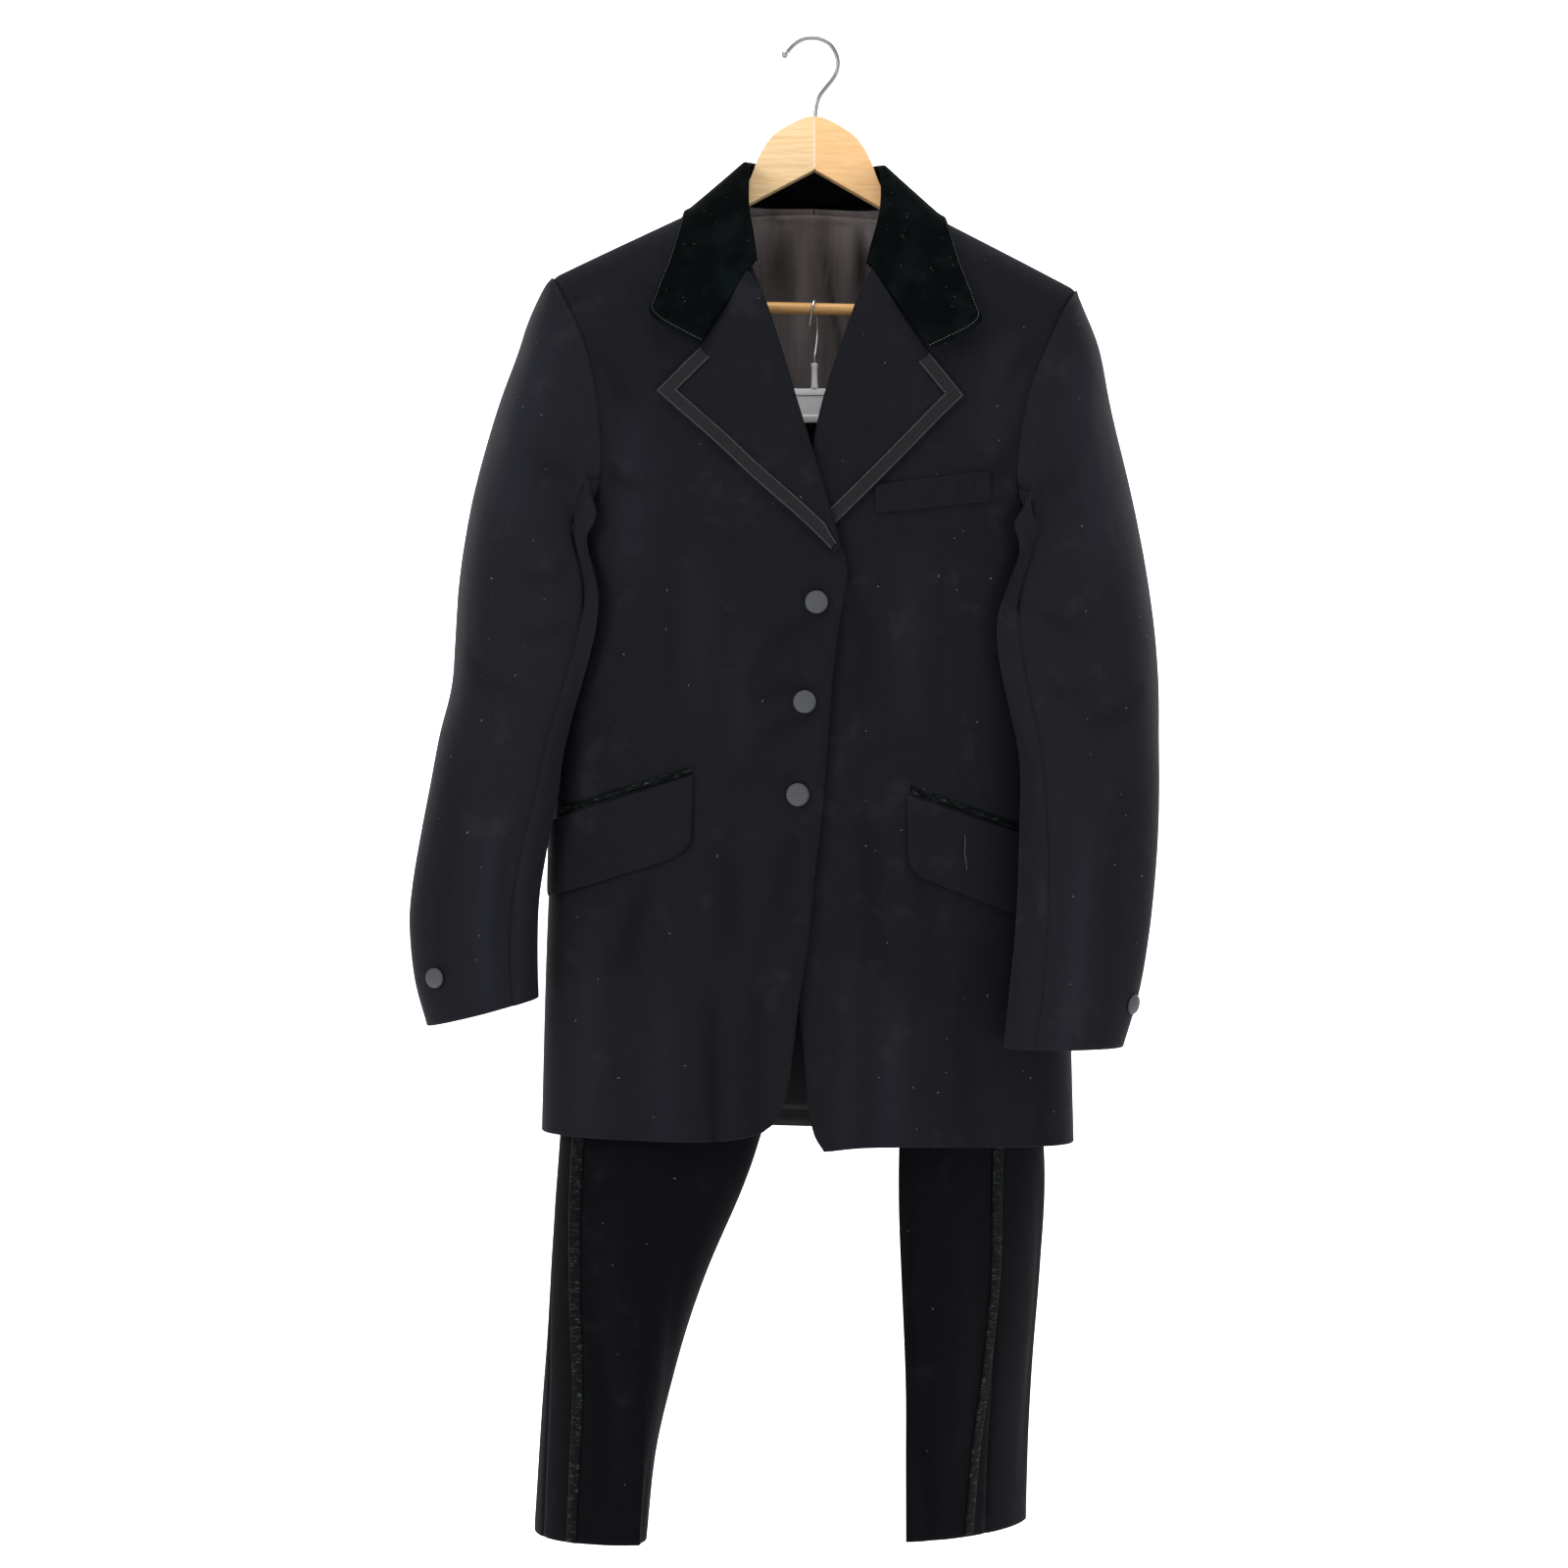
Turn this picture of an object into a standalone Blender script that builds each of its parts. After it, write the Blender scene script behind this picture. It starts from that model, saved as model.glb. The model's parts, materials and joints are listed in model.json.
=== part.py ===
# A tuxedo on a wooden hanger: an open jacket over trousers that hang from a clip hanger.
# Metres, +Z up. +X is the wearer's left, the front faces -Y.
# The origin is the inner top of the hanger's hook. Tables are in millimetres and degrees.

import math

import bpy
import numpy as np
from mathutils import Vector

MM = 0.001
RIGHT, LEFT = -1, 1

# Driving sizes
CLOTH, LINING_CLOTH = 2.0 * MM, 1.2 * MM
SEAM = 0.3 * MM
LEAST_WALL, THINNING_ROUNDS = 0.6, 12
TILT = 0.0237
SHOULDER_X, SHOULDER_Z, SHOULDER_SLOPE = 110.5 * MM, -158.0 * MM, 0.485
SHOULDER_POINT_Z = -216.7 * MM
NECK_HALF, NECK_BACK_Y = 76.0 * MM, 55.0 * MM
RIDGE_ROUNDING = 75.0 * MM
ARMPIT_Z = -456.0 * MM
SECTION_POWER = 2.6
OVERLAP_LIFT, OVERLAP_FROM, OVERLAP_TO = 6.6 * MM, -70.0 * MM, -21.0 * MM
SLEEVE_CLEARANCE, SLEEVE_EASING = 4.5 * MM, 40.0
HEAD_EASING, HEAD_ROOM = 100.0 * MM, 1.5 * MM
WAIST_TOP, WAIST_BOTTOM = -340.5 * MM, -375.0 * MM
WAIST_HALF_X, WAIST_HALF_Y = 211.0 * MM, 9.0 * MM


class Table:
    """Named columns, read as smooth lines through the rows. The first column is the key."""

    def __init__(self, names, rows, plain=()):
        self.names = names.split()
        rows = sorted(rows)
        self.columns = {}
        for i, name in enumerate(self.names):
            scale = 1.0 if name in plain else MM
            self.columns[name] = [row[i] * scale for row in rows]
        self.keys = self.columns[self.names[0]]

    def slope(self, values, i):
        keys = self.keys
        before, after = max(i - 1, 0), min(i + 1, len(keys) - 1)
        return (values[after] - values[before]) / (keys[after] - keys[before])

    def at(self, name, where):
        keys, values = self.keys, self.columns[name]
        where = min(max(where, keys[0]), keys[-1])
        i = 0
        while i < len(keys) - 2 and where > keys[i + 1]:
            i += 1
        span = keys[i + 1] - keys[i]
        t = (where - keys[i]) / span
        rise = values[i + 1] - values[i]
        first, last = self.slope(values, i) * span, self.slope(values, i + 1) * span
        return (values[i] + t * (first + t * (3 * rise - 2 * first - last
                + t * (first + last - 2 * rise))))


# The jacket's horizontal sections: superellipses
TORSO = Table("height half_width front back centre", [
    (-100, 262, 76, 52, 0),
    (-210, 256, 80, 59, 0),
    (-330, 243, 85, 65, 0),
    (-450, 227, 85, 68, -4),
    (-600, 223, 83, 68, -5),
    (-800, 231, 85, 70, -6),
    (-985, 236, 87, 73, -6),
])

# Where the armhole seam lies, outwards from the middle, front and back
ARMHOLE = Table("height right_front left_front back", [
    (-216.7, 231.5, 231.5, 231.5),
    (-240, 219, 217, 221),
    (-280, 201, 199, 208),
    (-315, 192, 186, 201),
    (-362, 186, 177, 196),
    (-405, 188, 177, 198),
    (-440, 205, 197, 209),
    (-456, 232, 232, 232),
])

# Fronts: the free edge (neckline, roll line, front edge) and the height where each row ends
RIGHT_FRONT = Table("row edge_x edge_z side_z bend wrap", [
    (0, -75, -140.8, -216.7, 1, 0),
    (1, -64, -178, -240, 1, 0),
    (2, -56, -213, -280, 1, 0),
    (3, -39.6, -258, -315, 1, 0),
    (4, -21, -320.5, -362, 1.1, 0),
    (5, 1.6, -389, -405, 1.4, 0.1),
    (6, 12.5, -425.5, -440, 2, 0.5),
    (7, 20, -452, -456, 3, 1),
    (8, 26.6, -476, -478, 3, 1),
    (9, 21, -515, -515, 3, 1),
    (10, 14.2, -567, -567, 3, 1),
    (11, 10.3, -620, -620, 3, 1),
    (12, 5.3, -680, -680, 3, 1),
    (13, -1.4, -740, -740, 3, 1),
    (14, -6.8, -795, -797, 3, 1),
    (15, -14.6, -845, -850, 3, 1),
    (16, -20, -890, -896, 3, 1),
    (17, -25.5, -925, -935, 5, 1),
    (18, -33, -948, -962, 8, 1),
    (19, -46, -960.6, -971, 8, 1),
], plain=("row", "bend", "wrap"))

LEFT_FRONT = Table("row edge_x edge_z side_z bend wrap", [
    (0, 75, -140.8, -216.7, 1, 0),
    (1, 62, -180, -240, 1, 0),
    (2, 47.5, -219, -275, 1, 0),
    (3, 34.5, -247, -308, 1, 0),
    (4, 11, -320.5, -360, 1.1, 0),
    (5, -1.7, -374, -405, 1.4, 0.1),
    (6, -9, -420, -440, 2, 0.5),
    (7, -14, -450, -456, 3, 1),
    (8, -18, -478, -478, 3, 1),
    (9, -21, -515, -515, 3, 1),
    (10, -22, -567, -567, 3, 1),
    (11, -22, -620, -620, 3, 1),
    (12, -21, -680, -680, 3, 1),
    (13, -19.5, -740, -740, 3, 1),
    (14, -17.5, -795, -797, 3, 1),
    (15, -14.4, -845, -850, 3, 1),
    (16, -9.5, -890, -896, 3, 1),
    (17, -6, -930, -935, 5, 1),
    (18, -1, -960, -960, 8, 1),
    (19, 8, -976, -970, 8, 1),
], plain=("row", "bend", "wrap"))

# Rows of the grids, closer together over the shoulder and at the armpit
FRONT_ROWS = [0, 0.05, 0.2, 0.45, 0.8, 1.2, 1.6, 2, 2.5, 3, 3.6, 4.2, 4.8, 5.4, 5.9, 6.4, 7, 8, 9.2, 10.5,
              12, 13.5, 15, 16.2, 17, 17.7, 18.3, 19]
BACK_ROWS = [0, 0.05, 0.2, 0.45, 0.8, 1.2, 1.6, 2.2, 3, 4, 5, 5.9, 6.4, 7, 8.5, 10.5, 13, 16, 19]
LINING_ROWS = [0.2, 0.45, 0.8, 1.2, 1.6, 2.2, 3, 4, 5, 5.9, 6.4, 7, 8.5, 10.5, 13, 16, 18.4]
LINING_SHARE = 8 / 9
BACK = Table("row edge_x edge_z side_z bend wrap", [
    (0, 0, -139.5, -216.7, 1, 0),
    (1, 0, -165, -240, 1, 0),
    (2, 0, -200, -280, 1, 0),
    (3, 0, -245, -315, 1, 0),
    (4, 0, -305, -362, 1, 0),
    (5, 0, -365, -405, 1, 0.1),
    (6, 0, -415, -440, 1, 0.5),
    (7, 0, -450, -456, 1, 1),
    (8, 0, -480, -480, 1, 1),
    (10, 0, -567, -567, 1, 1),
    (13, 0, -740, -740, 1, 1),
    (16, 0, -890, -890, 1, 1),
    (19, 0, -972, -971, 1, 1),
], plain=("row", "bend", "wrap"))

# Largest soft folds of the fronts and back: middle, lean, heights, width and depth
FRONT_FOLDS = [
    {"x": -92, "lean": 0.02, "top": -880, "low": -1000, "width": 9, "depth": -3.0},
    {"x": -118, "lean": 0.45, "top": -740, "low": -860, "width": 16, "depth": -2.6},
    {"x": -52, "lean": -0.15, "top": -760, "low": -940, "width": 18, "depth": 2.2},
    {"x": 70, "lean": 0.12, "top": -730, "low": -930, "width": 20, "depth": 2.4},
    {"x": 118, "lean": 0.05, "top": -800, "low": -1000, "width": 14, "depth": -2.6},
    {"x": -128, "lean": 0.0, "top": -470, "low": -660, "width": 9, "depth": -1.6},
    {"x": 105, "lean": 0.0, "top": -480, "low": -650, "width": 9, "depth": -1.6},
    {"x": -160, "lean": 0.5, "top": -300, "low": -420, "width": 16, "depth": -2.0},
    {"x": 150, "lean": -0.5, "top": -290, "low": -400, "width": 16, "depth": -2.0},
]
BACK_FOLDS = [
    {"x": -92, "lean": 0.05, "top": -420, "low": -900, "width": 26, "depth": -4.0},
    {"x": 88, "lean": -0.06, "top": -440, "low": -920, "width": 24, "depth": -3.6},
    {"x": 0, "lean": 0.0, "top": -560, "low": -1000, "width": 30, "depth": 3.0},
    {"x": -150, "lean": 0.1, "top": -620, "low": -1000, "width": 22, "depth": 3.0},
    {"x": 145, "lean": -0.1, "top": -600, "low": -1000, "width": 22, "depth": 2.6},
]

# Sleeves: the outer and inner outline, outwards from the middle, with each ring's depth
RIGHT_SLEEVE = Table("station outer outer_z inner inner_z depth middle turn fitted", [
    (0, 231.5, -216.7, 228, -456, 60, 0, 0, 0),
    (1, 241, -230, 228, -459, 62, 0, 3, 0.3),
    (2, 259, -278, 227, -463, 64, -2, 6, 0.6),
    (3, 276, -321, 225, -469, 65, -4, 10, 0.82),
    (4, 289, -365, 220, -478, 65, -8, 14, 0.95),
    (5, 299, -408, 212, -490, 64, -12, 18, 1),
    (6, 306, -452, 205, -507, 63, -16, 20, 1),
    (7, 311, -495, 203, -529, 62, -19, 20, 1),
    (8, 314, -540, 206, -557, 60, -22, 18, 1),
    (9, 318, -582, 211, -591, 57, -25, 16, 1),
    (10, 329, -625, 217, -632, 54, -28, 14, 1),
    (11, 337, -668, 222, -673, 51, -32, 12, 1),
    (12, 345, -712, 231, -713, 47, -36, 10, 1),
    (13, 352, -757, 239, -757, 43, -40, 8, 1),
    (14, 354, -792, 241, -787, 40, -44, 6, 1),
    (15, 349, -838, 241, -822, 38, -48, 4, 1),
    (16, 338, -878, 240, -851, 37, -50, 4, 1),
], plain=("station", "turn", "fitted"))

LEFT_SLEEVE = Table("station outer outer_z inner inner_z depth middle turn fitted", [
    (0, 231.5, -216.7, 226, -456, 60, 0, 0, 0),
    (1, 240, -246, 226, -459, 62, 0, 4, 0.3),
    (2, 254, -292, 223, -465, 65, -4, 9, 0.6),
    (3, 265, -338, 218, -473, 66, -8, 15, 0.82),
    (4, 275, -386, 208, -484, 66, -14, 20, 0.95),
    (5, 283, -433, 197, -498, 65, -20, 24, 1),
    (6, 289, -480, 188, -518, 64, -28, 26, 1),
    (7, 294, -525, 183, -546, 62, -36, 25, 1),
    (8, 297, -570, 180, -580, 60, -44, 22, 1),
    (9, 298, -612, 179, -618, 56, -52, 18, 1),
    (10, 298, -655, 178, -658, 52, -62, 14, 1),
    (11, 296, -698, 176, -700, 48, -72, 10, 1),
    (12, 292, -740, 174, -743, 44, -80, 6, 1),
    (13, 286, -785, 171, -788, 41, -87, 3, 1),
    (14, 277, -832, 166, -834, 38, -92, 0, 1),
    (15, 263, -878, 161, -881, 36, -96, 0, 1),
], plain=("station", "turn", "fitted"))

SLEEVE_ROWS = [0, 0.4, 1, 1.8, 2.6, 3.4, 4.3, 5.3, 6.4, 7.6, 8.8, 10.2, 11.6, 13, 14.5, 16]

# Dents in the sleeves: angle round the ring from the outer edge over the front
SLEEVE_FOLDS = {
    RIGHT: [
        {"angle": 118, "start": 11, "stop": 17, "spread": 16, "depth": 11},
        {"angle": 60, "start": 4, "stop": 10, "spread": 16, "depth": 3},
        {"angle": 150, "start": 6, "stop": 10, "spread": 14, "depth": 4},
        {"angle": 285, "start": 5, "stop": 14, "spread": 20, "depth": 5},
    ],
    LEFT: [
        {"angle": 110, "start": 9, "stop": 16, "spread": 18, "depth": 5},
        {"angle": 55, "start": 3, "stop": 9, "spread": 16, "depth": 3},
        {"angle": 285, "start": 5, "stop": 13, "spread": 20, "depth": 5},
    ],
}

# The collar's half: where it is sewn on, its roll, its outer edge, and the roll's bearing
COLLAR = Table(
    "station sewn_x sewn_y sewn_z roll_x roll_y roll_z edge_x edge_y edge_z bearing rise", [
        (0, 53.0, -74.0, -213.5, 52.0, -76.0, -211, 100, -90, -283.5, -84, 0.1),
        (1, 56.0, -71.0, -197, 54.0, -71.5, -190, 140, -90, -262, -78, 0.2),
        (2, 59.5, -64.5, -178, 57.0, -61.0, -164, 138, -85, -243, -62, 0.4),
        (3, 65.0, -46.0, -156, 57.5, -41.0, -137, 126, -74, -210, -42, 0.7),
        (4, 70.5, -21.0, -142, 57.0, -18.0, -118, 117, -50, -174, -18, 1),
        (5, 72.0, 2.0, -138.0, 55.5, 1.0, -112.5, 113, 0, -154.5, 2, 1),
        (6, 65.0, 21.0, -136.5, 46.0, 18.0, -110, 101, 32, -160, 38, 1),
        (7, 49.0, 37.0, -136.0, 34.0, 28.5, -109, 76, 47, -166, 60, 1),
        (8, 26.0, 46.5, -136.0, 18.0, 36.0, -108, 40, 60, -168, 77, 1),
        (9, 0, 50.0, -136.0, 0, 39.0, -107.5, 0, 62.5, -169, 90, 1),
    ], plain=("station", "bearing", "rise"))
COLLAR_STATIONS = [0, 0.5, 1, 1.7, 2.4, 3.1, 3.7, 4.3, 4.7, 5, 5.5, 6.2, 7, 8, 9]
COLLAR_SHARES = (0.1, 0.28, 0.46, 0.64, 0.82, 1.0)
LEFT_GORGE_SHIFT = 6.5 * MM
COLLAR_CLOTH = 2.2 * MM
ROLL_WIDTH, ROLL_RISE = 9.0 * MM, 3.0 * MM

# Lapels: the roll line and the outer edge
RIGHT_LAPEL = Table("row roll_x roll_z edge_x edge_z", [
    (0, -58.5, -221.5, -136.3, -325),
    (1, -46.5, -243, -119, -340),
    (2, -32.5, -284, -89, -366),
    (3, -21, -321, -62, -390.5),
    (4, -8, -362, -35, -414.5),
    (5, 3, -397, -12, -435),
    (6, 15.5, -440, 7, -452.5),
    (7, 19.5, -457, 17, -462.4),
], plain=("row",))
LEFT_LAPEL = Table("row roll_x roll_z edge_x edge_z", [
    (0, 49.5, -218.5, 127, -323),
    (1, 38.5, -243, 109, -341),
    (2, 26, -277, 84, -367.5),
    (3, 11, -321, 57, -395.5),
    (4, 1.5, -358, 30, -423),
    (5, -4.5, -394, 12, -441),
    (6, -9, -428, -1, -452),
    (7, -12, -448, -8, -461),
], plain=("row",))
GORGE = {
    RIGHT: {"notch": (-99.5, -288), "point": (-136.3, -325), "share": 0.62},
    LEFT: {"notch": (98, -288.5), "point": (127, -323), "share": 0.64},
}
LAPEL_LIFT, LAPEL_ROLL = 2.5 * MM, 3.4 * MM
BRAID_WIDTH, BRAID_CLOTH = 12.0 * MM, 1.0 * MM

# Flaps, piping and welt: corners (inner top, outer top, outer bottom, inner bottom)
FLAP_LIFT = 0.8 * MM
FLAPS = {
    RIGHT: [(-105.5, -655.5), (-231.5, -699), (-232.0, -764.5), (-107.5, -722.5)],
    LEFT: [(79.0, -668.5), (190.0, -703.5), (191.0, -775.7), (80.5, -735)],
}
PIPING = {
    RIGHT: [(-106.0, -647.6), (-222.5, -686), (-222.5, -691.6), (-106.0, -653.4)],
    LEFT: [(82.0, -659.8), (186.0, -693.8), (186.0, -699.8), (82.0, -665.8)],
}
WELT = [(51.4, -402), (150.5, -386.5), (151.5, -412.5), (51.4, -426.5)]

# Trouser legs: the section's middle, crease depth, turn, and widths to each side
RIGHT_LEG = Table("height across along crease turn outer inner fold stripe", [
    (-375.4, -105.3, 0, 8.4, 0, 104.6, 105, 1.0, 160),
    (-450, -107.3, 0, 20, 0, 102, 107, 1.0, 158),
    (-560, -108.3, 0, 34, 0, 99, 108, 1.0, 155),
    (-612, -108.5, 0, 40, 0, 98, 107.5, 1.0, 152),
    (-700, -113, -2, 46, 2, 98, 106, 1.0, 148),
    (-850, -126, -4, 52, 1, 92, 107, 1.1, 145),
    (-987, -140, -5, 58, -4, 87, 88, 1.25, 143),
    (-1095, -161, -4, 66, 12, 73, 65, 1.35, 146),
    (-1182, -178, -2, 76, 25, 61, 51, 1.45, 149),
    (-1247, -186, 0, 83, 27, 56, 38, 1.55, 151),
    (-1320, -193, 0, 87, 28, 52, 34, 1.6, 152),
], plain=("turn", "fold", "stripe"))
LEFT_LEG = Table("height across along crease turn outer inner fold stripe", [
    (-375.4, 105.3, 0, 8.4, 0, 104.6, 105, 1.0, 184),
    (-450, 107.3, 0, 20, 0, 101, 107, 1.0, 184),
    (-560, 108.3, 0, 34, 0, 93, 108, 1.0, 184),
    (-612, 108.5, 0, 38, 0, 91, 107.5, 1.0, 184),
    (-700, 112, -1, 44, 10, 88, 98, 1.0, 184),
    (-850, 128, -5, 56, 38, 66, 68, 1.1, 184),
    (-940, 136, -8, 70, 56, 42, 40, 1.2, 184),
    (-987, 139.5, -8, 76, 60, 34, 30, 1.3, 183),
    (-1095, 140, 0, 85, 49, 30, 28, 1.4, 179),
    (-1182, 138.5, 0, 86, 44, 26, 24, 1.5, 173),
    (-1247, 137, 0, 87, 42, 22, 20, 1.55, 168),
    (-1320, 136, 0, 87, 41, 20, 18, 1.6, 164),
], plain=("turn", "fold", "stripe"))
LEG_CLOTH = 1.6 * MM
LEG_ROWS, LEG_COLUMNS = 15, 9
CROTCH_Z, HEM_DROP, TROUSER_HEM = -612 * MM, 12 * MM, -1316 * MM
STRIPE_WIDTH, STRIPE_CLOTH, STRIPE_LIFT = 10.5 * MM, 0.9 * MM, 0.8 * MM

# Wooden hanger: the outline of one arm from the joint at the middle
ARM_OUTLINE = [
    (0.2, -69), (8, -70), (21, -76), (35.5, -85.5), (44.5, -97), (50.8, -109.5), (55.5, -122),
    (62.5, -136.5), (75, -146.0), (112, -161.8), (215, -211.8), (221.5, -218), (223, -240),
    (218, -247.5), (204, -248.5), (197.3, -245), (197.3, -232), (188, -221), (60, -149),
    (0.2, -116),
]
ARM_THICK, ARM_BEVEL = 13 * MM, 3.0 * MM
BAR_RADIUS, BAR_HALF, BAR_Z = 5.2 * MM, 197.0 * MM, -238.5 * MM
HOOK_WIRE = 4.0 * MM
HOOK_ROUTE = [
    (-24.0, -10.6), (-18.5, -4.6), (-11.5, 0.3), (-4.2, 2.0), (4.3, 1.3), (12.6, -2.8), (18.0, -9.8),
    (20.7, -18.2), (20.0, -26.9), (16.4, -34.5), (10.4, -42.0), (4.6, -49.8), (1.8, -58.3), (0.6, -68.5),
]
HOOK_TIP_RADIUS = 3.0 * MM

# Clip hanger inside the jacket
PLATE = {"half": 150 * MM, "top": -309.5 * MM, "low": -339.5 * MM, "thick": 5.0 * MM}
STEM_TOP, STEM_RADIUS, CLIP_WIRE = -287 * MM, 3.2 * MM, 2.6 * MM
CLIP_HOOK_ROUTE = [
    (-4.2, -8.2, -255), (-3.2, -8.4, -247), (-1.8, -8.0, -238.5), (-0.8, -6.0, -233.8),
    (0.0, -3.2, -232.0), (0.4, 0.0, -231.75), (0.8, 3.2, -232.0), (1.2, 6.0, -233.5), (1.8, 8.0, -238.5),
    (2.4, 8.4, -247), (2.6, 7.6, -256), (2.2, 5.2, -265), (1.2, 2.4, -274), (0.2, 0.3, -281),
    (0.0, 0.0, -286.6),
]
CLIP_X, CLIP_WIDTH, CLIP_SHEET, CLIP_LOW = 95 * MM, 26 * MM, 1.6 * MM, -366 * MM

BUTTON_RADIUS, BUTTON_HEIGHT = 10.0 * MM, 5.5 * MM
CUFF_BUTTON_RADIUS, CUFF_BUTTON_HEIGHT = 8.8 * MM, 5.0 * MM
FRONT_BUTTONS = [(0.7, -504.3, 0.5), (-9.4, -590.1, -0.3), (-15.3, -669.9, -0.6)]
CUFF_BUTTONS = {RIGHT: (15.0, 50.0), LEFT: (14.2, 24.0)}

COLOURS = {
    "wool": (0.012, 0.013, 0.017, 1, 0.85, 0.0),
    "velvet": (0.004, 0.006, 0.006, 1, 0.95, 0.0),
    "lining": (0.045, 0.034, 0.031, 1, 0.45, 0.0),
    "satin": (0.03, 0.032, 0.032, 1, 0.35, 0.0),
    "braid": (0.02, 0.021, 0.024, 1, 0.7, 0.0),
    "faille": (0.07, 0.075, 0.08, 1, 0.6, 0.0),
    "wood": (0.62, 0.36, 0.14, 1, 0.4, 0.0),
    "steel": (0.6, 0.6, 0.6, 1, 0.25, 1.0),
    "plastic": (0.85, 0.85, 0.86, 1, 0.4, 0.0),
}


def clear_scene():
    for item in list(bpy.data.objects):
        bpy.data.objects.remove(item, do_unlink=True)


def smoothstep(t):
    t = min(max(t, 0.0), 1.0)
    return t * t * (3 - 2 * t)


def hung(x, y, z):
    """The garment hangs a little lower on the wearer's left."""
    return np.array((x, y, z - TILT * x))


# Jacket surface

def top_height(x):
    """The shoulder seam and, near the middle, the neckline of the back."""
    reach = abs(x)
    if reach >= NECK_HALF:
        return SHOULDER_Z - SHOULDER_SLOPE * (reach - SHOULDER_X)
    seam = SHOULDER_Z - SHOULDER_SLOPE * (NECK_HALF - SHOULDER_X)
    return seam + 1.8 * MM * (1 - (reach / NECK_HALF) ** 2)


def ridge_y(x):
    return NECK_BACK_Y * math.sqrt(max(0.0, 1 - (x / NECK_HALF) ** 2))


def fold_depth(folds, x, z):
    total = 0.0
    for fold in folds:
        top, low = fold["top"] * MM, fold["low"] * MM
        middle = fold["x"] * MM + fold["lean"] * (z - top)
        along = (top - z) / (top - low)
        if 0 < along < 1:
            swell = math.sin(math.pi * along) ** 0.7
            across = (x - middle) / (fold["width"] * MM)
            total += fold["depth"] * MM * swell * math.exp(-across * across)
    return total


def jacket_skin(side, back, x, z):
    """The outer surface of the jacket at a place on its front or back."""
    centre = TORSO.at("centre", z)
    reach = min(abs(x - centre) / TORSO.at("half_width", z), 1.0)
    depth = TORSO.at("back" if back else "front", z)
    full = depth * (1 - reach ** SECTION_POWER) ** (1 / SECTION_POWER)
    top = top_height(x) if back else SHOULDER_Z - SHOULDER_SLOPE * (abs(x) - SHOULDER_X)
    drop = min(max((top - z) / RIDGE_ROUNDING, 0.0), 1.0)
    rounding = math.sqrt(1 - (1 - drop) ** 2)
    edge = min(full / (25 * MM), 1.0)
    if back:
        ridge = ridge_y(x)
        y = ridge + (max(full, ridge) - ridge) * rounding
        return np.array((x, y + SEAM / 2 + edge * fold_depth(BACK_FOLDS, x, z), z))
    y = -full * rounding - SEAM / 2 - edge * fold_depth(FRONT_FOLDS, x, z)
    if side == RIGHT:
        y -= OVERLAP_LIFT * smoothstep((x - OVERLAP_FROM) / (OVERLAP_TO - OVERLAP_FROM))
    return np.array((x, y, z))


def outward(along, down, guide):
    """The unit normal of two tangents, on the guide's side."""
    normal = np.cross(along, down)
    length = np.linalg.norm(normal)
    normal = normal / length if length > 0 else guide
    return normal if normal @ guide > 0 else -normal


def on_jacket(side, x, z, lift, back=False):
    """A point on the front or back, moved out from its cloth."""
    step = 0.2 * MM
    centre = TORSO.at("centre", z)
    inwards = -step if x > centre else step
    point = jacket_skin(side, back, x, z)
    guide = np.array((0.3 * (x - centre), 0.05 if back else -0.05, 0.002))
    normal = outward(jacket_skin(side, back, x + inwards, z) - point,
                     jacket_skin(side, back, x, z - step) - point, guide)
    return hung(*(point + normal * lift))


def armhole_x(side, back, z):
    name = "back" if back else ("right_front" if side == RIGHT else "left_front")
    limit = TORSO.at("half_width", z) + side * TORSO.at("centre", z)
    return side * min(ARMHOLE.at(name, z), limit)


def panel_place(side, back, table, u, v):
    """Where a panel's row and column meet: x and z."""
    row = v * table.keys[-1]
    edge_x, edge_z = table.at("edge_x", row), table.at("edge_z", row)
    side_z, wrap = table.at("side_z", row), table.at("wrap", row)
    if side_z > ARMPIT_Z:
        side_x = armhole_x(side, back, side_z)
    else:
        side_x = TORSO.at("centre", side_z) + side * TORSO.at("half_width", side_z)
    wrap = min(max(wrap, 0.0), 1.0)
    share = min((1 - wrap) * u + wrap * math.sin(math.pi / 2 * u) ** 0.85, 1.0)
    x = edge_x + (side_x - edge_x) * share
    z = side_z + (edge_z - side_z) * (1 - share) ** table.at("bend", row)
    if back:
        straight = edge_z + (side_z - edge_z) * share
        first = table.at("edge_z", 0) * (1 - share) + SHOULDER_POINT_Z * share
        z = straight + (top_height(x) - first) * max(0.0, 1 - row / 4.0)
        x += side * SEAM / 2 * (1 - share)
    return x, z


# Mesh helpers

def row_places(rows):
    return [row / rows[-1] for row in rows]


def even_places(count):
    return [i / count for i in range(count + 1)]


def finish(name, collection, points, faces, colour, smooth=True):
    mesh = bpy.data.meshes.new(name)
    mesh.from_pydata([tuple(p) for p in points], [], faces)
    mesh.update()
    volume = sum(f.center.dot(f.normal) * f.area for f in mesh.polygons)
    if volume < 0:
        mesh.flip_normals()
    item = bpy.data.objects.new(name, mesh)
    collection.objects.link(item)
    mesh.materials.append(material(name, colour))
    if smooth:
        mesh.shade_smooth()
        mesh.set_sharp_from_angle(angle=math.radians(45))
    return item


def material(name, colour):
    red, green, blue, alpha, rough, metal = COLOURS[colour]
    made = bpy.data.materials.new(name)
    made.use_nodes = True
    shader = made.node_tree.nodes["Principled BSDF"]
    shader.inputs["Base Color"].default_value = (red, green, blue, alpha)
    shader.inputs["Roughness"].default_value = rough
    shader.inputs["Metallic"].default_value = metal
    made.diffuse_color = (red, green, blue, alpha)
    return made


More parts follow.
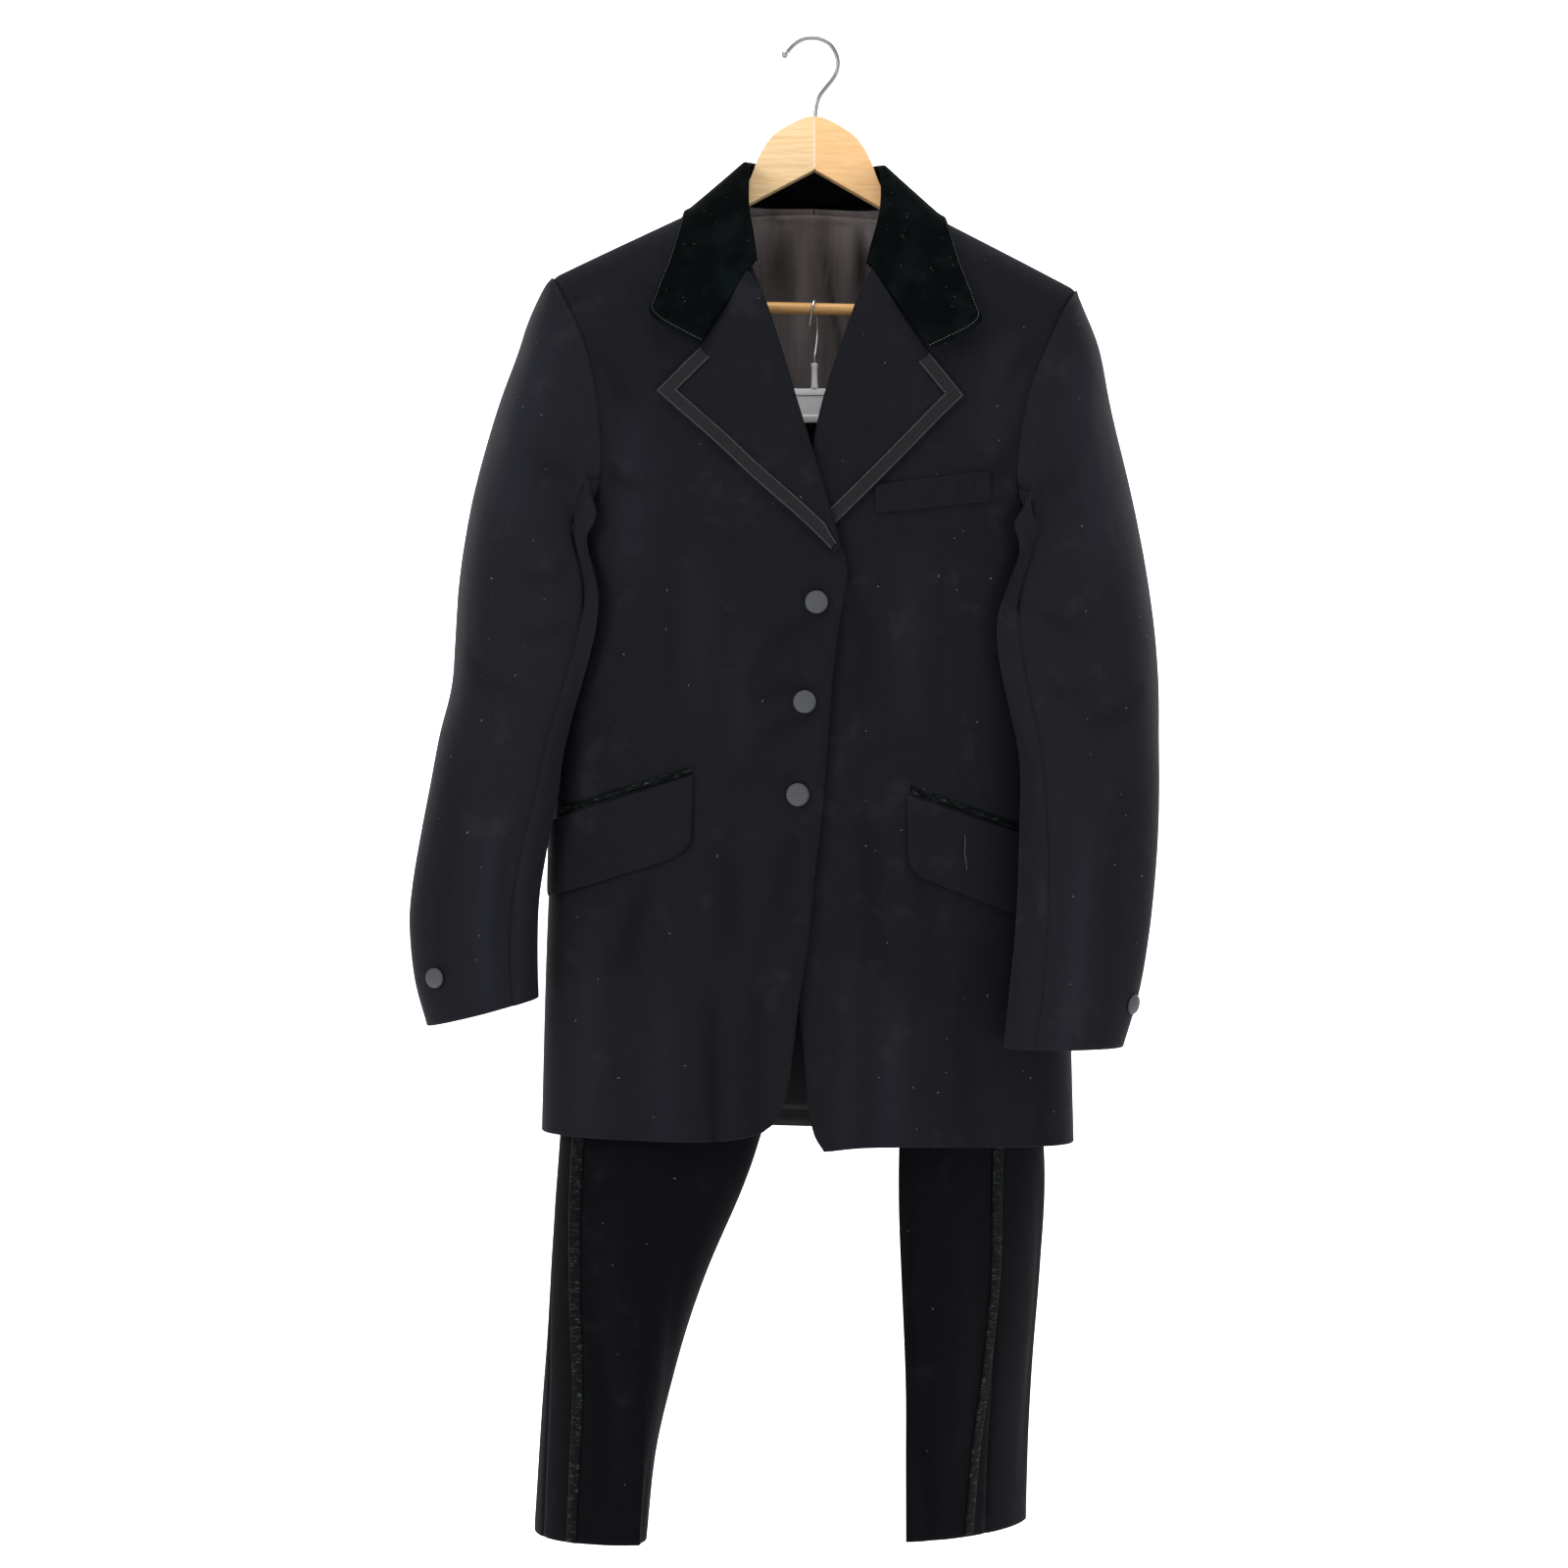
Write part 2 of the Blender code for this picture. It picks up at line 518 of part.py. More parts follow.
def inner_side(outer, normals, thick, ring=False):
    """The wall's inner grid, made thinner in tight folds so that it never turns over."""
    depth = np.full(outer.shape[:2], thick)
    least = LEAST_WALL * thick
    for _ in range(THINNING_ROUNDS):
        inner = outer - normals * depth[:, :, None]
        tight = np.zeros(depth.shape, bool)
        for axis in (0, 1):
            step = np.roll(outer, -1, axis=axis) - outer
            inner_step = np.roll(inner, -1, axis=axis) - inner
            turned = (step * inner_step).sum(axis=2) < 0.2 * (step * step).sum(axis=2)
            if axis == 0:
                turned[-1] = False
            elif not ring:
                turned[:, -1] = False
            tight |= turned | np.roll(turned, 1, axis=axis)
        if not tight.any():
            break
        depth = np.where(tight, np.maximum(depth * 0.9, least), depth)
    return outer - normals * depth[:, :, None]


def shell(name, collection, outer, inner, colour, ring=False):
    """A closed wall between two grids of points, rows first, both cut along the same diagonals."""
    outer, inner = np.array(outer), np.array(inner)
    rows, columns = outer.shape[:2]
    points = np.concatenate([outer.reshape(-1, 3), inner.reshape(-1, 3)])
    offset = rows * columns
    faces = []
    across = columns if ring else columns - 1
    for i in range(rows - 1):
        for j in range(across):
            a, b = i * columns + j, i * columns + (j + 1) % columns
            c, d = b + columns, a + columns
            if np.linalg.norm(points[a] - points[c]) < np.linalg.norm(points[b] - points[d]):
                halves = ((a, b, c), (a, c, d))
            else:
                halves = ((a, b, d), (b, c, d))
            for p, q, r in halves:
                faces.append((p, q, r))
                faces.append((offset + r, offset + q, offset + p))
    for j in range(across):
        a, b = j, (j + 1) % columns
        faces.append((b, a, offset + a, offset + b))
        a, b = a + (rows - 1) * columns, b + (rows - 1) * columns
        faces.append((a, b, offset + b, offset + a))
    if not ring:
        for i in range(rows - 1):
            a, d = i * columns, (i + 1) * columns
            faces.append((a, d, offset + d, offset + a))
            a, d = a + columns - 1, d + columns - 1
            faces.append((d, a, offset + a, offset + d))
    return finish(name, collection, points, faces, colour)


def wall(name, collection, skin, columns, places, thick, colour, guide, past=0.0):
    """A wall under a surface skin(u, v), its thickness measured inwards.

    past is how far the surface runs on beyond its first and last columns.
    """
    step = 0.0015
    outer, normals = [], []
    for v in places:
        outer_row, normal_row = [], []
        for j in range(columns + 1):
            u = j / columns
            along = skin(min(u + step, 1.0 + past), v) - skin(max(u - step, -past), v)
            down = skin(u, min(v + step, 1.0)) - skin(u, max(v - step, 0.0))
            point = skin(u, v)
            outer_row.append(point)
            normal_row.append(outward(along, down, guide(point)))
        outer.append(outer_row)
        normals.append(normal_row)
    outer = np.array(outer)
    return shell(name, collection, outer, inner_side(outer, np.array(normals), thick), colour)


def grid_wall(name, collection, grid, thick, colour, guide):
    """A wall under a grid of points, its thickness measured inwards."""
    grid = np.array(grid)
    down, along = np.gradient(grid, axis=0), np.gradient(grid, axis=1)
    normals = np.cross(along, down)
    normals /= np.linalg.norm(normals, axis=2)[:, :, None]
    middle = normals[len(grid) // 2, grid.shape[1] // 2]
    if middle @ guide(grid[len(grid) // 2, grid.shape[1] // 2]) < 0:
        normals = -normals
    return shell(name, collection, grid, inner_side(grid, normals, thick), colour)


def patch(corners, side, lift):
    """A four-sided piece lying on a front, with its corners eased."""
    (ax, az), (bx, bz), (cx, cz), (dx, dz) = [(x * MM, z * MM) for x, z in corners]

    def skin(u, v):
        u = math.sin(math.pi / 2 * u) ** 0.9 if side == RIGHT and abs(bx) > 200 * MM else u
        top_x, top_z = ax + (bx - ax) * u, az + (bz - az) * u
        low_x, low_z = dx + (cx - dx) * u, dz + (cz - dz) * u
        x, z = top_x + (low_x - top_x) * v, top_z + (low_z - top_z) * v
        ease = 0.9 * MM * smoothstep((abs(x) - 190 * MM) / (35 * MM))
        return on_jacket(side, x, z, lift + ease)
    return skin


def forward(point):
    return np.array((0.2 * point[0], -1.0, 0.0))


# Jacket pieces

def jacket_panel(name, collection, side, back, table, columns, rows):
    def skin(u, v):
        x, z = panel_place(side, back, table, u, v)
        return hung(*jacket_skin(side, back, x, z))

    def guide(point):
        return np.array((1.5 * point[0], 0.06 if back else -0.06, 0.02))
    wall(name, collection, skin, columns, rows, CLOTH, "wool", guide)


def back_lining(collection):
    """The lining that shows through the open neck and the split of the fronts."""
    gap = CLOTH + 1.6 * MM
    last = BACK.keys[-1]

    def skin(u, v):
        x, z = panel_place(LEFT, True, BACK, abs(2 * u - 1) * LINING_SHARE, v)
        room = gap + 2.4 * MM * (1 - smoothstep(v * last / 2.5))
        return on_jacket(LEFT, math.copysign(x, u - 0.5), z, -room, back=True)
    wall("back_lining", collection, skin, 16, [row / last for row in LINING_ROWS], LINING_CLOTH, "lining",
         lambda point: np.array((0, 1.0, 0)))


def armhole_point(side, angle):
    """The armhole seam, going from the shoulder point over the front to the armpit and back."""
    z = SHOULDER_POINT_Z + (ARMPIT_Z - SHOULDER_POINT_Z) * (1 - math.cos(angle)) / 2
    back = math.sin(angle) < 0
    x = armhole_x(side, back, z)
    point = jacket_skin(side, back, x, z)
    room = 1.3 * MM + 2.4 * MM * smoothstep((z - ARMPIT_Z - 45 * MM) / (-35 * MM))
    room += HEAD_ROOM * smoothstep((z - SHOULDER_POINT_Z + 40 * MM) / (30 * MM))
    return np.array((side * point[0] + room, point[1], z))


def sleeve_ring(side, angle, station):
    table = RIGHT_SLEEVE if side == RIGHT else LEFT_SLEEVE
    outer = np.array((table.at("outer", station), 0, table.at("outer_z", station)))
    inner = np.array((table.at("inner", station), 0, table.at("inner_z", station)))
    turn = math.radians(table.at("turn", station))
    depth = table.at("depth", station)
    for fold in SLEEVE_FOLDS[side]:
        along = (station - fold["start"]) / (fold["stop"] - fold["start"])
        if 0 < along < 1:
            off = (math.degrees(angle) % 360 - fold["angle"]) / fold["spread"]
            dent = fold["depth"] * MM * math.sin(math.pi * along) ** 0.8 * math.exp(-off * off)
            depth -= dent * abs(math.sin(angle))
            outer = outer - (outer - inner) * 0.4 * dent / 0.11 * abs(math.cos(angle))
    point = (outer + inner) / 2 + (outer - inner) / 2 * math.cos(angle)
    point[0] -= depth * math.sin(turn) * math.sin(angle)
    point[1] = table.at("middle", station) - depth * math.cos(turn) * math.sin(angle)
    return point


def sleeve_skin(side, angle, station):
    table = RIGHT_SLEEVE if side == RIGHT else LEFT_SLEEVE
    fitted = min(table.at("fitted", station), 1.0)
    point = sleeve_ring(side, angle, station)
    if fitted < 1:
        point = point + (1 - fitted) * (armhole_point(side, angle) - sleeve_ring(side, angle, 0))
    room = SLEEVE_CLEARANCE * smoothstep(station / 0.4)
    centre = side * TORSO.at("centre", point[2])
    across = abs(point[0] - centre) / (TORSO.at("half_width", point[2]) + room)
    depth = TORSO.at("front" if point[1] < 0 else "back", point[2]) + room
    inside = (across ** SECTION_POWER + (abs(point[1]) / depth) ** SECTION_POWER) ** (1 / SECTION_POWER)
    if station > 0 and inside < 1.3 and point[2] < SHOULDER_POINT_Z:
        grow = (1 + inside ** -SLEEVE_EASING) ** (1 / SLEEVE_EASING)
        grow = 1 + (grow - 1) * smoothstep(station / 0.4) * smoothstep(
            (SHOULDER_POINT_Z - point[2]) / HEAD_EASING)
        point = np.array((centre + (point[0] - centre) * grow, point[1] * grow, point[2]))
    return hung(side * point[0], point[1], point[2])


def sleeve_middle(side, point):
    """Where the sleeve's middle line passes nearest above or below a point."""
    table = RIGHT_SLEEVE if side == RIGHT else LEFT_SLEEVE
    best = None
    for station in range(int(table.keys[-1]) + 1):
        x = side * (table.at("outer", station) + table.at("inner", station)) / 2
        z = (table.at("outer_z", station) + table.at("inner_z", station)) / 2
        middle = hung(x, table.at("middle", station), z)
        distance = np.linalg.norm(point - middle)
        if best is None or distance < best[0]:
            best = (distance, middle)
    return best[1]


def sleeve_panel(name, collection, side, start, stop, columns):
    table = RIGHT_SLEEVE if side == RIGHT else LEFT_SLEEVE
    last = table.keys[-1]

    def skin(u, v):
        return sleeve_skin(side, math.radians(start + (stop - start) * u), v * last)
    wall(name, collection, skin, columns, row_places(SLEEVE_ROWS), CLOTH, "wool",
         lambda point: point - sleeve_middle(side, point), past=0.01)


def clear_of_jacket(point, lift):
    """A collar point pushed out of the jacket it lies on."""
    x, y, z = point
    back = y > 0
    below = z - 1.2 * lift
    if below >= top_height(x) + (0 if abs(x) > NECK_HALF else 1):
        return point
    cover = jacket_skin(LEFT, back, x, below)[1]
    y = max(y, cover + lift) if back else min(y, cover - lift)
    return np.array((x, y, z))


def collar_section(side, station):
    """Across the collar: up the stand, over the roll, down the fall."""
    get = COLLAR.at
    sewn = np.array([get("sewn_" + axis, station) for axis in "xyz"])
    roll = np.array([get("roll_" + axis, station) for axis in "xyz"])
    edge = np.array([get("edge_" + axis, station) for axis in "xyz"])
    if side == LEFT:
        shift = LEFT_GORGE_SHIFT * max(0.0, 1 - station / 3) ** 1.5
        sewn[0] -= shift
        roll[0] -= shift
    bearing = math.radians(get("bearing", station))
    out = np.array((math.cos(bearing), math.sin(bearing), 0))
    rise = get("rise", station)
    bulge = np.array((-(1 - rise), 0, rise))
    top = roll + 0.5 * ROLL_WIDTH * out + ROLL_RISE * bulge
    fall = roll + ROLL_WIDTH * out
    points = [sewn, (sewn + roll) / 2, roll, top, fall]
    lift = COLLAR_CLOTH + 1.5 * MM
    for share in COLLAR_SHARES:
        points.append(clear_of_jacket(fall + (edge - fall) * share, lift))
    return points


def collar(collection):
    grid = []
    for station in COLLAR_STATIONS[:-1]:
        grid.append([hung(-p[0], p[1], p[2]) for p in collar_section(RIGHT, station)])
    for station in reversed(COLLAR_STATIONS):
        grid.append([hung(*p) for p in collar_section(LEFT, station)])
    grid_wall("collar", collection, grid, COLLAR_CLOTH, "velvet", lambda p: np.array((0, 1.0, 1.0)))


def lapel_place(side, u, v):
    table = RIGHT_LAPEL if side == RIGHT else LEFT_LAPEL
    row = v * table.keys[-1]
    roll = np.array((table.at("roll_x", row), table.at("roll_z", row)))
    edge = np.array((table.at("edge_x", row), table.at("edge_z", row)))
    straight = roll + (edge - roll) * u
    cut = GORGE[side]
    notch = np.array(cut["notch"]) * MM
    first, last = (np.array((table.at("roll_x", 0), table.at("roll_z", 0))),
                   np.array((table.at("edge_x", 0), table.at("edge_z", 0))))
    if u < cut["share"]:
        bent = first + (notch - first) * u / cut["share"]
    else:
        bent = notch + (last - notch) * (u - cut["share"]) / (1 - cut["share"])
    shift = bent - (first + (last - first) * u)
    return straight + shift * max(0.0, 1 - v / 0.35) ** 1.5


def lapel_lift(u, v):
    """Higher where the cloth rolls over, flat towards the edge and the lowest button."""
    return LAPEL_LIFT + LAPEL_ROLL * math.exp(-((u - 0.1) / 0.16) ** 2) * (1 - smoothstep(v * 1.25))


def lapel(name, collection, side):
    def skin(u, v):
        x, z = lapel_place(side, u, v)
        return on_jacket(side, x, z, lapel_lift(u, v))
    wall(name, collection, skin, 8, even_places(12), CLOTH, "wool", forward)


def braid(name, collection, side):
    """A flat braid along the lapel's upper and outer edges, mitred at the point."""
    cut = GORGE[side]
    top = [(cut["share"] + (1 - cut["share"]) * s, 0.0) for s in (0.0, 0.3, 0.6, 1.0)]
    down = [(1.0, s) for s in (0.15, 0.23, 0.34, 0.46, 0.58, 0.7, 0.8, 0.9)]
    path = np.array([lapel_place(side, u, v) for u, v in top + down])
    rooms = [BRAID_WIDTH] * len(top)
    rooms += [min(BRAID_WIDTH, 0.72 * np.linalg.norm(np.array(lapel_place(side, 0, v))
                                                     - lapel_place(side, 1, v))) for u, v in down]
    middle = np.array(lapel_place(side, 0.5, 0.3))
    grid = []
    for i, place in enumerate(path):
        before = path[i] - path[i - 1] if i else path[1] - path[0]
        after = path[i + 1] - path[i] if i + 1 < len(path) else before
        before, after = before / np.linalg.norm(before), after / np.linalg.norm(after)
        normals = [np.array((-d[1], d[0])) for d in (before, after)]
        mitre = normals[0] + normals[1]
        mitre = mitre / (mitre @ normals[0])
        if mitre @ (middle - place) < 0:
            mitre = -mitre
        row = []
        for share in (0.02, 0.5, 1.0):
            x, z = place + mitre * rooms[i] * share
            row.append(on_jacket(side, x, z, LAPEL_LIFT + SEAM + 0.25 * MM + BRAID_CLOTH))
        grid.append(row)
    grid_wall(name, collection, grid, BRAID_CLOTH, "braid", forward)


def lying_patch(name, collection, corners, side, lift, thick, colour, columns, rows):
    skin = patch(corners, side, lift + thick)
    wall(name, collection, skin, columns, even_places(rows), thick, colour, forward)


def button(name, collection, place, normal, radius, height):
    """A cloth-covered button: a turned dome."""
    profile = [(0, 1.0), (0.45, 0.95), (0.78, 0.78), (0.97, 0.45), (1.0, 0.25), (0.86, 0.02), (0, 0.0)]
    mesh = bpy.data.meshes.new(name)
    mesh.from_pydata([(r * radius, 0, h * height) for r, h in profile], [(i, i + 1) for i in range(6)], [])
    item = bpy.data.objects.new(name, mesh)
    collection.objects.link(item)
    screw = item.modifiers.new("turn", "SCREW")
    screw.steps = screw.render_steps = 14
    screw.use_merge_vertices = True
    screw.merge_threshold = 0.00001
    mesh.materials.append(material(name, "faille"))
    item.location = Vector(place)
    item.rotation_euler = Vector(normal).to_track_quat("Z", "Y").to_euler()


def front_button(name, collection, x, z, lift):
    place = on_jacket(RIGHT, x * MM, z * MM, lift * MM)
    normal = on_jacket(RIGHT, x * MM, z * MM, 10 * MM) - place
    button(name, collection, place, normal, BUTTON_RADIUS, BUTTON_HEIGHT)


def cuff_button(name, collection, side):
    station, degrees = CUFF_BUTTONS[side]
    angle = math.radians(degrees)
    point = sleeve_skin(side, angle, station)
    ahead = sleeve_skin(side, angle + 0.1, station) - sleeve_skin(side, angle - 0.1, station)
    down = sleeve_skin(side, angle, station + 0.1) - sleeve_skin(side, angle, station - 0.1)
    normal = outward(ahead, down, point - sleeve_middle(side, point))
    button(name, collection, point - normal * 1.0 * MM, normal, CUFF_BUTTON_RADIUS, CUFF_BUTTON_HEIGHT)


# Trousers

def leg_skin(side, angle, z, lift=0.0):
    """Round a leg: 0 is the inseam, 90 the front crease, 180 the outside, 270 the back crease."""
    table = RIGHT_LEG if side == RIGHT else LEFT_LEG
    turn = math.radians(table.at("turn", z))
    sine, cosine = math.sin(angle), math.cos(angle)
    width = table.at("inner" if cosine > 0 else "outer", z) + lift
    crease = table.at("crease", z) + lift
    open_top = smoothstep((z - CROTCH_Z) / (20 * MM)) if cosine > 0 else 0.0
    boxy = 0.45 + 0.55 * smoothstep((-400 * MM - z) / (160 * MM))
    depth = math.copysign(abs(sine) ** boxy, sine)
    if open_top > 0:
        depth = depth * (1 - open_top) + math.copysign(open_top, sine)
    across = -math.copysign(abs(cosine) ** table.at("fold", z), cosine) * width
    forwards = depth * crease
    x = table.at("across", z) + side * (across * math.cos(turn) - forwards * math.sin(turn))
    y = table.at("along", z) - across * math.sin(turn) - forwards * math.cos(turn)
    return np.array((x, y, z))


def leg_height(v, angle):
    """Rows go from the waistband to a hem that drops towards the heel."""
    top = WAIST_BOTTOM - 0.4 * MM
    hem = TROUSER_HEM - HEM_DROP * (1 - math.sin(angle)) / 2
    return top + (hem - top) * v


def leg_middle(side, z):
    return (leg_skin(side, 0.5 * math.pi, z) + leg_skin(side, 1.5 * math.pi, z)) / 2


def leg_panel(name, collection, side, back, columns, rows):
    gap = 0.0025
    start, stop = (gap, math.pi - gap) if not back else (2 * math.pi - gap, math.pi + gap)

    def skin(u, v):
        angle = start + (stop - start) * u
        z = leg_height(v, angle)
        point = leg_skin(side, angle, z)
        if z > CROTCH_Z - 4 * MM:
            point[0] = side * max(side * point[0], SEAM / 2)
            point[1] += SEAM if back else -SEAM
        return point
    wall(name, collection, skin, columns, even_places(rows), LEG_CLOTH, "wool",
         lambda point: point - leg_middle(side, point[2]))


def leg_stripe(name, collection, side):
    """A satin stripe down the outside of a leg."""
    table = RIGHT_LEG if side == RIGHT else LEFT_LEG
    top, low = WAIST_BOTTOM - 2 * MM, TROUSER_HEM - 3 * MM
    outer, inner = [], []
    for share in even_places(LEG_ROWS):
        z = top + (low - top) * share
        middle = math.radians(table.at("stripe", z))
        half = 0.5 * STRIPE_WIDTH / max(table.at("crease", z), 30 * MM)
        outer_row, inner_row = [], []
        for j in range(4):
            angle = middle + half * (2 * j / 3 - 1)
            point, ahead = leg_skin(side, angle, z), leg_skin(side, angle + 0.01, z)
            tangent = ahead - point
            normal = np.array((tangent[1], -tangent[0], 0))
            normal /= np.linalg.norm(normal)
            centre = np.array((table.at("across", z), table.at("along", z), z))
            if normal @ (point - centre) < 0:
                normal = -normal
            outer_row.append(point + normal * (STRIPE_LIFT + STRIPE_CLOTH))
            inner_row.append(point + normal * STRIPE_LIFT)
        outer.append(outer_row)
        inner.append(inner_row)
    shell(name, collection, outer, inner, "satin")


def waistband(collection):
    count, power = 48, 5.0
    rings = []
    for z in (WAIST_TOP, WAIST_BOTTOM):
        pair = []
        for inset in (0.0, CLOTH):
            ring = []
            for k in range(count):
                angle = 2 * math.pi * k / count
                c, s = math.cos(angle), math.sin(angle)
                x = math.copysign(abs(c) ** (2 / power), c) * (WAIST_HALF_X - inset)
                y = math.copysign(abs(s) ** (2 / power), s) * (WAIST_HALF_Y - inset)
                ring.append(np.array((x, y, z)))
            pair.append(ring)
        rings.append(pair)
    shell("waistband", collection, [r[0] for r in rings], [r[1] for r in rings], "wool", ring=True)


# Hangers

def wire(name, collection, route, diameter, colour, samples=2):
    """A round wire along a smooth curve through its route."""
    route = [Vector(p) for p in route]
    points = []
    for i in range(len(route) - 1):
        before, after = route[max(i - 1, 0)], route[min(i + 2, len(route) - 1)]
        a, b = route[i], route[i + 1]
        for k in range(samples):
            t = k / samples
            first, last = (b - before) / 2, (after - a) / 2
            points.append(a + first * t + (3 * (b - a) - 2 * first - last) * t * t
                          + (2 * (a - b) + first + last) * t ** 3)
    points.append(route[-1])
    data = bpy.data.curves.new(name, "CURVE")
    data.dimensions = "3D"
    spline = data.splines.new("POLY")
    spline.points.add(len(points) - 1)
    for target, point in zip(spline.points, points):
        target.co = (*point, 1)
    data.bevel_depth = diameter / 2
    data.bevel_resolution = 2
    data.use_fill_caps = True
    data.materials.append(material(name, colour))
    item = bpy.data.objects.new(name, data)
    collection.objects.link(item)
    return item


def hanger_arm(name, collection, side):
    """One half of the wooden hanger: a flat outline with eased edges."""
    data = bpy.data.curves.new(name, "CURVE")
    data.dimensions = "2D"
    data.fill_mode = "BOTH"
    data.extrude = ARM_THICK / 2
    spline = data.splines.new("POLY")
    spline.points.add(len(ARM_OUTLINE) - 1)
    for target, (x, z) in zip(spline.points, ARM_OUTLINE):
        x *= side * MM
        target.co = (x, z * MM - TILT * x, 0, 1)
    spline.use_cyclic_u = True
    data.materials.append(material(name, "wood"))
    item = bpy.data.objects.new(name, data)
    collection.objects.link(item)
    item.rotation_euler = (math.radians(90), 0, 0)
    weld = item.modifiers.new("weld", "WELD")
    weld.merge_threshold = 0.00005
    bevel = item.modifiers.new("ease", "BEVEL")
    bevel.width = ARM_BEVEL
    bevel.segments = 2
    bevel.limit_method = "ANGLE"
    bevel.angle_limit = math.radians(60)


def cylinder(name, collection, radius, length, place, turn, colour, sides=20):
    bpy.ops.mesh.primitive_cylinder_add(vertices=sides, radius=radius, depth=length, location=place,
                                        rotation=turn)
    return claim(bpy.context.active_object, name, collection, colour)


def claim(item, name, collection, colour):
    item.name = item.data.name = name
    for other in list(item.users_collection):
        other.objects.unlink(item)
    collection.objects.link(item)
    item.data.materials.append(material(name, colour))
    return item


def box(name, collection, size, place, colour, bevel):
    bpy.ops.mesh.primitive_cube_add(size=1, location=place)
    item = claim(bpy.context.active_object, name, collection, colour)
    for vertex in item.data.vertices:
        vertex.co = Vector((vertex.co.x * size[0], vertex.co.y * size[1], vertex.co.z * size[2]))
    ease = item.modifiers.new("ease", "BEVEL")
    ease.width = bevel
    ease.segments = 2
    return item


def trouser_clip(name, collection, x):
    """A saddle clip: over the plate's top, down both sides, gripping the waistband."""
    inner = WAIST_HALF_Y + 0.3 * MM
    outer = inner + CLIP_SHEET
    top = PLATE["top"] + 0.3 * MM
    outline = [(-outer, CLIP_LOW), (-outer, top + CLIP_SHEET), (outer, top + CLIP_SHEET), (outer, CLIP_LOW),
               (inner, CLIP_LOW), (inner, top), (-inner, top), (-inner, CLIP_LOW)]
    data = bpy.data.curves.new(name, "CURVE")
    data.dimensions = "2D"
    data.fill_mode = "BOTH"
    data.extrude = CLIP_WIDTH / 2
    spline = data.splines.new("POLY")
    spline.points.add(len(outline) - 1)
    for target, (y, z) in zip(spline.points, outline):
        target.co = (y, z, 0, 1)
    spline.use_cyclic_u = True
    data.materials.append(material(name, "steel"))
    item = bpy.data.objects.new(name, data)
    collection.objects.link(item)
    item.location = (x, 0, 0)
    item.rotation_euler = (math.radians(90), 0, math.radians(90))
    weld = item.modifiers.new("weld", "WELD")
    weld.merge_threshold = 0.00005


def hangers(collection):
    hanger_arm("hanger_arm_right", collection, RIGHT)
    hanger_arm("hanger_arm_left", collection, LEFT)
    cylinder("hanger_bar", collection, BAR_RADIUS, 2 * BAR_HALF, (0, 0, BAR_Z),
             (0, math.radians(90) + math.atan(TILT), 0), "wood")
    wire("hanger_hook", collection, [(x * MM, 0, z * MM) for x, z in HOOK_ROUTE], HOOK_WIRE, "steel")
    bpy.ops.mesh.primitive_uv_sphere_add(segments=12, ring_count=7, radius=HOOK_TIP_RADIUS,
                                         location=(-26.4 * MM, 0, -13.0 * MM))
    claim(bpy.context.active_object, "hanger_hook_tip", collection, "steel")
    wire("clip_hanger_hook", collection, [(x * MM, y * MM, z * MM) for x, y, z in CLIP_HOOK_ROUTE],
         CLIP_WIRE, "steel", samples=1)
    stem_low = PLATE["top"] + 0.3 * MM
    cylinder("clip_hanger_stem", collection, STEM_RADIUS, STEM_TOP - stem_low,
             (0, 0, (STEM_TOP + stem_low) / 2), (0, 0, 0), "plastic", 16)
    box("clip_hanger_plate", collection, (2 * PLATE["half"], PLATE["thick"], PLATE["top"] - PLATE["low"]),
        (0, 0, (PLATE["top"] + PLATE["low"]) / 2), "plastic", 1.2 * MM)
    trouser_clip("trouser_clip_right", collection, -CLIP_X)
    trouser_clip("trouser_clip_left", collection, CLIP_X)


def jacket(collection):
    jacket_panel("front_right", collection, RIGHT, False, RIGHT_FRONT, 10, row_places(FRONT_ROWS))
    jacket_panel("front_left", collection, LEFT, False, LEFT_FRONT, 10, row_places(FRONT_ROWS))
    jacket_panel("back_right", collection, RIGHT, True, BACK, 9, row_places(BACK_ROWS))
    jacket_panel("back_left", collection, LEFT, True, BACK, 9, row_places(BACK_ROWS))
    back_lining(collection)
    for side, word in ((RIGHT, "right"), (LEFT, "left")):
        sleeve_panel("top_sleeve_" + word, collection, side, -112.0, 122.0, 14)
        sleeve_panel("under_sleeve_" + word, collection, side, 123.1, 247.6, 8)
        lapel("lapel_" + word, collection, side)
        braid("lapel_braid_" + word, collection, side)
        lying_patch("flap_" + word, collection, FLAPS[side], side, FLAP_LIFT, 2.0 * MM, "wool", 9, 5)
        lying_patch("flap_piping_" + word, collection, PIPING[side], side, 0.4 * MM, 1.8 * MM, "satin", 9, 1)
        cuff_button("cuff_button_" + word, collection, side)
    lying_patch("breast_welt", collection, WELT, LEFT, 0.4 * MM, 1.8 * MM, "wool", 8, 2)
    collar(collection)
    for i, (x, z, lift) in enumerate(FRONT_BUTTONS):
        front_button("front_button_%d" % (i + 1), collection, x, z, lift)


def trousers(collection):
    waistband(collection)
    for side, word in ((RIGHT, "right"), (LEFT, "left")):
        leg_panel("trouser_front_" + word, collection, side, False, LEG_COLUMNS, LEG_ROWS)
        leg_panel("trouser_back_" + word, collection, side, True, LEG_COLUMNS, LEG_ROWS)
        leg_stripe("trouser_stripe_" + word, collection, side)


def main():
    clear_scene()
    collection = bpy.data.collections.new("tuxedo")
    bpy.context.scene.collection.children.link(collection)
    hangers(collection)
    jacket(collection)
    trousers(collection)


main()
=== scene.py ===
# Looks of a tuxedo on a hanger: cloth, trim, buttons, hanger, floor, light and camera.
# Metres, in the frame of the CAD part: +X is the wearer's left, the front faces -Y.
# Tables are in millimetres and degrees.

import json
import math

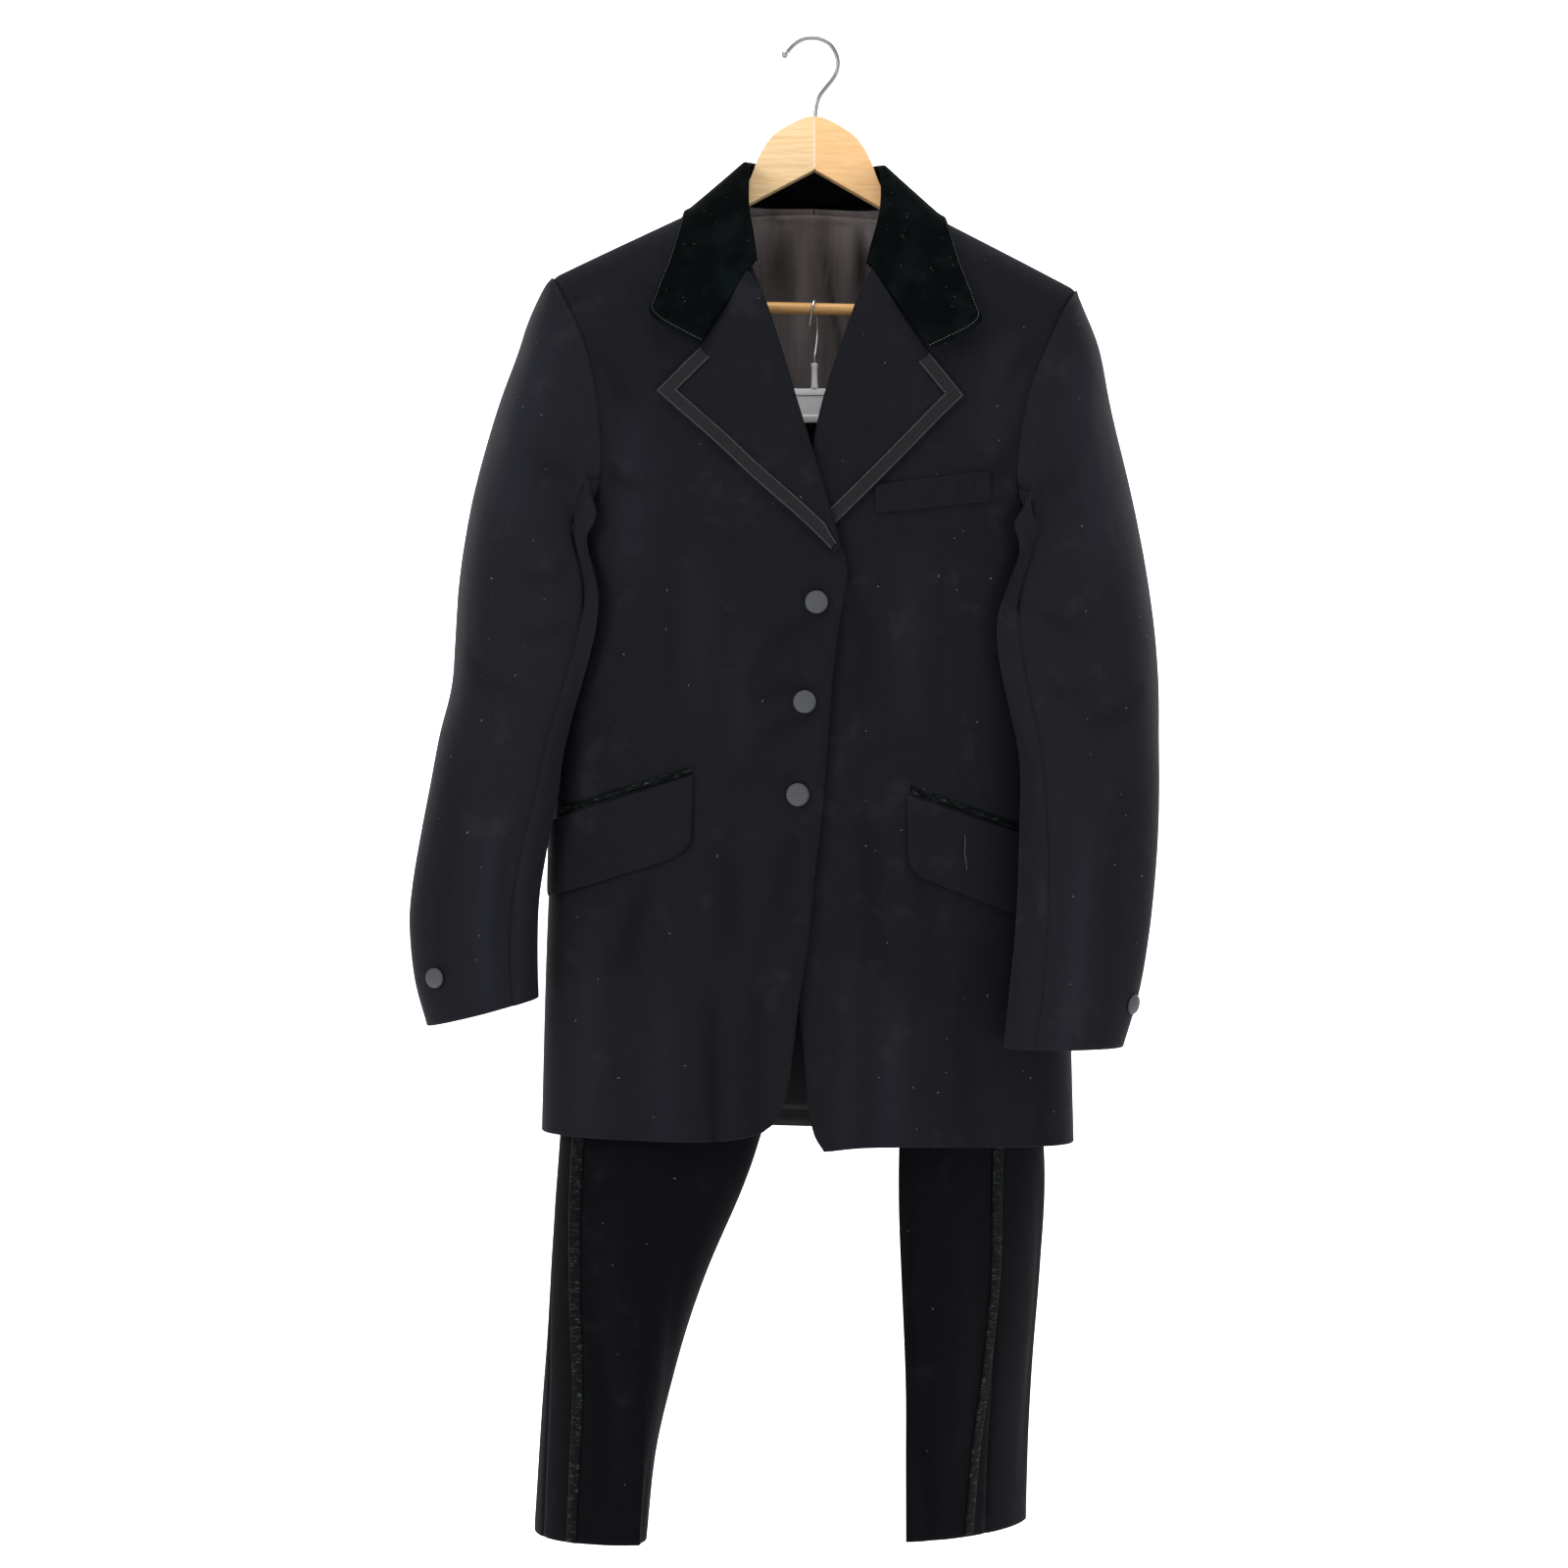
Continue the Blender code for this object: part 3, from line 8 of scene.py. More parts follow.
import bmesh
import bpy
import numpy as np
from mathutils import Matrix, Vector

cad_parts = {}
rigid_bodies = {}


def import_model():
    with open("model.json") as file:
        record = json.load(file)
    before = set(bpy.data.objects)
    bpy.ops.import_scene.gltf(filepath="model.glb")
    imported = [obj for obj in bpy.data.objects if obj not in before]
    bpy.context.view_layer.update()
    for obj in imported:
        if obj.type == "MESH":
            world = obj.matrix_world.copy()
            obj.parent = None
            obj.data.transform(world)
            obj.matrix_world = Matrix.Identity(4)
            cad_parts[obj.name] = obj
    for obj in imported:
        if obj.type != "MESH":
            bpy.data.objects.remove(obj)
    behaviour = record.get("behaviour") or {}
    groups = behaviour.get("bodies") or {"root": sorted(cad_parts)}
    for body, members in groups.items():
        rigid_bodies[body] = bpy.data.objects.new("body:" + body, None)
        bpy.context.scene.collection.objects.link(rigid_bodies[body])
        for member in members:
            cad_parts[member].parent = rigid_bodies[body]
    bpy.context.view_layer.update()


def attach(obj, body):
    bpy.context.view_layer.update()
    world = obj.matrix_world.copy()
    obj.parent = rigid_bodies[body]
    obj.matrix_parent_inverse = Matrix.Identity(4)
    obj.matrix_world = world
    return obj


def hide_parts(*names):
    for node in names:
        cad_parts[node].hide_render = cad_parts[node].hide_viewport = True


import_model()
for name in ("Cube", "Light", "Camera"):
    if name in bpy.data.objects:
        bpy.data.objects.remove(bpy.data.objects[name], do_unlink=True)

MM = 0.001
RIGHT, LEFT = -1, 1
SIDES = ((RIGHT, "right"), (LEFT, "left"))

# Driving sizes
CLOTH, LINING_CLOTH = 2.0 * MM, 1.2 * MM
SEAM = 0.3 * MM
THINNING_ROUNDS = 12
TILT = 0.0237
SHOULDER_X, SHOULDER_Z, SHOULDER_SLOPE = 110.5 * MM, -158.0 * MM, 0.485
SHOULDER_POINT_Z = -216.7 * MM
NECK_HALF, NECK_BACK_Y = 76.0 * MM, 55.0 * MM
RIDGE_ROUNDING = 75.0 * MM
ARMPIT_Z = -456.0 * MM
SECTION_POWER = 2.6
OVERLAP_LIFT, OVERLAP_FROM, OVERLAP_TO = 6.6 * MM, -70.0 * MM, -21.0 * MM
SLEEVE_CLEARANCE, SLEEVE_EASING = 4.5 * MM, 40.0
ARMHOLE_ROOM, ARMPIT_ROOM = 1.3 * MM, 2.4 * MM
HEAD_EASING = 100.0 * MM
WAIST_TOP, WAIST_BOTTOM = -340.5 * MM, -375.0 * MM
WAIST_HALF_X, WAIST_HALF_Y = 211.0 * MM, 9.0 * MM


class Table:
    """Named columns, read as smooth lines through the rows. The first column is the key."""

    def __init__(self, names, rows, plain=()):
        names = names.split()
        data = np.array(sorted(rows), float)
        self.columns = {name: data[:, i] * (1.0 if name in plain else MM) for i, name in enumerate(names)}
        self.keys = self.columns[names[0]]
        order = np.arange(len(self.keys))
        before, after = np.maximum(order - 1, 0), np.minimum(order + 1, len(order) - 1)
        spans = self.keys[after] - self.keys[before]
        self.slopes = {name: (v[after] - v[before]) / spans for name, v in self.columns.items()}

    def at(self, name, where):
        keys, values, slopes = self.keys, self.columns[name], self.slopes[name]
        where = np.clip(where, keys[0], keys[-1])
        i = np.clip(np.searchsorted(keys, where, side="left") - 1, 0, len(keys) - 2)
        span = keys[i + 1] - keys[i]
        t = (where - keys[i]) / span
        rise = values[i + 1] - values[i]
        first, last = slopes[i] * span, slopes[i + 1] * span
        return values[i] + t * (first + t * (3 * rise - 2 * first - last + t * (first + last - 2 * rise)))


def named(columns, rows):
    """Rows of a small list, each value under its column's name."""
    return [dict(zip(columns.split(), row)) for row in rows]


# The jacket's horizontal sections: superellipses
TORSO = Table("height half_width front back centre", [
    (-100, 262, 76, 52, 0),
    (-210, 256, 80, 59, 0),
    (-330, 243, 85, 65, 0),
    (-450, 227, 85, 68, -4),
    (-600, 223, 83, 68, -5),
    (-800, 231, 85, 70, -6),
    (-985, 236, 87, 73, -6),
])

# Where the armhole seam lies, outwards from the middle, front and back
ARMHOLE = Table("height right_front left_front back", [
    (-216.7, 231.5, 231.5, 231.5),
    (-240, 219, 217, 221),
    (-280, 201, 199, 208),
    (-315, 192, 186, 201),
    (-362, 186, 177, 196),
    (-405, 188, 177, 198),
    (-440, 205, 197, 209),
    (-456, 232, 232, 232),
])

# Fronts: the free edge (neckline, roll line, front edge) and the height where each row ends
RIGHT_FRONT = Table("row edge_x edge_z side_z bend wrap", [
    (0, -75, -140.8, -216.7, 1, 0),
    (1, -64, -178, -240, 1, 0),
    (2, -56, -213, -280, 1, 0),
    (3, -39.6, -258, -315, 1, 0),
    (4, -21, -320.5, -362, 1.1, 0),
    (5, 1.6, -389, -405, 1.4, 0.1),
    (6, 12.5, -425.5, -440, 2, 0.5),
    (7, 20, -452, -456, 3, 1),
    (8, 26.6, -476, -478, 3, 1),
    (9, 21, -515, -515, 3, 1),
    (10, 14.2, -567, -567, 3, 1),
    (11, 10.3, -620, -620, 3, 1),
    (12, 5.3, -680, -680, 3, 1),
    (13, -1.4, -740, -740, 3, 1),
    (14, -6.8, -795, -797, 3, 1),
    (15, -14.6, -845, -850, 3, 1),
    (16, -20, -890, -896, 3, 1),
    (17, -25.5, -925, -935, 5, 1),
    (18, -33, -948, -962, 8, 1),
    (19, -46, -960.6, -971, 8, 1),
], plain=("row", "bend", "wrap"))

LEFT_FRONT = Table("row edge_x edge_z side_z bend wrap", [
    (0, 75, -140.8, -216.7, 1, 0),
    (1, 62, -180, -240, 1, 0),
    (2, 47.5, -219, -275, 1, 0),
    (3, 34.5, -247, -308, 1, 0),
    (4, 11, -320.5, -360, 1.1, 0),
    (5, -1.7, -374, -405, 1.4, 0.1),
    (6, -9, -420, -440, 2, 0.5),
    (7, -14, -450, -456, 3, 1),
    (8, -18, -478, -478, 3, 1),
    (9, -21, -515, -515, 3, 1),
    (10, -22, -567, -567, 3, 1),
    (11, -22, -620, -620, 3, 1),
    (12, -21, -680, -680, 3, 1),
    (13, -19.5, -740, -740, 3, 1),
    (14, -17.5, -795, -797, 3, 1),
    (15, -14.4, -845, -850, 3, 1),
    (16, -9.5, -890, -896, 3, 1),
    (17, -6, -930, -935, 5, 1),
    (18, -1, -960, -960, 8, 1),
    (19, 8, -976, -970, 8, 1),
], plain=("row", "bend", "wrap"))

FRONTS = {RIGHT: RIGHT_FRONT, LEFT: LEFT_FRONT}

# Rows of the grids, closer together over the shoulder and at the armpit
FRONT_ROWS = [0, 0.05, 0.2, 0.45, 0.8, 1.2, 1.6, 2, 2.5, 3, 3.6, 4.2, 4.8, 5.4, 5.9, 6.4, 7, 8, 9.2, 10.5,
              12, 13.5, 15, 16.2, 17, 17.7, 18.3, 19]
BACK_ROWS = [0, 0.05, 0.2, 0.45, 0.8, 1.2, 1.6, 2.2, 3, 4, 5, 5.9, 6.4, 7, 8.5, 10.5, 13, 16, 19]
LINING_ROWS = [0.2, 0.45, 0.8, 1.2, 1.6, 2.2, 3, 4, 5, 5.9, 6.4, 7, 8.5, 10.5, 13, 16, 18.4]
LINING_SHARE = 8 / 9
BACK = Table("row edge_x edge_z side_z bend wrap", [
    (0, 0, -139.5, -216.7, 1, 0),
    (1, 0, -165, -240, 1, 0),
    (2, 0, -200, -280, 1, 0),
    (3, 0, -245, -315, 1, 0),
    (4, 0, -305, -362, 1, 0),
    (5, 0, -365, -405, 1, 0.1),
    (6, 0, -415, -440, 1, 0.5),
    (7, 0, -450, -456, 1, 1),
    (8, 0, -480, -480, 1, 1),
    (10, 0, -567, -567, 1, 1),
    (13, 0, -740, -740, 1, 1),
    (16, 0, -890, -890, 1, 1),
    (19, 0, -972, -971, 1, 1),
], plain=("row", "bend", "wrap"))

# The largest soft folds of the fronts and back
FRONT_FOLDS = named("x lean top low width depth", [
    (-92, 0.02, -880, -1000, 9, -3.0),
    (-118, 0.45, -740, -860, 16, -2.6),
    (-52, -0.15, -760, -940, 18, 2.2),
    (70, 0.12, -730, -930, 20, 2.4),
    (118, 0.05, -800, -1000, 14, -2.6),
    (-128, 0.0, -470, -660, 9, -1.6),
    (105, 0.0, -480, -650, 9, -1.6),
    (-160, 0.5, -300, -420, 16, -2.0),
    (150, -0.5, -290, -400, 16, -2.0),
])
BACK_FOLDS = named("x lean top low width depth", [
    (-92, 0.05, -420, -900, 26, -4.0),
    (88, -0.06, -440, -920, 24, -3.6),
    (0, 0.0, -560, -1000, 30, 3.0),
    (-150, 0.1, -620, -1000, 22, 3.0),
    (145, -0.1, -600, -1000, 22, 2.6),
])

# Sleeves: the outer and inner outline, outwards from the middle, with each ring's depth
RIGHT_SLEEVE = Table("station outer outer_z inner inner_z depth middle turn fitted", [
    (0, 231.5, -216.7, 228, -456, 60, 0, 0, 0),
    (1, 241, -230, 228, -459, 62, 0, 3, 0.3),
    (2, 259, -278, 227, -463, 64, -2, 6, 0.6),
    (3, 276, -321, 225, -469, 65, -4, 10, 0.82),
    (4, 289, -365, 220, -478, 65, -8, 14, 0.95),
    (5, 299, -408, 212, -490, 64, -12, 18, 1),
    (6, 306, -452, 205, -507, 63, -16, 20, 1),
    (7, 311, -495, 203, -529, 62, -19, 20, 1),
    (8, 314, -540, 206, -557, 60, -22, 18, 1),
    (9, 318, -582, 211, -591, 57, -25, 16, 1),
    (10, 329, -625, 217, -632, 54, -28, 14, 1),
    (11, 337, -668, 222, -673, 51, -32, 12, 1),
    (12, 345, -712, 231, -713, 47, -36, 10, 1),
    (13, 352, -757, 239, -757, 43, -40, 8, 1),
    (14, 354, -792, 241, -787, 40, -44, 6, 1),
    (15, 349, -838, 241, -822, 38, -48, 4, 1),
    (16, 338, -878, 240, -851, 37, -50, 4, 1),
], plain=("station", "turn", "fitted"))

LEFT_SLEEVE = Table("station outer outer_z inner inner_z depth middle turn fitted", [
    (0, 231.5, -216.7, 226, -456, 60, 0, 0, 0),
    (1, 240, -246, 226, -459, 62, 0, 4, 0.3),
    (2, 254, -292, 223, -465, 65, -4, 9, 0.6),
    (3, 265, -338, 218, -473, 66, -8, 15, 0.82),
    (4, 275, -386, 208, -484, 66, -14, 20, 0.95),
    (5, 283, -433, 197, -498, 65, -20, 24, 1),
    (6, 289, -480, 188, -518, 64, -28, 26, 1),
    (7, 294, -525, 183, -546, 62, -36, 25, 1),
    (8, 297, -570, 180, -580, 60, -44, 22, 1),
    (9, 298, -612, 179, -618, 56, -52, 18, 1),
    (10, 298, -655, 178, -658, 52, -62, 14, 1),
    (11, 296, -698, 176, -700, 48, -72, 10, 1),
    (12, 292, -740, 174, -743, 44, -80, 6, 1),
    (13, 286, -785, 171, -788, 41, -87, 3, 1),
    (14, 277, -832, 166, -834, 38, -92, 0, 1),
    (15, 263, -878, 161, -881, 36, -96, 0, 1),
], plain=("station", "turn", "fitted"))

SLEEVES = {RIGHT: RIGHT_SLEEVE, LEFT: LEFT_SLEEVE}
SLEEVE_ROWS = [0, 0.4, 1, 1.8, 2.6, 3.4, 4.3, 5.3, 6.4, 7.6, 8.8, 10.2, 11.6, 13, 14.5, 16]

# Dents in the sleeves: angle round the ring from the outer edge over the front
SLEEVE_FOLDS = {
    RIGHT: named("angle start stop spread depth", [
        (118, 11, 17, 16, 11),
        (60, 4, 10, 16, 3),
        (150, 6, 10, 14, 4),
        (285, 5, 14, 20, 5),
    ]),
    LEFT: named("angle start stop spread depth", [
        (110, 9, 16, 18, 5),
        (55, 3, 9, 16, 3),
        (285, 5, 13, 20, 5),
    ]),
}

# The collar's half: where it is sewn on, its roll, its outer edge, and the roll's bearing
COLLAR = Table(
    "station sewn_x sewn_y sewn_z roll_x roll_y roll_z edge_x edge_y edge_z bearing rise", [
        (0, 53.0, -74.0, -213.5, 52.0, -76.0, -211, 100, -90, -283.5, -84, 0.1),
        (1, 56.0, -71.0, -197, 54.0, -71.5, -190, 140, -90, -262, -78, 0.2),
        (2, 59.5, -64.5, -178, 57.0, -61.0, -164, 138, -85, -243, -62, 0.4),
        (3, 65.0, -46.0, -156, 57.5, -41.0, -137, 126, -74, -210, -42, 0.7),
        (4, 70.5, -21.0, -142, 57.0, -18.0, -118, 117, -50, -174, -18, 1),
        (5, 72.0, 2.0, -138.0, 55.5, 1.0, -112.5, 113, 0, -154.5, 2, 1),
        (6, 65.0, 21.0, -136.5, 46.0, 18.0, -110, 101, 32, -160, 38, 1),
        (7, 49.0, 37.0, -136.0, 34.0, 28.5, -109, 76, 47, -166, 60, 1),
        (8, 26.0, 46.5, -136.0, 18.0, 36.0, -108, 40, 60, -168, 77, 1),
        (9, 0, 50.0, -136.0, 0, 39.0, -107.5, 0, 62.5, -169, 90, 1),
    ], plain=("station", "bearing", "rise"))
LEFT_GORGE_SHIFT = 6.5 * MM
COLLAR_CLOTH = 2.2 * MM
ROLL_WIDTH, ROLL_RISE = 9.0 * MM, 3.0 * MM

# Lapels: the roll line and the outer edge
RIGHT_LAPEL = Table("row roll_x roll_z edge_x edge_z", [
    (0, -58.5, -221.5, -136.3, -325),
    (1, -46.5, -243, -119, -340),
    (2, -32.5, -284, -89, -366),
    (3, -21, -321, -62, -390.5),
    (4, -8, -362, -35, -414.5),
    (5, 3, -397, -12, -435),
    (6, 15.5, -440, 7, -452.5),
    (7, 19.5, -457, 17, -462.4),
], plain=("row",))
LEFT_LAPEL = Table("row roll_x roll_z edge_x edge_z", [
    (0, 49.5, -218.5, 127, -323),
    (1, 38.5, -243, 109, -341),
    (2, 26, -277, 84, -367.5),
    (3, 11, -321, 57, -395.5),
    (4, 1.5, -358, 30, -423),
    (5, -4.5, -394, 12, -441),
    (6, -9, -428, -1, -452),
    (7, -12, -448, -8, -461),
], plain=("row",))
LAPELS = {RIGHT: RIGHT_LAPEL, LEFT: LEFT_LAPEL}
GORGE = {
    RIGHT: {"notch": (-99.5, -288), "point": (-136.3, -325), "share": 0.62},
    LEFT: {"notch": (98, -288.5), "point": (127, -323), "share": 0.64},
}
LAPEL_LIFT, LAPEL_ROLL = 2.5 * MM, 3.4 * MM
BRAID_WIDTH, BRAID_CLOTH, BRAID_END = 12.0 * MM, 1.0 * MM, 0.93

# Flaps, piping and welt: corners (inner top, outer top, outer bottom, inner bottom)
FLAP_LIFT = 0.8 * MM
FLAPS = {
    RIGHT: [(-105.5, -655.5), (-231.5, -699), (-232.0, -764.5), (-107.5, -722.5)],
    LEFT: [(79.0, -668.5), (190.0, -703.5), (191.0, -775.7), (80.5, -735)],
}
PIPING = {
    RIGHT: [(-106.0, -647.6), (-222.5, -686), (-222.5, -691.6), (-106.0, -653.4)],
    LEFT: [(82.0, -659.8), (186.0, -693.8), (186.0, -699.8), (82.0, -665.8)],
}
WELT = [(51.4, -402), (150.5, -386.5), (151.5, -412.5), (51.4, -426.5)]

# Trouser legs: the section's middle, crease depth, turn, and widths to each side
RIGHT_LEG = Table("height across along crease turn outer inner fold stripe", [
    (-375.4, -105.3, 0, 8.4, 0, 104.6, 105, 1.0, 160),
    (-450, -107.3, 0, 20, 0, 102, 107, 1.0, 158),
    (-560, -108.3, 0, 34, 0, 99, 108, 1.0, 155),
    (-612, -108.5, 0, 40, 0, 98, 107.5, 1.0, 152),
    (-700, -113, -2, 46, 2, 98, 106, 1.0, 148),
    (-850, -126, -4, 52, 1, 92, 107, 1.1, 145),
    (-987, -140, -5, 58, -4, 87, 88, 1.25, 143),
    (-1095, -161, -4, 66, 12, 73, 65, 1.35, 146),
    (-1182, -178, -2, 76, 25, 61, 51, 1.45, 149),
    (-1247, -186, 0, 83, 27, 56, 38, 1.55, 151),
    (-1320, -193, 0, 87, 28, 52, 34, 1.6, 152),
], plain=("turn", "fold", "stripe"))
LEFT_LEG = Table("height across along crease turn outer inner fold stripe", [
    (-375.4, 105.3, 0, 8.4, 0, 104.6, 105, 1.0, 184),
    (-450, 107.3, 0, 20, 0, 101, 107, 1.0, 184),
    (-560, 108.3, 0, 34, 0, 93, 108, 1.0, 184),
    (-612, 108.5, 0, 38, 0, 91, 107.5, 1.0, 184),
    (-700, 112, -1, 44, 10, 88, 98, 1.0, 184),
    (-850, 128, -5, 56, 38, 66, 68, 1.1, 184),
    (-940, 136, -8, 70, 56, 42, 40, 1.2, 184),
    (-987, 139.5, -8, 76, 60, 34, 30, 1.3, 183),
    (-1095, 140, 0, 85, 49, 30, 28, 1.4, 179),
    (-1182, 138.5, 0, 86, 44, 26, 24, 1.5, 173),
    (-1247, 137, 0, 87, 42, 22, 20, 1.55, 168),
    (-1320, 136, 0, 87, 41, 20, 18, 1.6, 164),
], plain=("turn", "fold", "stripe"))
LEGS = {RIGHT: RIGHT_LEG, LEFT: LEFT_LEG}
LEG_CLOTH = 1.6 * MM
CROTCH_Z, HEM_DROP, TROUSER_HEM = -612 * MM, 12 * MM, -1316 * MM
BOXY_FROM, LEG_CREASES_FROM, PRESSED_CREASE = -400 * MM, -620 * MM, 0.9 * MM
STRIPE_WIDTH, STRIPE_CLOTH, STRIPE_LIFT = 10.5 * MM, 0.9 * MM, 0.8 * MM

# Wooden hanger: the outline of one arm from the joint at the middle
ARM_OUTLINE = [
    (0.2, -69), (8, -70), (21, -76), (35.5, -85.5), (44.5, -97), (50.8, -109.5), (55.5, -122),
    (62.5, -136.5), (75, -146.0), (112, -161.8), (215, -211.8), (221.5, -218), (223, -240),
    (218, -247.5), (204, -248.5), (197.3, -245), (197.3, -232), (188, -221), (60, -149),
    (0.2, -116),
]
ARM_THICK, ARM_BEVEL = 13 * MM, 3.0 * MM
BAR_RADIUS, BAR_HALF, BAR_Z = 5.2 * MM, 197.0 * MM, -238.5 * MM
HOOK_WIRE = 4.0 * MM
HOOK_ROUTE = [
    (-24.0, -10.6), (-18.5, -4.6), (-11.5, 0.3), (-4.2, 2.0), (4.3, 1.3), (12.6, -2.8), (18.0, -9.8),
    (20.7, -18.2), (20.0, -26.9), (16.4, -34.5), (10.4, -42.0), (4.6, -49.8), (1.8, -58.3), (0.6, -68.5),
]
HOOK_TIP, HOOK_TIP_RADIUS = (-26.4, 0, -13.0), 3.0 * MM

# Clip hanger inside the jacket
PLATE = {"half": 150 * MM, "top": -309.5 * MM, "low": -339.5 * MM, "thick": 5.0 * MM}
STEM_TOP, STEM_RADIUS, CLIP_WIRE = -287 * MM, 3.2 * MM, 2.6 * MM
CLIP_HOOK_ROUTE = [
    (-4.2, -8.2, -255), (-3.2, -8.4, -247), (-1.8, -8.0, -238.5), (-0.8, -6.0, -233.8),
    (0.0, -3.2, -232.0), (0.4, 0.0, -231.75), (0.8, 3.2, -232.0), (1.2, 6.0, -233.5), (1.8, 8.0, -238.5),
    (2.4, 8.4, -247), (2.6, 7.6, -256), (2.2, 5.2, -265), (1.2, 2.4, -274), (0.2, 0.3, -281),
    (0.0, 0.0, -286.6),
]
CLIP_X, CLIP_WIDTH, CLIP_SHEET, CLIP_LOW = 95 * MM, 26 * MM, 1.6 * MM, -366 * MM

BUTTON_RADIUS, BUTTON_HEIGHT = 10.0 * MM, 5.5 * MM
CUFF_BUTTON_RADIUS, CUFF_BUTTON_HEIGHT = 8.8 * MM, 5.0 * MM
# From the middle of the dome to the middle of the back: shares of the radius and the height
BUTTON_PROFILE = [
    (0.04, 0.99), (0.12, 0.985), (0.22, 0.975), (0.34, 0.96), (0.46, 0.935), (0.58, 0.9), (0.7, 0.85),
    (0.8, 0.785), (0.88, 0.7), (0.94, 0.59), (0.975, 0.47), (0.99, 0.36), (0.985, 0.26), (0.95, 0.16),
    (0.88, 0.08), (0.7, 0.03), (0.4, 0.01), (0.1, 0.0),
]
FRONT_BUTTONS = [(0.7, -504.3, 0.5), (-9.4, -590.1, -0.3), (-15.3, -669.9, -0.6)]
CUFF_BUTTONS = {RIGHT: (15.0, 50.0), LEFT: (14.2, 24.0)}

# Creases: a path in the piece's own flat measures, its width at each end, its depth
FRONT_CREASES = {
    RIGHT: [
        ([(-126, -455), (-127, -545), (-126, -652)], (1.8, 1.8), -0.9),
        ([(-144, -742), (-155, -778), (-169, -832)], (6, 12), -2.8),
        ([(-90, -834), (-89, -907), (-86, -1040)], (9, 2.8), -3.0),
        ([(-83, -698), (-77, -746), (-74, -815)], (10, 12), -1.8),
        ([(10, -506), (-27, -534), (-62, -584)], (6, 9), -1.5),
        ([(2, -582), (-27, -577), (-58, -594)], (5, 8), -1.6),
        ([(0, -600), (-31, -612), (-60, -642)], (5, 8), -1.5),
        ([(-6, -664), (-44, -648), (-80, -660)], (6, 8), -1.3),
        ([(-5, -692), (-27, -728), (-36, -796)], (7, 11), -1.8),
        ([(-162, -330), (-155, -411), (-163, -492)], (16, 18), 1.8),
        ([(-99, -450), (-101, -528), (-98, -605)], (14, 14), 1.2),
        ([(-188, -384), (-169, -401), (-140, -413)], (6, 8), -1.7),
        ([(-198, -284), (-177, -304), (-158, -345)], (7, 9), -1.5),
        ([(-204, -765), (-196, -834), (-198, -1030)], (12, 14), 1.6),
        ([(-128, -822), (-132, -899), (-128, -1030)], (12, 14), 1.3),
        ([(-168, -236), (-120, -242), (-88, -270)], (11, 12), -1.1),
        ([(-44, -786), (-51, -864), (-54, -1020)], (9, 12), -1.6),
        ([(-60, -520), (-66, -590), (-58, -650)], (11, 14), 1.0),
        ([(-215, -560), (-196, -600), (-170, -618)], (8, 10), -1.2),
    ],
    LEFT: [
        ([(108, -474), (108, -565), (110, -642)], (1.8, 1.8), -0.9),
        ([(44, -675), (49, -743), (52, -828)], (9, 12), -2.2),
        ([(62, -817), (67, -895), (63, -1030)], (12, 14), 1.7),
        ([(173, -262), (158, -319), (149, -372)], (15, 18), 2.0),
        ([(83, -446), (81, -532), (84, -618)], (14, 16), 1.2),
        ([(178, -359), (157, -389), (124, -406)], (7, 9), -1.6),
        ([(195, -272), (171, -298), (151, -337)], (7, 9), -1.5),
        ([(30, -485), (44, -533), (39, -600)], (8, 12), -1.7),
        ([(142, -782), (129, -860), (134, -1030)], (10, 14), -1.8),
        ([(192, -882), (197, -934), (193, -1030)], (7, 10), -1.6),
        ([(24, -801), (29, -879), (24, -1030)], (8, 10), 1.3),
        ([(87, -722), (99, -776), (97, -850)], (8, 11), -1.4),
        ([(62, -250), (100, -262), (140, -252)], (10, 12), -0.9),
    ],
}
BACK_CREASES = [
    ([(-172, -262), (-150, -330), (-158, -420)], (10, 15), -2.0),
    ([(168, -270), (149, -345), (160, -430)], (12, 15), -2.2),
    ([(-110, -430), (-66, -452), (-20, -440)], (9, 12), -1.3),
    ([(24, -455), (70, -470), (122, -448)], (8, 13), -1.5),
    ([(-188, -470), (-160, -560), (-171, -660)], (13, 17), -1.9),
    ([(180, -500), (158, -585), (168, -690)], (12, 18), -1.7),
    ([(-60, -640), (-50, -790), (-56, -1030)], (15, 20), 1.9),
    ([(52, -690), (58, -830), (50, -1030)], (14, 18), 1.7),
    ([(-132, -760), (-120, -880), (-128, -1030)], (10, 13), -1.8),
    ([(118, -800), (128, -900), (120, -1030)], (9, 13), -1.9),
    ([(-40, -180), (-72, -240), (-80, -320)], (11, 16), 1.2),
    ([(36, -176), (70, -246), (84, -330)], (12, 16), 1.1),
]
LINING_CREASES = [
    ([(7, -146), (9.3, -182), (15.5, -222), (21.7, -249), (32, -335)], (1.6, 3.0), 1.5),
    ([(41, -150), (42, -180), (40, -222)], (5.0, 7.0), 2.2),
    ([(-27, -156), (-29, -190), (-24, -232)], (8.0, 11.0), 1.4),
    ([(-52, -138), (-38, -147), (-26, -156)], (2.2, 3.0), 0.9),
    ([(-60, -149), (-30, -152), (0, -152.5), (30, -152), (60, -149)], (1.5, 1.5), 0.7),
    ([(-14, -160), (-8, -200), (-12, -260)], (6.0, 10.0), -1.2),
    ([(60, -170), (56, -215), (64, -270)], (6.0, 10.0), -1.2),
    ([(-70, -320), (-60, -460), (-66, -640)], (12.0, 16.0), 1.8),
    ([(52, -330), (60, -470), (54, -660)], (12.0, 16.0), 1.8),
    ([(-20, -640), (-14, -800), (-18, -1000)], (12.0, 16.0), -1.5),
]
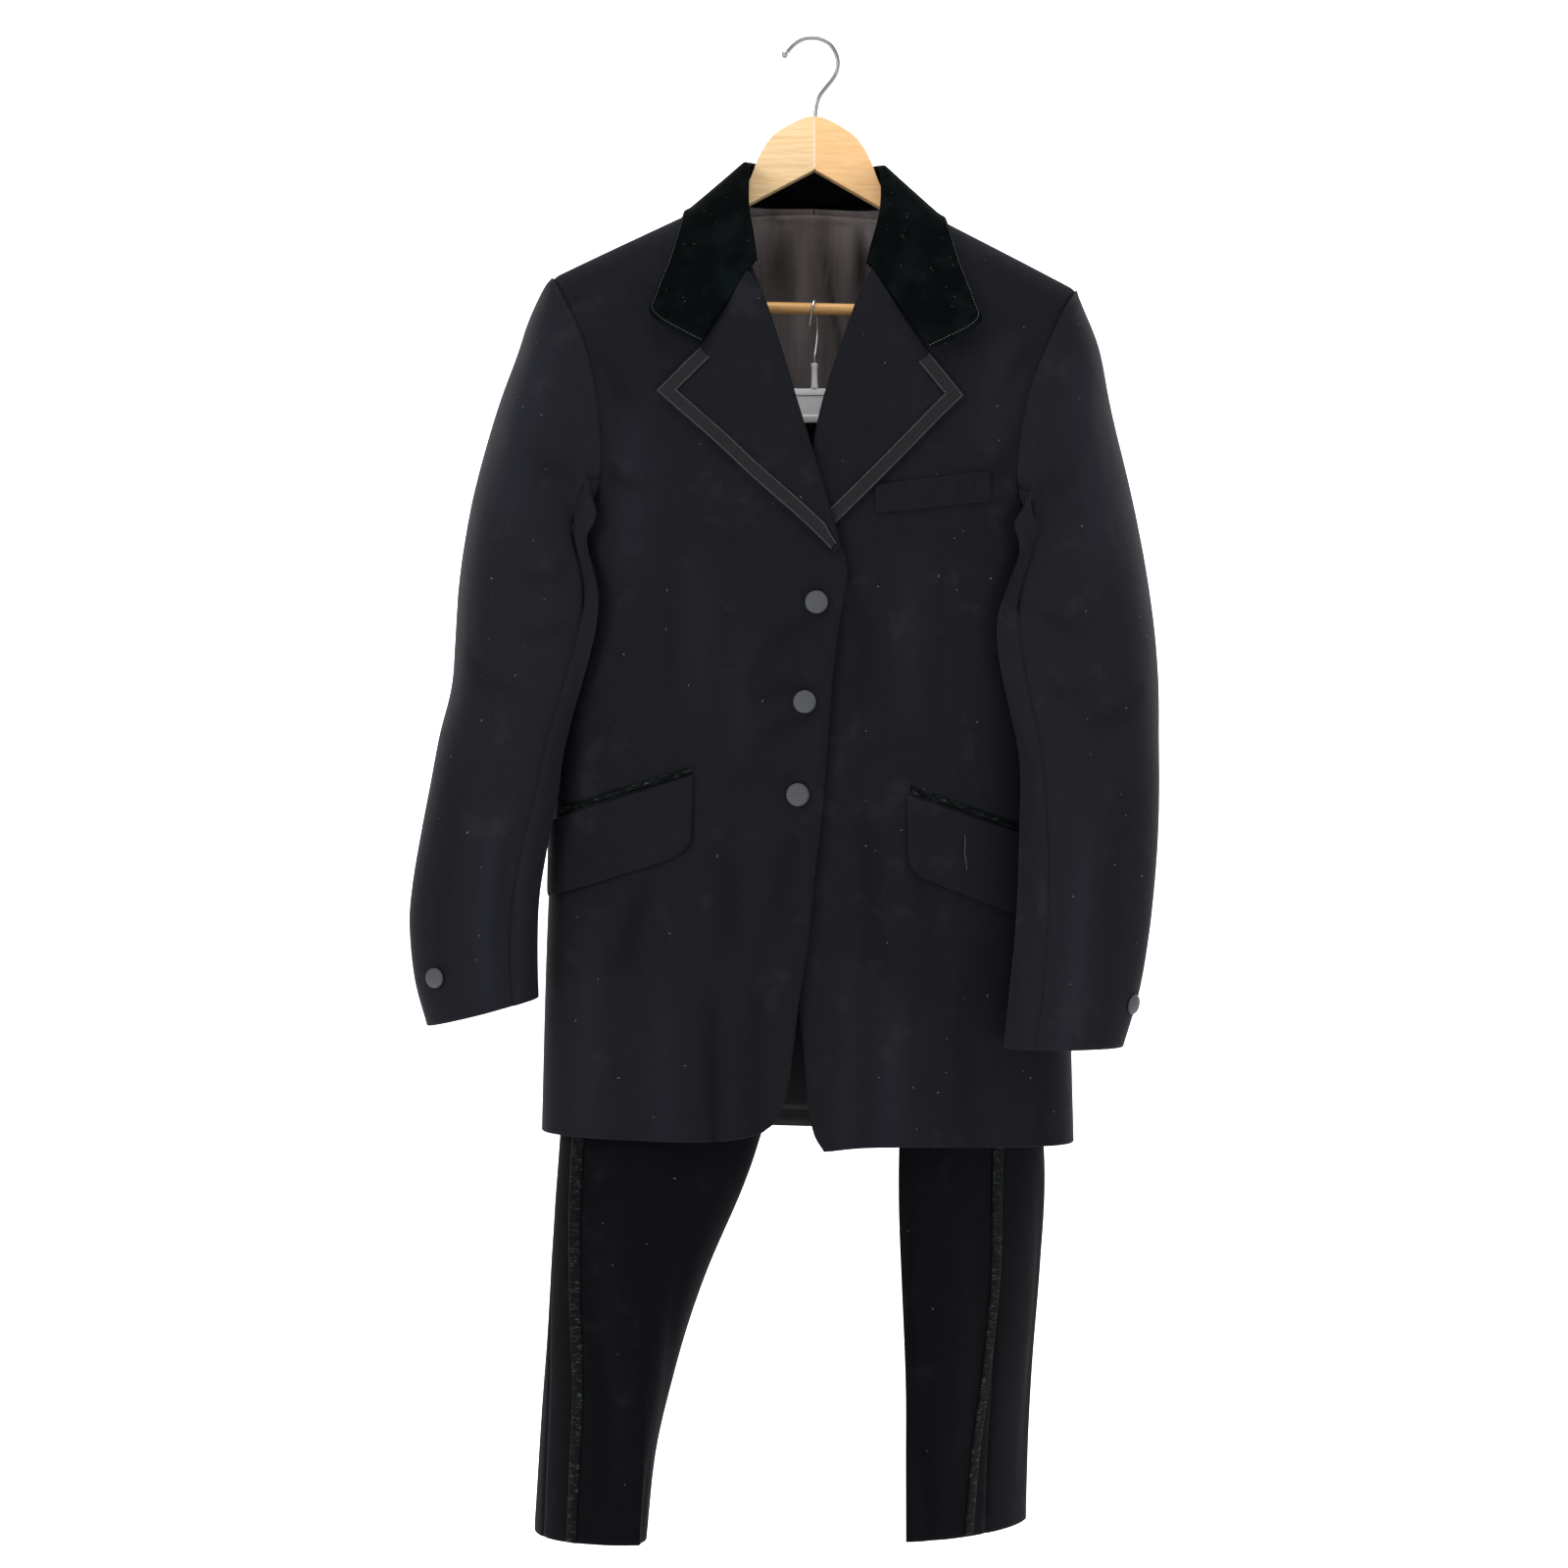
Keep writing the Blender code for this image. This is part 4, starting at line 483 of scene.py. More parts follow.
# On sleeves the paths are in degrees round the sleeve and 42 to a station
SLEEVE_CREASES = {
    RIGHT: [
        ([(38, 20), (46, 110), (52, 240)], (16, 20), 1.8),
        ([(112, 60), (92, 120), (70, 150)], (7, 10), -1.8),
        ([(118, 215), (96, 262), (66, 276)], (6, 9), -2.0),
        ([(118, 300), (98, 322), (74, 330)], (6, 9), -1.6),
        ([(24, 340), (50, 372), (86, 380)], (9, 11), -1.7),
        ([(40, 420), (58, 520), (60, 700)], (11, 15), -1.6),
        ([(92, 470), (100, 560), (104, 700)], (9, 11), 1.6),
        ([(-30, 200), (-22, 330), (-34, 460)], (14, 18), 1.5),
        ([(-70, 330), (-52, 372), (-60, 420)], (9, 12), -1.8),
        ([(0, 6), (10, 34), (6, 70)], (18, 20), -0.8),
    ],
    LEFT: [
        ([(40, 24), (52, 130), (48, 250)], (15, 20), 1.8),
        ([(112, 50), (94, 108), (72, 136)], (7, 10), -1.8),
        ([(116, 236), (94, 272), (68, 286)], (6, 9), -2.0),
        ([(116, 318), (96, 338), (70, 344)], (6, 9), -1.5),
        ([(22, 330), (52, 360), (90, 366)], (9, 11), -1.7),
        ([(52, 400), (66, 500), (62, 680)], (11, 15), -1.8),
        ([(88, 440), (96, 540), (92, 680)], (9, 11), 1.4),
        ([(-34, 210), (-24, 330), (-36, 450)], (14, 18), 1.5),
        ([(-68, 320), (-50, 366), (-58, 416)], (9, 12), -1.7),
    ],
}
# On the legs the paths are in 1.3 times the degrees round the leg and millimetres of height
LEG_CREASES = {
    RIGHT: [
        ([(60, -1010), (70, -1110), (64, -1220)], (9, 12), -1.6),
        ([(150, -1010), (160, -1120), (150, -1260)], (9, 13), 1.4),
        ([(180, -1100), (170, -1200), (182, -1340)], (8, 11), -1.4),
        ([(90, -1240), (96, -1290), (84, -1345)], (8, 10), -1.3),
        ([(300, -1000), (312, -1130), (300, -1290)], (12, 15), -1.8),
        ([(400, -1020), (392, -1150), (404, -1340)], (10, 14), 1.6),
    ],
    LEFT: [
        ([(150, -1010), (138, -1100), (146, -1230)], (6, 10), -2.2),
        ([(170, -1180), (160, -1240), (176, -1345)], (7, 9), -1.8),
        ([(200, -1020), (204, -1120), (196, -1280)], (9, 11), 1.4),
        ([(70, -1040), (64, -1160), (72, -1300)], (8, 11), -1.3),
        ([(300, -1010), (308, -1140), (298, -1300)], (11, 14), -1.8),
        ([(400, -1040), (390, -1160), (402, -1340)], (10, 13), 1.5),
    ],
}
WELT_CREASES = [
    ([(121, -386), (125, -404), (121, -424)], (2.0, 3.2), -1.1),
    ([(138, -384), (137, -404), (142, -420)], (2.0, 2.8), -0.9),
    ([(70, -398), (72, -410), (69, -428)], (4.0, 4.0), 0.6),
]

# Lint: piece, fibres to the square metre, length of the longest in millimetres
LINT = [
    ("front_right_cloth", 210, 3.2),
    ("front_left_cloth", 260, 3.2),
    ("top_sleeve_right_cloth", 330, 3.0),
    ("top_sleeve_left_cloth", 330, 3.0),
    ("collar_cloth", 1700, 1.1),
    ("lapel_right_cloth", 320, 2.6),
    ("lapel_left_cloth", 320, 2.6),
    ("trouser_front_right_cloth", 150, 3.0),
    ("trouser_front_left_cloth", 150, 3.0),
    ("back_right_cloth", 160, 3.0),
    ("back_left_cloth", 160, 3.0),
]

# Sizes of what only the looks have
SEAM_DIP, SEAM_REACH = 1.1 * MM, 2.6 * MM
CURL_STEPS, CURL_REACH = 9, 3.2 * MM
FLAP_CORNER, RIB_PITCH = 13.0 * MM, 1.15 * MM
LAPEL_CLOTH, FLAP_CLOTH, PIPING_CLOTH = 1.5 * MM, 1.8 * MM, 0.5 * MM
WELT_CLOTH, STRIPE_SATIN = 1.4 * MM, 0.8 * MM
LINING_ROOM, COLLAR_ROOM = 2.2 * MM, 1.8 * MM
GATHERS_Z, GATHERS_DEPTH, SIDE_BEND = -147 * MM, 0.35 * MM, 200 * MM
TUCK_IN, TUCK_FLAT, TUCK_DOWN = 4.2 * MM, 1.6 * MM, 1.4 * MM
# How far the middle of a rim stands out, as a share of its cloth
RIM = 0.4
# The small step that finds which way a surface runs
STEP = 0.6 * MM
STITCH_LIFT, LINT_LIFT, THREAD_LIFT, THREAD_WIDTH = 0.15 * MM, 0.12 * MM, 5.6 * MM, 0.24 * MM
# Stitches of the collar's edge and of the braid: pitch, length and thickness
COLLAR_STITCH, BRAID_STITCH = (2.6 * MM, 1.7 * MM, 0.42 * MM), (2.2 * MM, 1.6 * MM, 0.44 * MM)

# How far each sleeve laps over the front at the armpit: over which angles, from where to where
SLEEVE_LAP = {RIGHT: 26 * MM, LEFT: 36 * MM}
LAP_ANGLE, LAP_SPREAD, LAP_TOP, LAP_LOW = 150, 30, -378 * MM, -660 * MM
LAP_ROOM, LAP_DEPTH = 3.4 * MM, 10 * MM
# The lined stretch inside a sleeve, from a station to a share of its length
SLEEVE_LINING_FROM, SLEEVE_LINING_TO = 10.5, 0.95
# One station of a sleeve, in the measures of its creases
SLEEVE_CREASE_STEP = 42 * MM

# Grids of the shells
FRONT_COLUMNS, FRONT_STEPS = 96, 204
BACK_COLUMNS, BACK_STEPS = 60, 126
LINING_COLUMNS, LINING_STEPS = 111, 130
SLEEVE_STEPS, COLLAR_STEPS, LEG_STEPS = 170, 91, 180
LEG_FRONT_COLUMNS, LEG_BACK_COLUMNS = 52, 42
# The two parts of a sleeve: from which angle to which, and columns
SLEEVE_PARTS = {"top": (-112.0, 122.0, 84), "under": (122.4, 247.6, 46)}
LAPEL_COLUMNS, LAPEL_STEPS = 52, 120
FLAP_COLUMNS, FLAP_STEPS = 84, 52
# A direction that each grid's outside faces
FORWARDS, BACKWARDS, COLLAR_GUIDE = (0, -1, 0), (0, 1, 0), (0, 0.3, 1)

LOOSE_THREAD = [(127.6, -701), (127.9, -708), (127.4, -716), (128.6, -724), (129.2, -731)]
DEGREES = np.pi / 180
# The grid and facing of each shell, by its name
SKINS = {}


# The garment's surfaces, worked on whole grids of places at once

def smoothstep(t):
    t = np.clip(t, 0.0, 1.0)
    return t * t * (3 - 2 * t)


def shares(count):
    return np.linspace(0, 1, count)


def places(x, y, z):
    return np.stack(np.broadcast_arrays(x, y, z), axis=-1).astype(float)


def hung(points):
    """The garment hangs a little lower on the wearer's left."""
    points = np.array(points, float)
    points[..., 2] -= TILT * points[..., 0]
    return points


def creased(creases, a, b):
    """How far the creases move the cloth out at flat places a and b."""
    total = np.zeros(np.broadcast(a, b).shape)
    for path, (first, last), depth in creases:
        path = np.array(path, float) * MM
        steps = np.linalg.norm(np.diff(path, axis=0), axis=1)
        starts = np.concatenate([[0.0], np.cumsum(steps)])
        nearest, share = np.full(total.shape, np.inf), np.zeros(total.shape)
        for k in range(len(steps)):
            (ax, az), (dx, dz) = path[k], path[k + 1] - path[k]
            t = np.clip(((a - ax) * dx + (b - az) * dz) / steps[k] ** 2, 0.0, 1.0)
            off = np.hypot(a - ax - t * dx, b - az - t * dz)
            share = np.where(off < nearest, (starts[k] + t * steps[k]) / starts[-1], share)
            nearest = np.minimum(off, nearest)
        width = (first + (last - first) * share) * MM
        swell = np.sin(np.pi * share) ** 0.6
        total += depth * MM * swell * np.exp(-(nearest / width) ** 2)
    return total


def top_height(x):
    """The shoulder seam and, near the middle, the neckline of the back."""
    reach = np.abs(x)
    seam = SHOULDER_Z - SHOULDER_SLOPE * (NECK_HALF - SHOULDER_X)
    neck = seam + 1.8 * MM * (1 - (reach / NECK_HALF) ** 2)
    return np.where(reach >= NECK_HALF, SHOULDER_Z - SHOULDER_SLOPE * (reach - SHOULDER_X), neck)


def ridge_y(x):
    """How far back the top edge lies round the neck."""
    return NECK_BACK_Y * np.sqrt(np.maximum(0.0, 1 - (x / NECK_HALF) ** 2))


def fold_depth(folds, x, z):
    """How far the large soft folds move the cloth out."""
    total = 0.0
    for fold in folds:
        top, low = fold["top"] * MM, fold["low"] * MM
        middle = fold["x"] * MM + fold["lean"] * (z - top)
        along = np.clip((top - z) / (top - low), 0.0, 1.0)
        across = (x - middle) / (fold["width"] * MM)
        total = total + fold["depth"] * MM * np.sin(np.pi * along) ** 0.7 * np.exp(-across * across)
    return total


def jacket_skin(side, back, x, z):
    """The outer surface of the jacket at places on its front or back."""
    centre = TORSO.at("centre", z)
    reach = np.minimum(np.abs(x - centre) / TORSO.at("half_width", z), 1.0)
    full = TORSO.at("back" if back else "front", z) * (1 - reach ** SECTION_POWER) ** (1 / SECTION_POWER)
    top = top_height(x) if back else SHOULDER_Z - SHOULDER_SLOPE * (np.abs(x) - SHOULDER_X)
    drop = np.clip((top - z) / RIDGE_ROUNDING, 0.0, 1.0)
    rounding = np.sqrt(1 - (1 - drop) ** 2)
    edge = np.minimum(full / (25 * MM), 1.0)
    if back:
        ridge = ridge_y(x)
        soft = fold_depth(BACK_FOLDS, x, z) + creased(BACK_CREASES, x, z) * smoothstep(drop)
        return places(x, ridge + (np.maximum(full, ridge) - ridge) * rounding + SEAM / 2 + edge * soft, z)
    soft = fold_depth(FRONT_FOLDS, x, z) + creased(FRONT_CREASES[side], x, z) * smoothstep(drop)
    y = -full * rounding - SEAM / 2 - edge * soft
    if side == RIGHT:
        y = y - OVERLAP_LIFT * smoothstep((x - OVERLAP_FROM) / (OVERLAP_TO - OVERLAP_FROM))
    return places(x, y, z)


def unit(vectors):
    return vectors / np.maximum(np.linalg.norm(vectors, axis=-1, keepdims=True), 1e-12)


def on_jacket(side, x, z, lift, back=False):
    """Places on the front or back, moved out from its cloth and hung with it."""
    centre = TORSO.at("centre", z)
    inwards = np.where(x > centre, -STEP, STEP)
    point = jacket_skin(side, back, x, z)
    along = jacket_skin(side, back, x + inwards, z) - point
    normal = unit(np.cross(along, jacket_skin(side, back, x, z - STEP) - point))
    guide = places(0.3 * (x - centre), 0.05 if back else -0.05, 0.002)
    facing = np.where((normal * guide).sum(-1, keepdims=True) < 0, -1.0, 1.0)
    return hung(point + normal * facing * np.asarray(lift)[..., None])


def armhole_x(side, back, z):
    name = "back" if back else ("right_front" if side == RIGHT else "left_front")
    limit = TORSO.at("half_width", z) + side * TORSO.at("centre", z)
    return side * np.minimum(ARMHOLE.at(name, z), limit)


def panel_place(side, back, table, u, v):
    """Where a panel's rows and columns meet: x and z."""
    row = v * table.keys[-1]
    edge_x, edge_z = table.at("edge_x", row), table.at("edge_z", row)
    side_z, wrap = table.at("side_z", row), np.clip(table.at("wrap", row), 0.0, 1.0)
    limit = TORSO.at("centre", side_z) + side * TORSO.at("half_width", side_z)
    side_x = np.where(side_z > ARMPIT_Z, armhole_x(side, back, side_z), limit)
    share = np.minimum((1 - wrap) * u + wrap * np.sin(np.pi / 2 * u) ** 0.85, 1.0)
    x = edge_x + (side_x - edge_x) * share
    z = side_z + (edge_z - side_z) * (1 - share) ** table.at("bend", row)
    if back:
        straight = edge_z + (side_z - edge_z) * share
        first = table.at("edge_z", 0) * (1 - share) + SHOULDER_POINT_Z * share
        z = straight + (top_height(x) - first) * np.maximum(0.0, 1 - row / 4.0)
        x = x + side * SEAM / 2 * (1 - share)
    return x, z


def armhole_point(side, angle):
    """The armhole seam, from the shoulder point over the front to the armpit and back."""
    z = SHOULDER_POINT_Z + (ARMPIT_Z - SHOULDER_POINT_Z) * (1 - np.cos(angle)) / 2
    x = np.where(np.sin(angle) < 0, armhole_x(side, True, z), armhole_x(side, False, z))
    front, back = jacket_skin(side, False, x, z), jacket_skin(side, True, x, z)
    point = np.where((np.sin(angle) < 0)[..., None], back, front)
    low = smoothstep((z - ARMPIT_Z - 45 * MM) / (-35 * MM))
    room = ARMHOLE_ROOM + ARMPIT_ROOM * low
    return places(side * point[..., 0] + room, point[..., 1], z)


def sleeve_ring(side, angle, station):
    """A free sleeve's ring at a station, outwards from the middle: 0 is its outer edge."""
    table = SLEEVES[side]
    outer = places(table.at("outer", station), 0, table.at("outer_z", station))
    inner = places(table.at("inner", station), 0, table.at("inner_z", station))
    turn, depth = table.at("turn", station) * DEGREES, table.at("depth", station)
    for fold in SLEEVE_FOLDS[side]:
        along = np.clip((station - fold["start"]) / (fold["stop"] - fold["start"]), 0.0, 1.0)
        off = (angle / DEGREES % 360 - fold["angle"]) / fold["spread"]
        dent = fold["depth"] * MM * np.sin(np.pi * along) ** 0.8 * np.exp(-off * off)
        depth = depth - dent * np.abs(np.sin(angle))
        outer = outer - (outer - inner) * (0.4 * dent / 0.11 * np.abs(np.cos(angle)))[..., None]
    point = (outer + inner) / 2 + (outer - inner) / 2 * np.cos(angle)[..., None]
    point[..., 0] -= depth * np.sin(turn) * np.sin(angle)
    point[..., 1] = table.at("middle", station) - depth * np.cos(turn) * np.sin(angle)
    return point


def sleeve_skin(side, angle, station):
    """A sleeve's outer surface, kept clear of the jacket's sides and lapped over the front."""
    angle, station = np.broadcast_arrays(np.asarray(angle, float), np.asarray(station, float))
    table = SLEEVES[side]
    fitted = np.minimum(table.at("fitted", station), 1.0)[..., None]
    first = armhole_point(side, angle) - sleeve_ring(side, angle, np.zeros(station.shape))
    point = sleeve_ring(side, angle, station) + (1 - fitted) * first
    x, y, z = point[..., 0], point[..., 1], point[..., 2]
    eased = smoothstep(station / 0.4)
    centre = side * TORSO.at("centre", z)
    room = SLEEVE_CLEARANCE * eased
    across = np.abs(x - centre) / (TORSO.at("half_width", z) + room)
    depth = np.where(y < 0, TORSO.at("front", z), TORSO.at("back", z))
    inside = across ** SECTION_POWER + (np.abs(y) / (depth + room)) ** SECTION_POWER
    inside = np.maximum(inside ** (1 / SECTION_POWER), 0.3)
    grow = (1 + inside ** -SLEEVE_EASING) ** (1 / SLEEVE_EASING)
    pushed = (station > 0) & (inside < 1.3) & (z < SHOULDER_POINT_Z)
    head = smoothstep((SHOULDER_POINT_Z - z) / HEAD_EASING)
    grow = np.where(pushed, 1 + (grow - 1) * eased * head, 1.0)
    x, y = side * (centre + (x - centre) * grow), y * grow
    lap = SLEEVE_LAP[side] * np.exp(-((angle / DEGREES % 360 - LAP_ANGLE) / LAP_SPREAD) ** 2)
    lap = lap * smoothstep(station / 0.9) * smoothstep((LAP_TOP - z) / (60 * MM))
    lap = lap * smoothstep((z - LAP_LOW) / (200 * MM))
    x = x - side * lap
    deeper = smoothstep((178 - angle / DEGREES % 360) / 40)
    before = np.minimum(y, jacket_skin(side, False, x, z)[..., 1] - (LAP_ROOM + LAP_DEPTH * deeper))
    return hung(places(x, y + (before - y) * smoothstep(lap / (3 * MM)), z))


def leg_skin(side, angle, z):
    """Round a leg: 0 is the inseam, 90 the front crease, 180 the outside, 270 the back crease."""
    table = LEGS[side]
    turn = table.at("turn", z) * DEGREES
    sine, cosine = np.sin(angle), np.cos(angle)
    width = np.where(cosine > 0, table.at("inner", z), table.at("outer", z))
    open_top = np.where(cosine > 0, smoothstep((z - CROTCH_Z) / (20 * MM)), 0.0)
    boxy = 0.45 + 0.55 * smoothstep((BOXY_FROM - z) / (160 * MM))
    depth = np.sign(sine) * (np.abs(sine) ** boxy * (1 - open_top) + open_top)
    across = -np.sign(cosine) * np.abs(cosine) ** table.at("fold", z) * width
    forwards = depth * table.at("crease", z)
    x = table.at("across", z) + side * (across * np.cos(turn) - forwards * np.sin(turn))
    return places(x, table.at("along", z) - across * np.sin(turn) - forwards * np.cos(turn), z)


def leg_height(v, angle):
    top = WAIST_BOTTOM - 0.4 * MM
    return top + (TROUSER_HEM - HEM_DROP * (1 - np.sin(angle)) / 2 - top) * v


# Building cloth as thin shells

def spaced(rows, count, follow=0.35):
    """Row places from 0 to 1, partly closer together where the list of rows is."""
    even = np.linspace(0, 1, count + 1)
    listed = np.interp(even * (len(rows) - 1), np.arange(len(rows)), np.array(rows, float) / rows[-1])
    return (1 - follow) * even + follow * listed


def normals_of(grid, guide):
    """Outward directions on a grid, and whether its own order runs that way."""
    along, down = np.gradient(grid, axis=1), np.gradient(grid, axis=0)
    normals = unit(np.cross(along, down))
    middle = normals[len(grid) // 2, grid.shape[1] // 2]
    facing = 1.0 if middle @ np.array(guide, float) > 0 else -1.0
    return normals * facing, facing


def lengths_along(grid, axis):
    steps = np.linalg.norm(np.diff(grid, axis=axis), axis=2)
    start = np.zeros_like(np.take(steps, [0], axis=axis))
    return np.concatenate([start, np.cumsum(steps, axis=axis)], axis=axis)


def seamed(grid, guide, seams, depth=SEAM_DIP, reach=SEAM_REACH):
    """Draws the cloth in along its sewn borders: first or last row, first or last column."""
    normals, _ = normals_of(grid, guide)
    across, down = lengths_along(grid, 1), lengths_along(grid, 0)
    far = {"first_row": down, "last_row": down[-1:] - down,
           "first_column": across, "last_column": across[:, -1:] - across}
    pull = sum(np.exp(-(far[seam] / reach) ** 2) for seam in seams)
    return grid - normals * (depth * pull)[..., None]


def moved_out(grid, guide, amount):
    normals, _ = normals_of(grid, guide)
    return grid + normals * np.asarray(amount)[..., None]


def inner_side(outer, normals, thick):
    """The inner grid, thinner in tight folds so that the wall never turns over."""
    depth = np.full(outer.shape[:2], thick)
    for _ in range(THINNING_ROUNDS):
        inner = outer - normals * depth[:, :, None]
        tight = np.zeros(depth.shape, bool)
        for axis in (0, 1):
            step, inner_step = (np.roll(g, -1, axis=axis) - g for g in (outer, inner))
            turned = (step * inner_step).sum(axis=2) < 0.2 * (step * step).sum(axis=2)
            turned[(-1, slice(None)) if axis == 0 else (slice(None), -1)] = False
            tight |= turned | np.roll(turned, 1, axis=axis)
        depth = np.where(tight, np.maximum(depth * 0.8, 0.25 * thick), depth)
    return outer - normals * depth[:, :, None]


def cloth(name, grid, thick, guide, outside, inside=None, relief=None, lined=1):
    """A shell of cloth under a grid of points, with soft rounded rims and a lay in metres as UV.

    The relief of its creases, in millimetres, is kept beside the lay. Where lined is 0 the inside
    is faced with the outer cloth."""
    SKINS[name] = (grid, guide)
    rows, columns = grid.shape[:2]
    normals, facing = normals_of(grid, guide)
    inner = inner_side(grid, normals, thick)
    across, down = lengths_along(grid, 1), lengths_along(grid, 0)
    lay = np.stack([across - across[:, -1:] / 2, down.mean(axis=1, keepdims=True) + 0 * across], axis=-1)
    index = np.arange(rows * columns).reshape(rows, columns)
    loop = np.concatenate([index[0], index[1:, -1], index[-1, -2::-1], index[-2:0:-1, 0]])
    flat, flat_inner = grid.reshape(-1, 3), inner.reshape(-1, 3)
    away = np.zeros_like(grid)
    away[0] += grid[0] - grid[1]
    away[-1] += grid[-1] - grid[-2]
    away[:, 0] += unit(grid[:, 0] - grid[:, 1]) * np.linalg.norm(grid[0, 0] - grid[1, 0])
    away[:, -1] += unit(grid[:, -1] - grid[:, -2]) * np.linalg.norm(grid[0, 0] - grid[1, 0])
    away = unit(away.reshape(-1, 3)[loop])
    middle = (flat[loop] + flat_inner[loop]) / 2 + away * RIM * thick
    points = np.concatenate([flat, flat_inner, middle])
    a, b, c, d = index[:-1, :-1], index[:-1, 1:], index[1:, 1:], index[1:, :-1]
    top = np.stack([a, b, c, d], axis=-1).reshape(-1, 4)
    count = rows * columns
    mids = 2 * count + np.arange(len(loop))
    after, mid_after = np.roll(loop, -1), np.roll(mids, -1)
    upper = np.stack([after, loop, mids, mid_after], axis=-1)
    lower = np.stack([mid_after, mids, count + loop, count + after], axis=-1)
    faces = np.concatenate([top, top[:, ::-1] + count, upper, lower])
    if facing < 0:
        faces = faces[:, ::-1]
    spots = np.concatenate([lay.reshape(-1, 2)] * 2 + [lay.reshape(-1, 2)[loop]])
    slots = np.zeros(len(faces), int)
    if inside:
        slots[len(top):2 * len(top)] = np.broadcast_to(lined, a.shape).ravel()
    piece = build(name, points, faces, [outside] + ([inside] if inside else []), spots, slots)
    # The relief also drives painted shade in the troughs and painted highlight on the ridges, in the wool and
    # lining finishes.
    if relief is not None:
        heights = relief.ravel() / MM
        layer = piece.data.attributes.new("relief", "FLOAT", "POINT")
        layer.data.foreach_set("value", np.concatenate([heights, heights, heights[loop]]).astype(np.float32))
    return piece


def placed(name, data):
    item = bpy.data.objects.new(name, data)
    bpy.context.scene.collection.objects.link(item)
    return item


def build(name, points, faces, finishes, lay=None, slots=None, sharp=60):
    mesh = bpy.data.meshes.new(name)
    mesh.from_pydata(np.asarray(points).tolist(), [], [list(map(int, f)) for f in faces])
    for finish in finishes:
        mesh.materials.append(finish)
    if slots is not None:
        mesh.polygons.foreach_set("material_index", np.asarray(slots, dtype=np.int32))
    if lay is not None:
        corner = np.empty(len(mesh.loops), dtype=np.int64)
        mesh.loops.foreach_get("vertex_index", corner)
        layer = mesh.uv_layers.new(name="cloth")
        layer.data.foreach_set("uv", np.asarray(lay)[corner].astype(np.float32).ravel())
    mesh.update()
    mesh.shade_smooth()
    mesh.set_sharp_from_angle(angle=math.radians(sharp))
    return placed(name, mesh)


# Shader maths and node building

class Value:
    """A shader socket that takes part in plain arithmetic."""

    def __init__(self, shades, socket):
        self.shades, self.socket = shades, socket

    def __add__(self, other):
        return self.shades.maths("ADD", self, other)

    def __sub__(self, other):
        return self.shades.maths("SUBTRACT", self, other)

    def __rsub__(self, other):
        return self.shades.maths("SUBTRACT", other, self)

    def __mul__(self, other):
        return self.shades.maths("MULTIPLY", self, other)

    __radd__, __rmul__ = __add__, __mul__

    def sine(self):
        return self.shades.maths("SINE", self)

    def held(self):
        """Kept between 0 and 1."""
        return self.shades.maths("MINIMUM", self.shades.maths("MAXIMUM", self, 0.0), 1.0)


class Shades:
    """One material: a Principled shader and what feeds it."""

    def __init__(self, name, **constants):
        self.material = bpy.data.materials.new(name)
        self.material.use_nodes = True
        self.tree = self.material.node_tree
        self.shader = self.tree.nodes["Principled BSDF"]
        for key, value in constants.items():
            self.shader.inputs[key.replace("_", " ")].default_value = value

    def node(self, kind, settings=None, sockets=None):
        made = self.tree.nodes.new(kind)
        for key, setting in (settings or {}).items():
            setattr(made, key, setting)
        for key, source in (sockets or {}).items():
            self.feed(made.inputs[key], source)
        return made

    def feed(self, socket, source):
        if isinstance(source, Value):
            self.tree.links.new(source.socket, socket)
        elif isinstance(source, bpy.types.NodeSocket):
            self.tree.links.new(source, socket)
        else:
            socket.default_value = source

    def maths(self, operation, *parts):
        made = self.node("ShaderNodeMath", {"operation": operation}, dict(enumerate(parts)))
        return Value(self, made.outputs[0])

    def place(self):
        return self.node("ShaderNodeTexCoord").outputs["Object"]

    def relief(self):
        """How far creases stand out of the cloth, in millimetres."""
        return Value(self, self.node("ShaderNodeAttribute", {"attribute_name": "relief"}).outputs["Fac"])

    def lay(self):
        return self.node("ShaderNodeUVMap", {"uv_map": "cloth"}).outputs[0]

    def stretched(self, place, scale, turn=(0, 0, 0)):
        sockets = {"Vector": place, "Scale": scale, "Rotation": turn}
        return self.node("ShaderNodeMapping", {}, sockets).outputs[0]

    def parts(self, place):
        split = self.node("ShaderNodeSeparateXYZ", {}, {0: place})
        return [Value(self, output) for output in split.outputs]

    def noise(self, place, scale, detail, rough=0.5):
        sockets = {"Vector": place, "Scale": scale, "Detail": detail, "Roughness": rough}
        return Value(self, self.node("ShaderNodeTexNoise", {}, sockets).outputs[0])

    def ribs(self, along, pitch):
        """A soft wave between 0 and 1, with one crest to the pitch."""
        return (along * (2 * math.pi / pitch)).sine() * 0.5 + 0.5

    def mix(self, share, first, second):
        made = self.node("ShaderNodeMix", {"data_type": "RGBA"}, {0: share})
        self.feed(made.inputs[6], first)
        self.feed(made.inputs[7], second)
        return made.outputs[2]

    def spread(self, value, low, high):
        settings = {"interpolation_type": "SMOOTHSTEP"}
        made = self.node("ShaderNodeMapRange", settings, {0: value, 1: low, 2: high})
        return Value(self, made.outputs[0])

    def bump(self, height, distance, strength):
        sockets = {"Height": height, "Distance": distance, "Strength": strength}
        return self.node("ShaderNodeBump", {}, sockets).outputs[0]

    def finish(self, **links):
        for key, source in links.items():
            self.feed(self.shader.inputs[key.replace("_", " ")], source)
        return self.material


def colour(red, green, blue):
    return (red, green, blue, 1.0)


# Threads and ribs of the weaves, crest to crest in metres
TWILL_PITCH, THREAD_PITCH, LINING_PITCH = 0.0011, 0.0008, 0.0007
SATIN_PITCH, BRAID_PITCH, PICK_PITCH = 0.0009, 0.0014, 0.0011


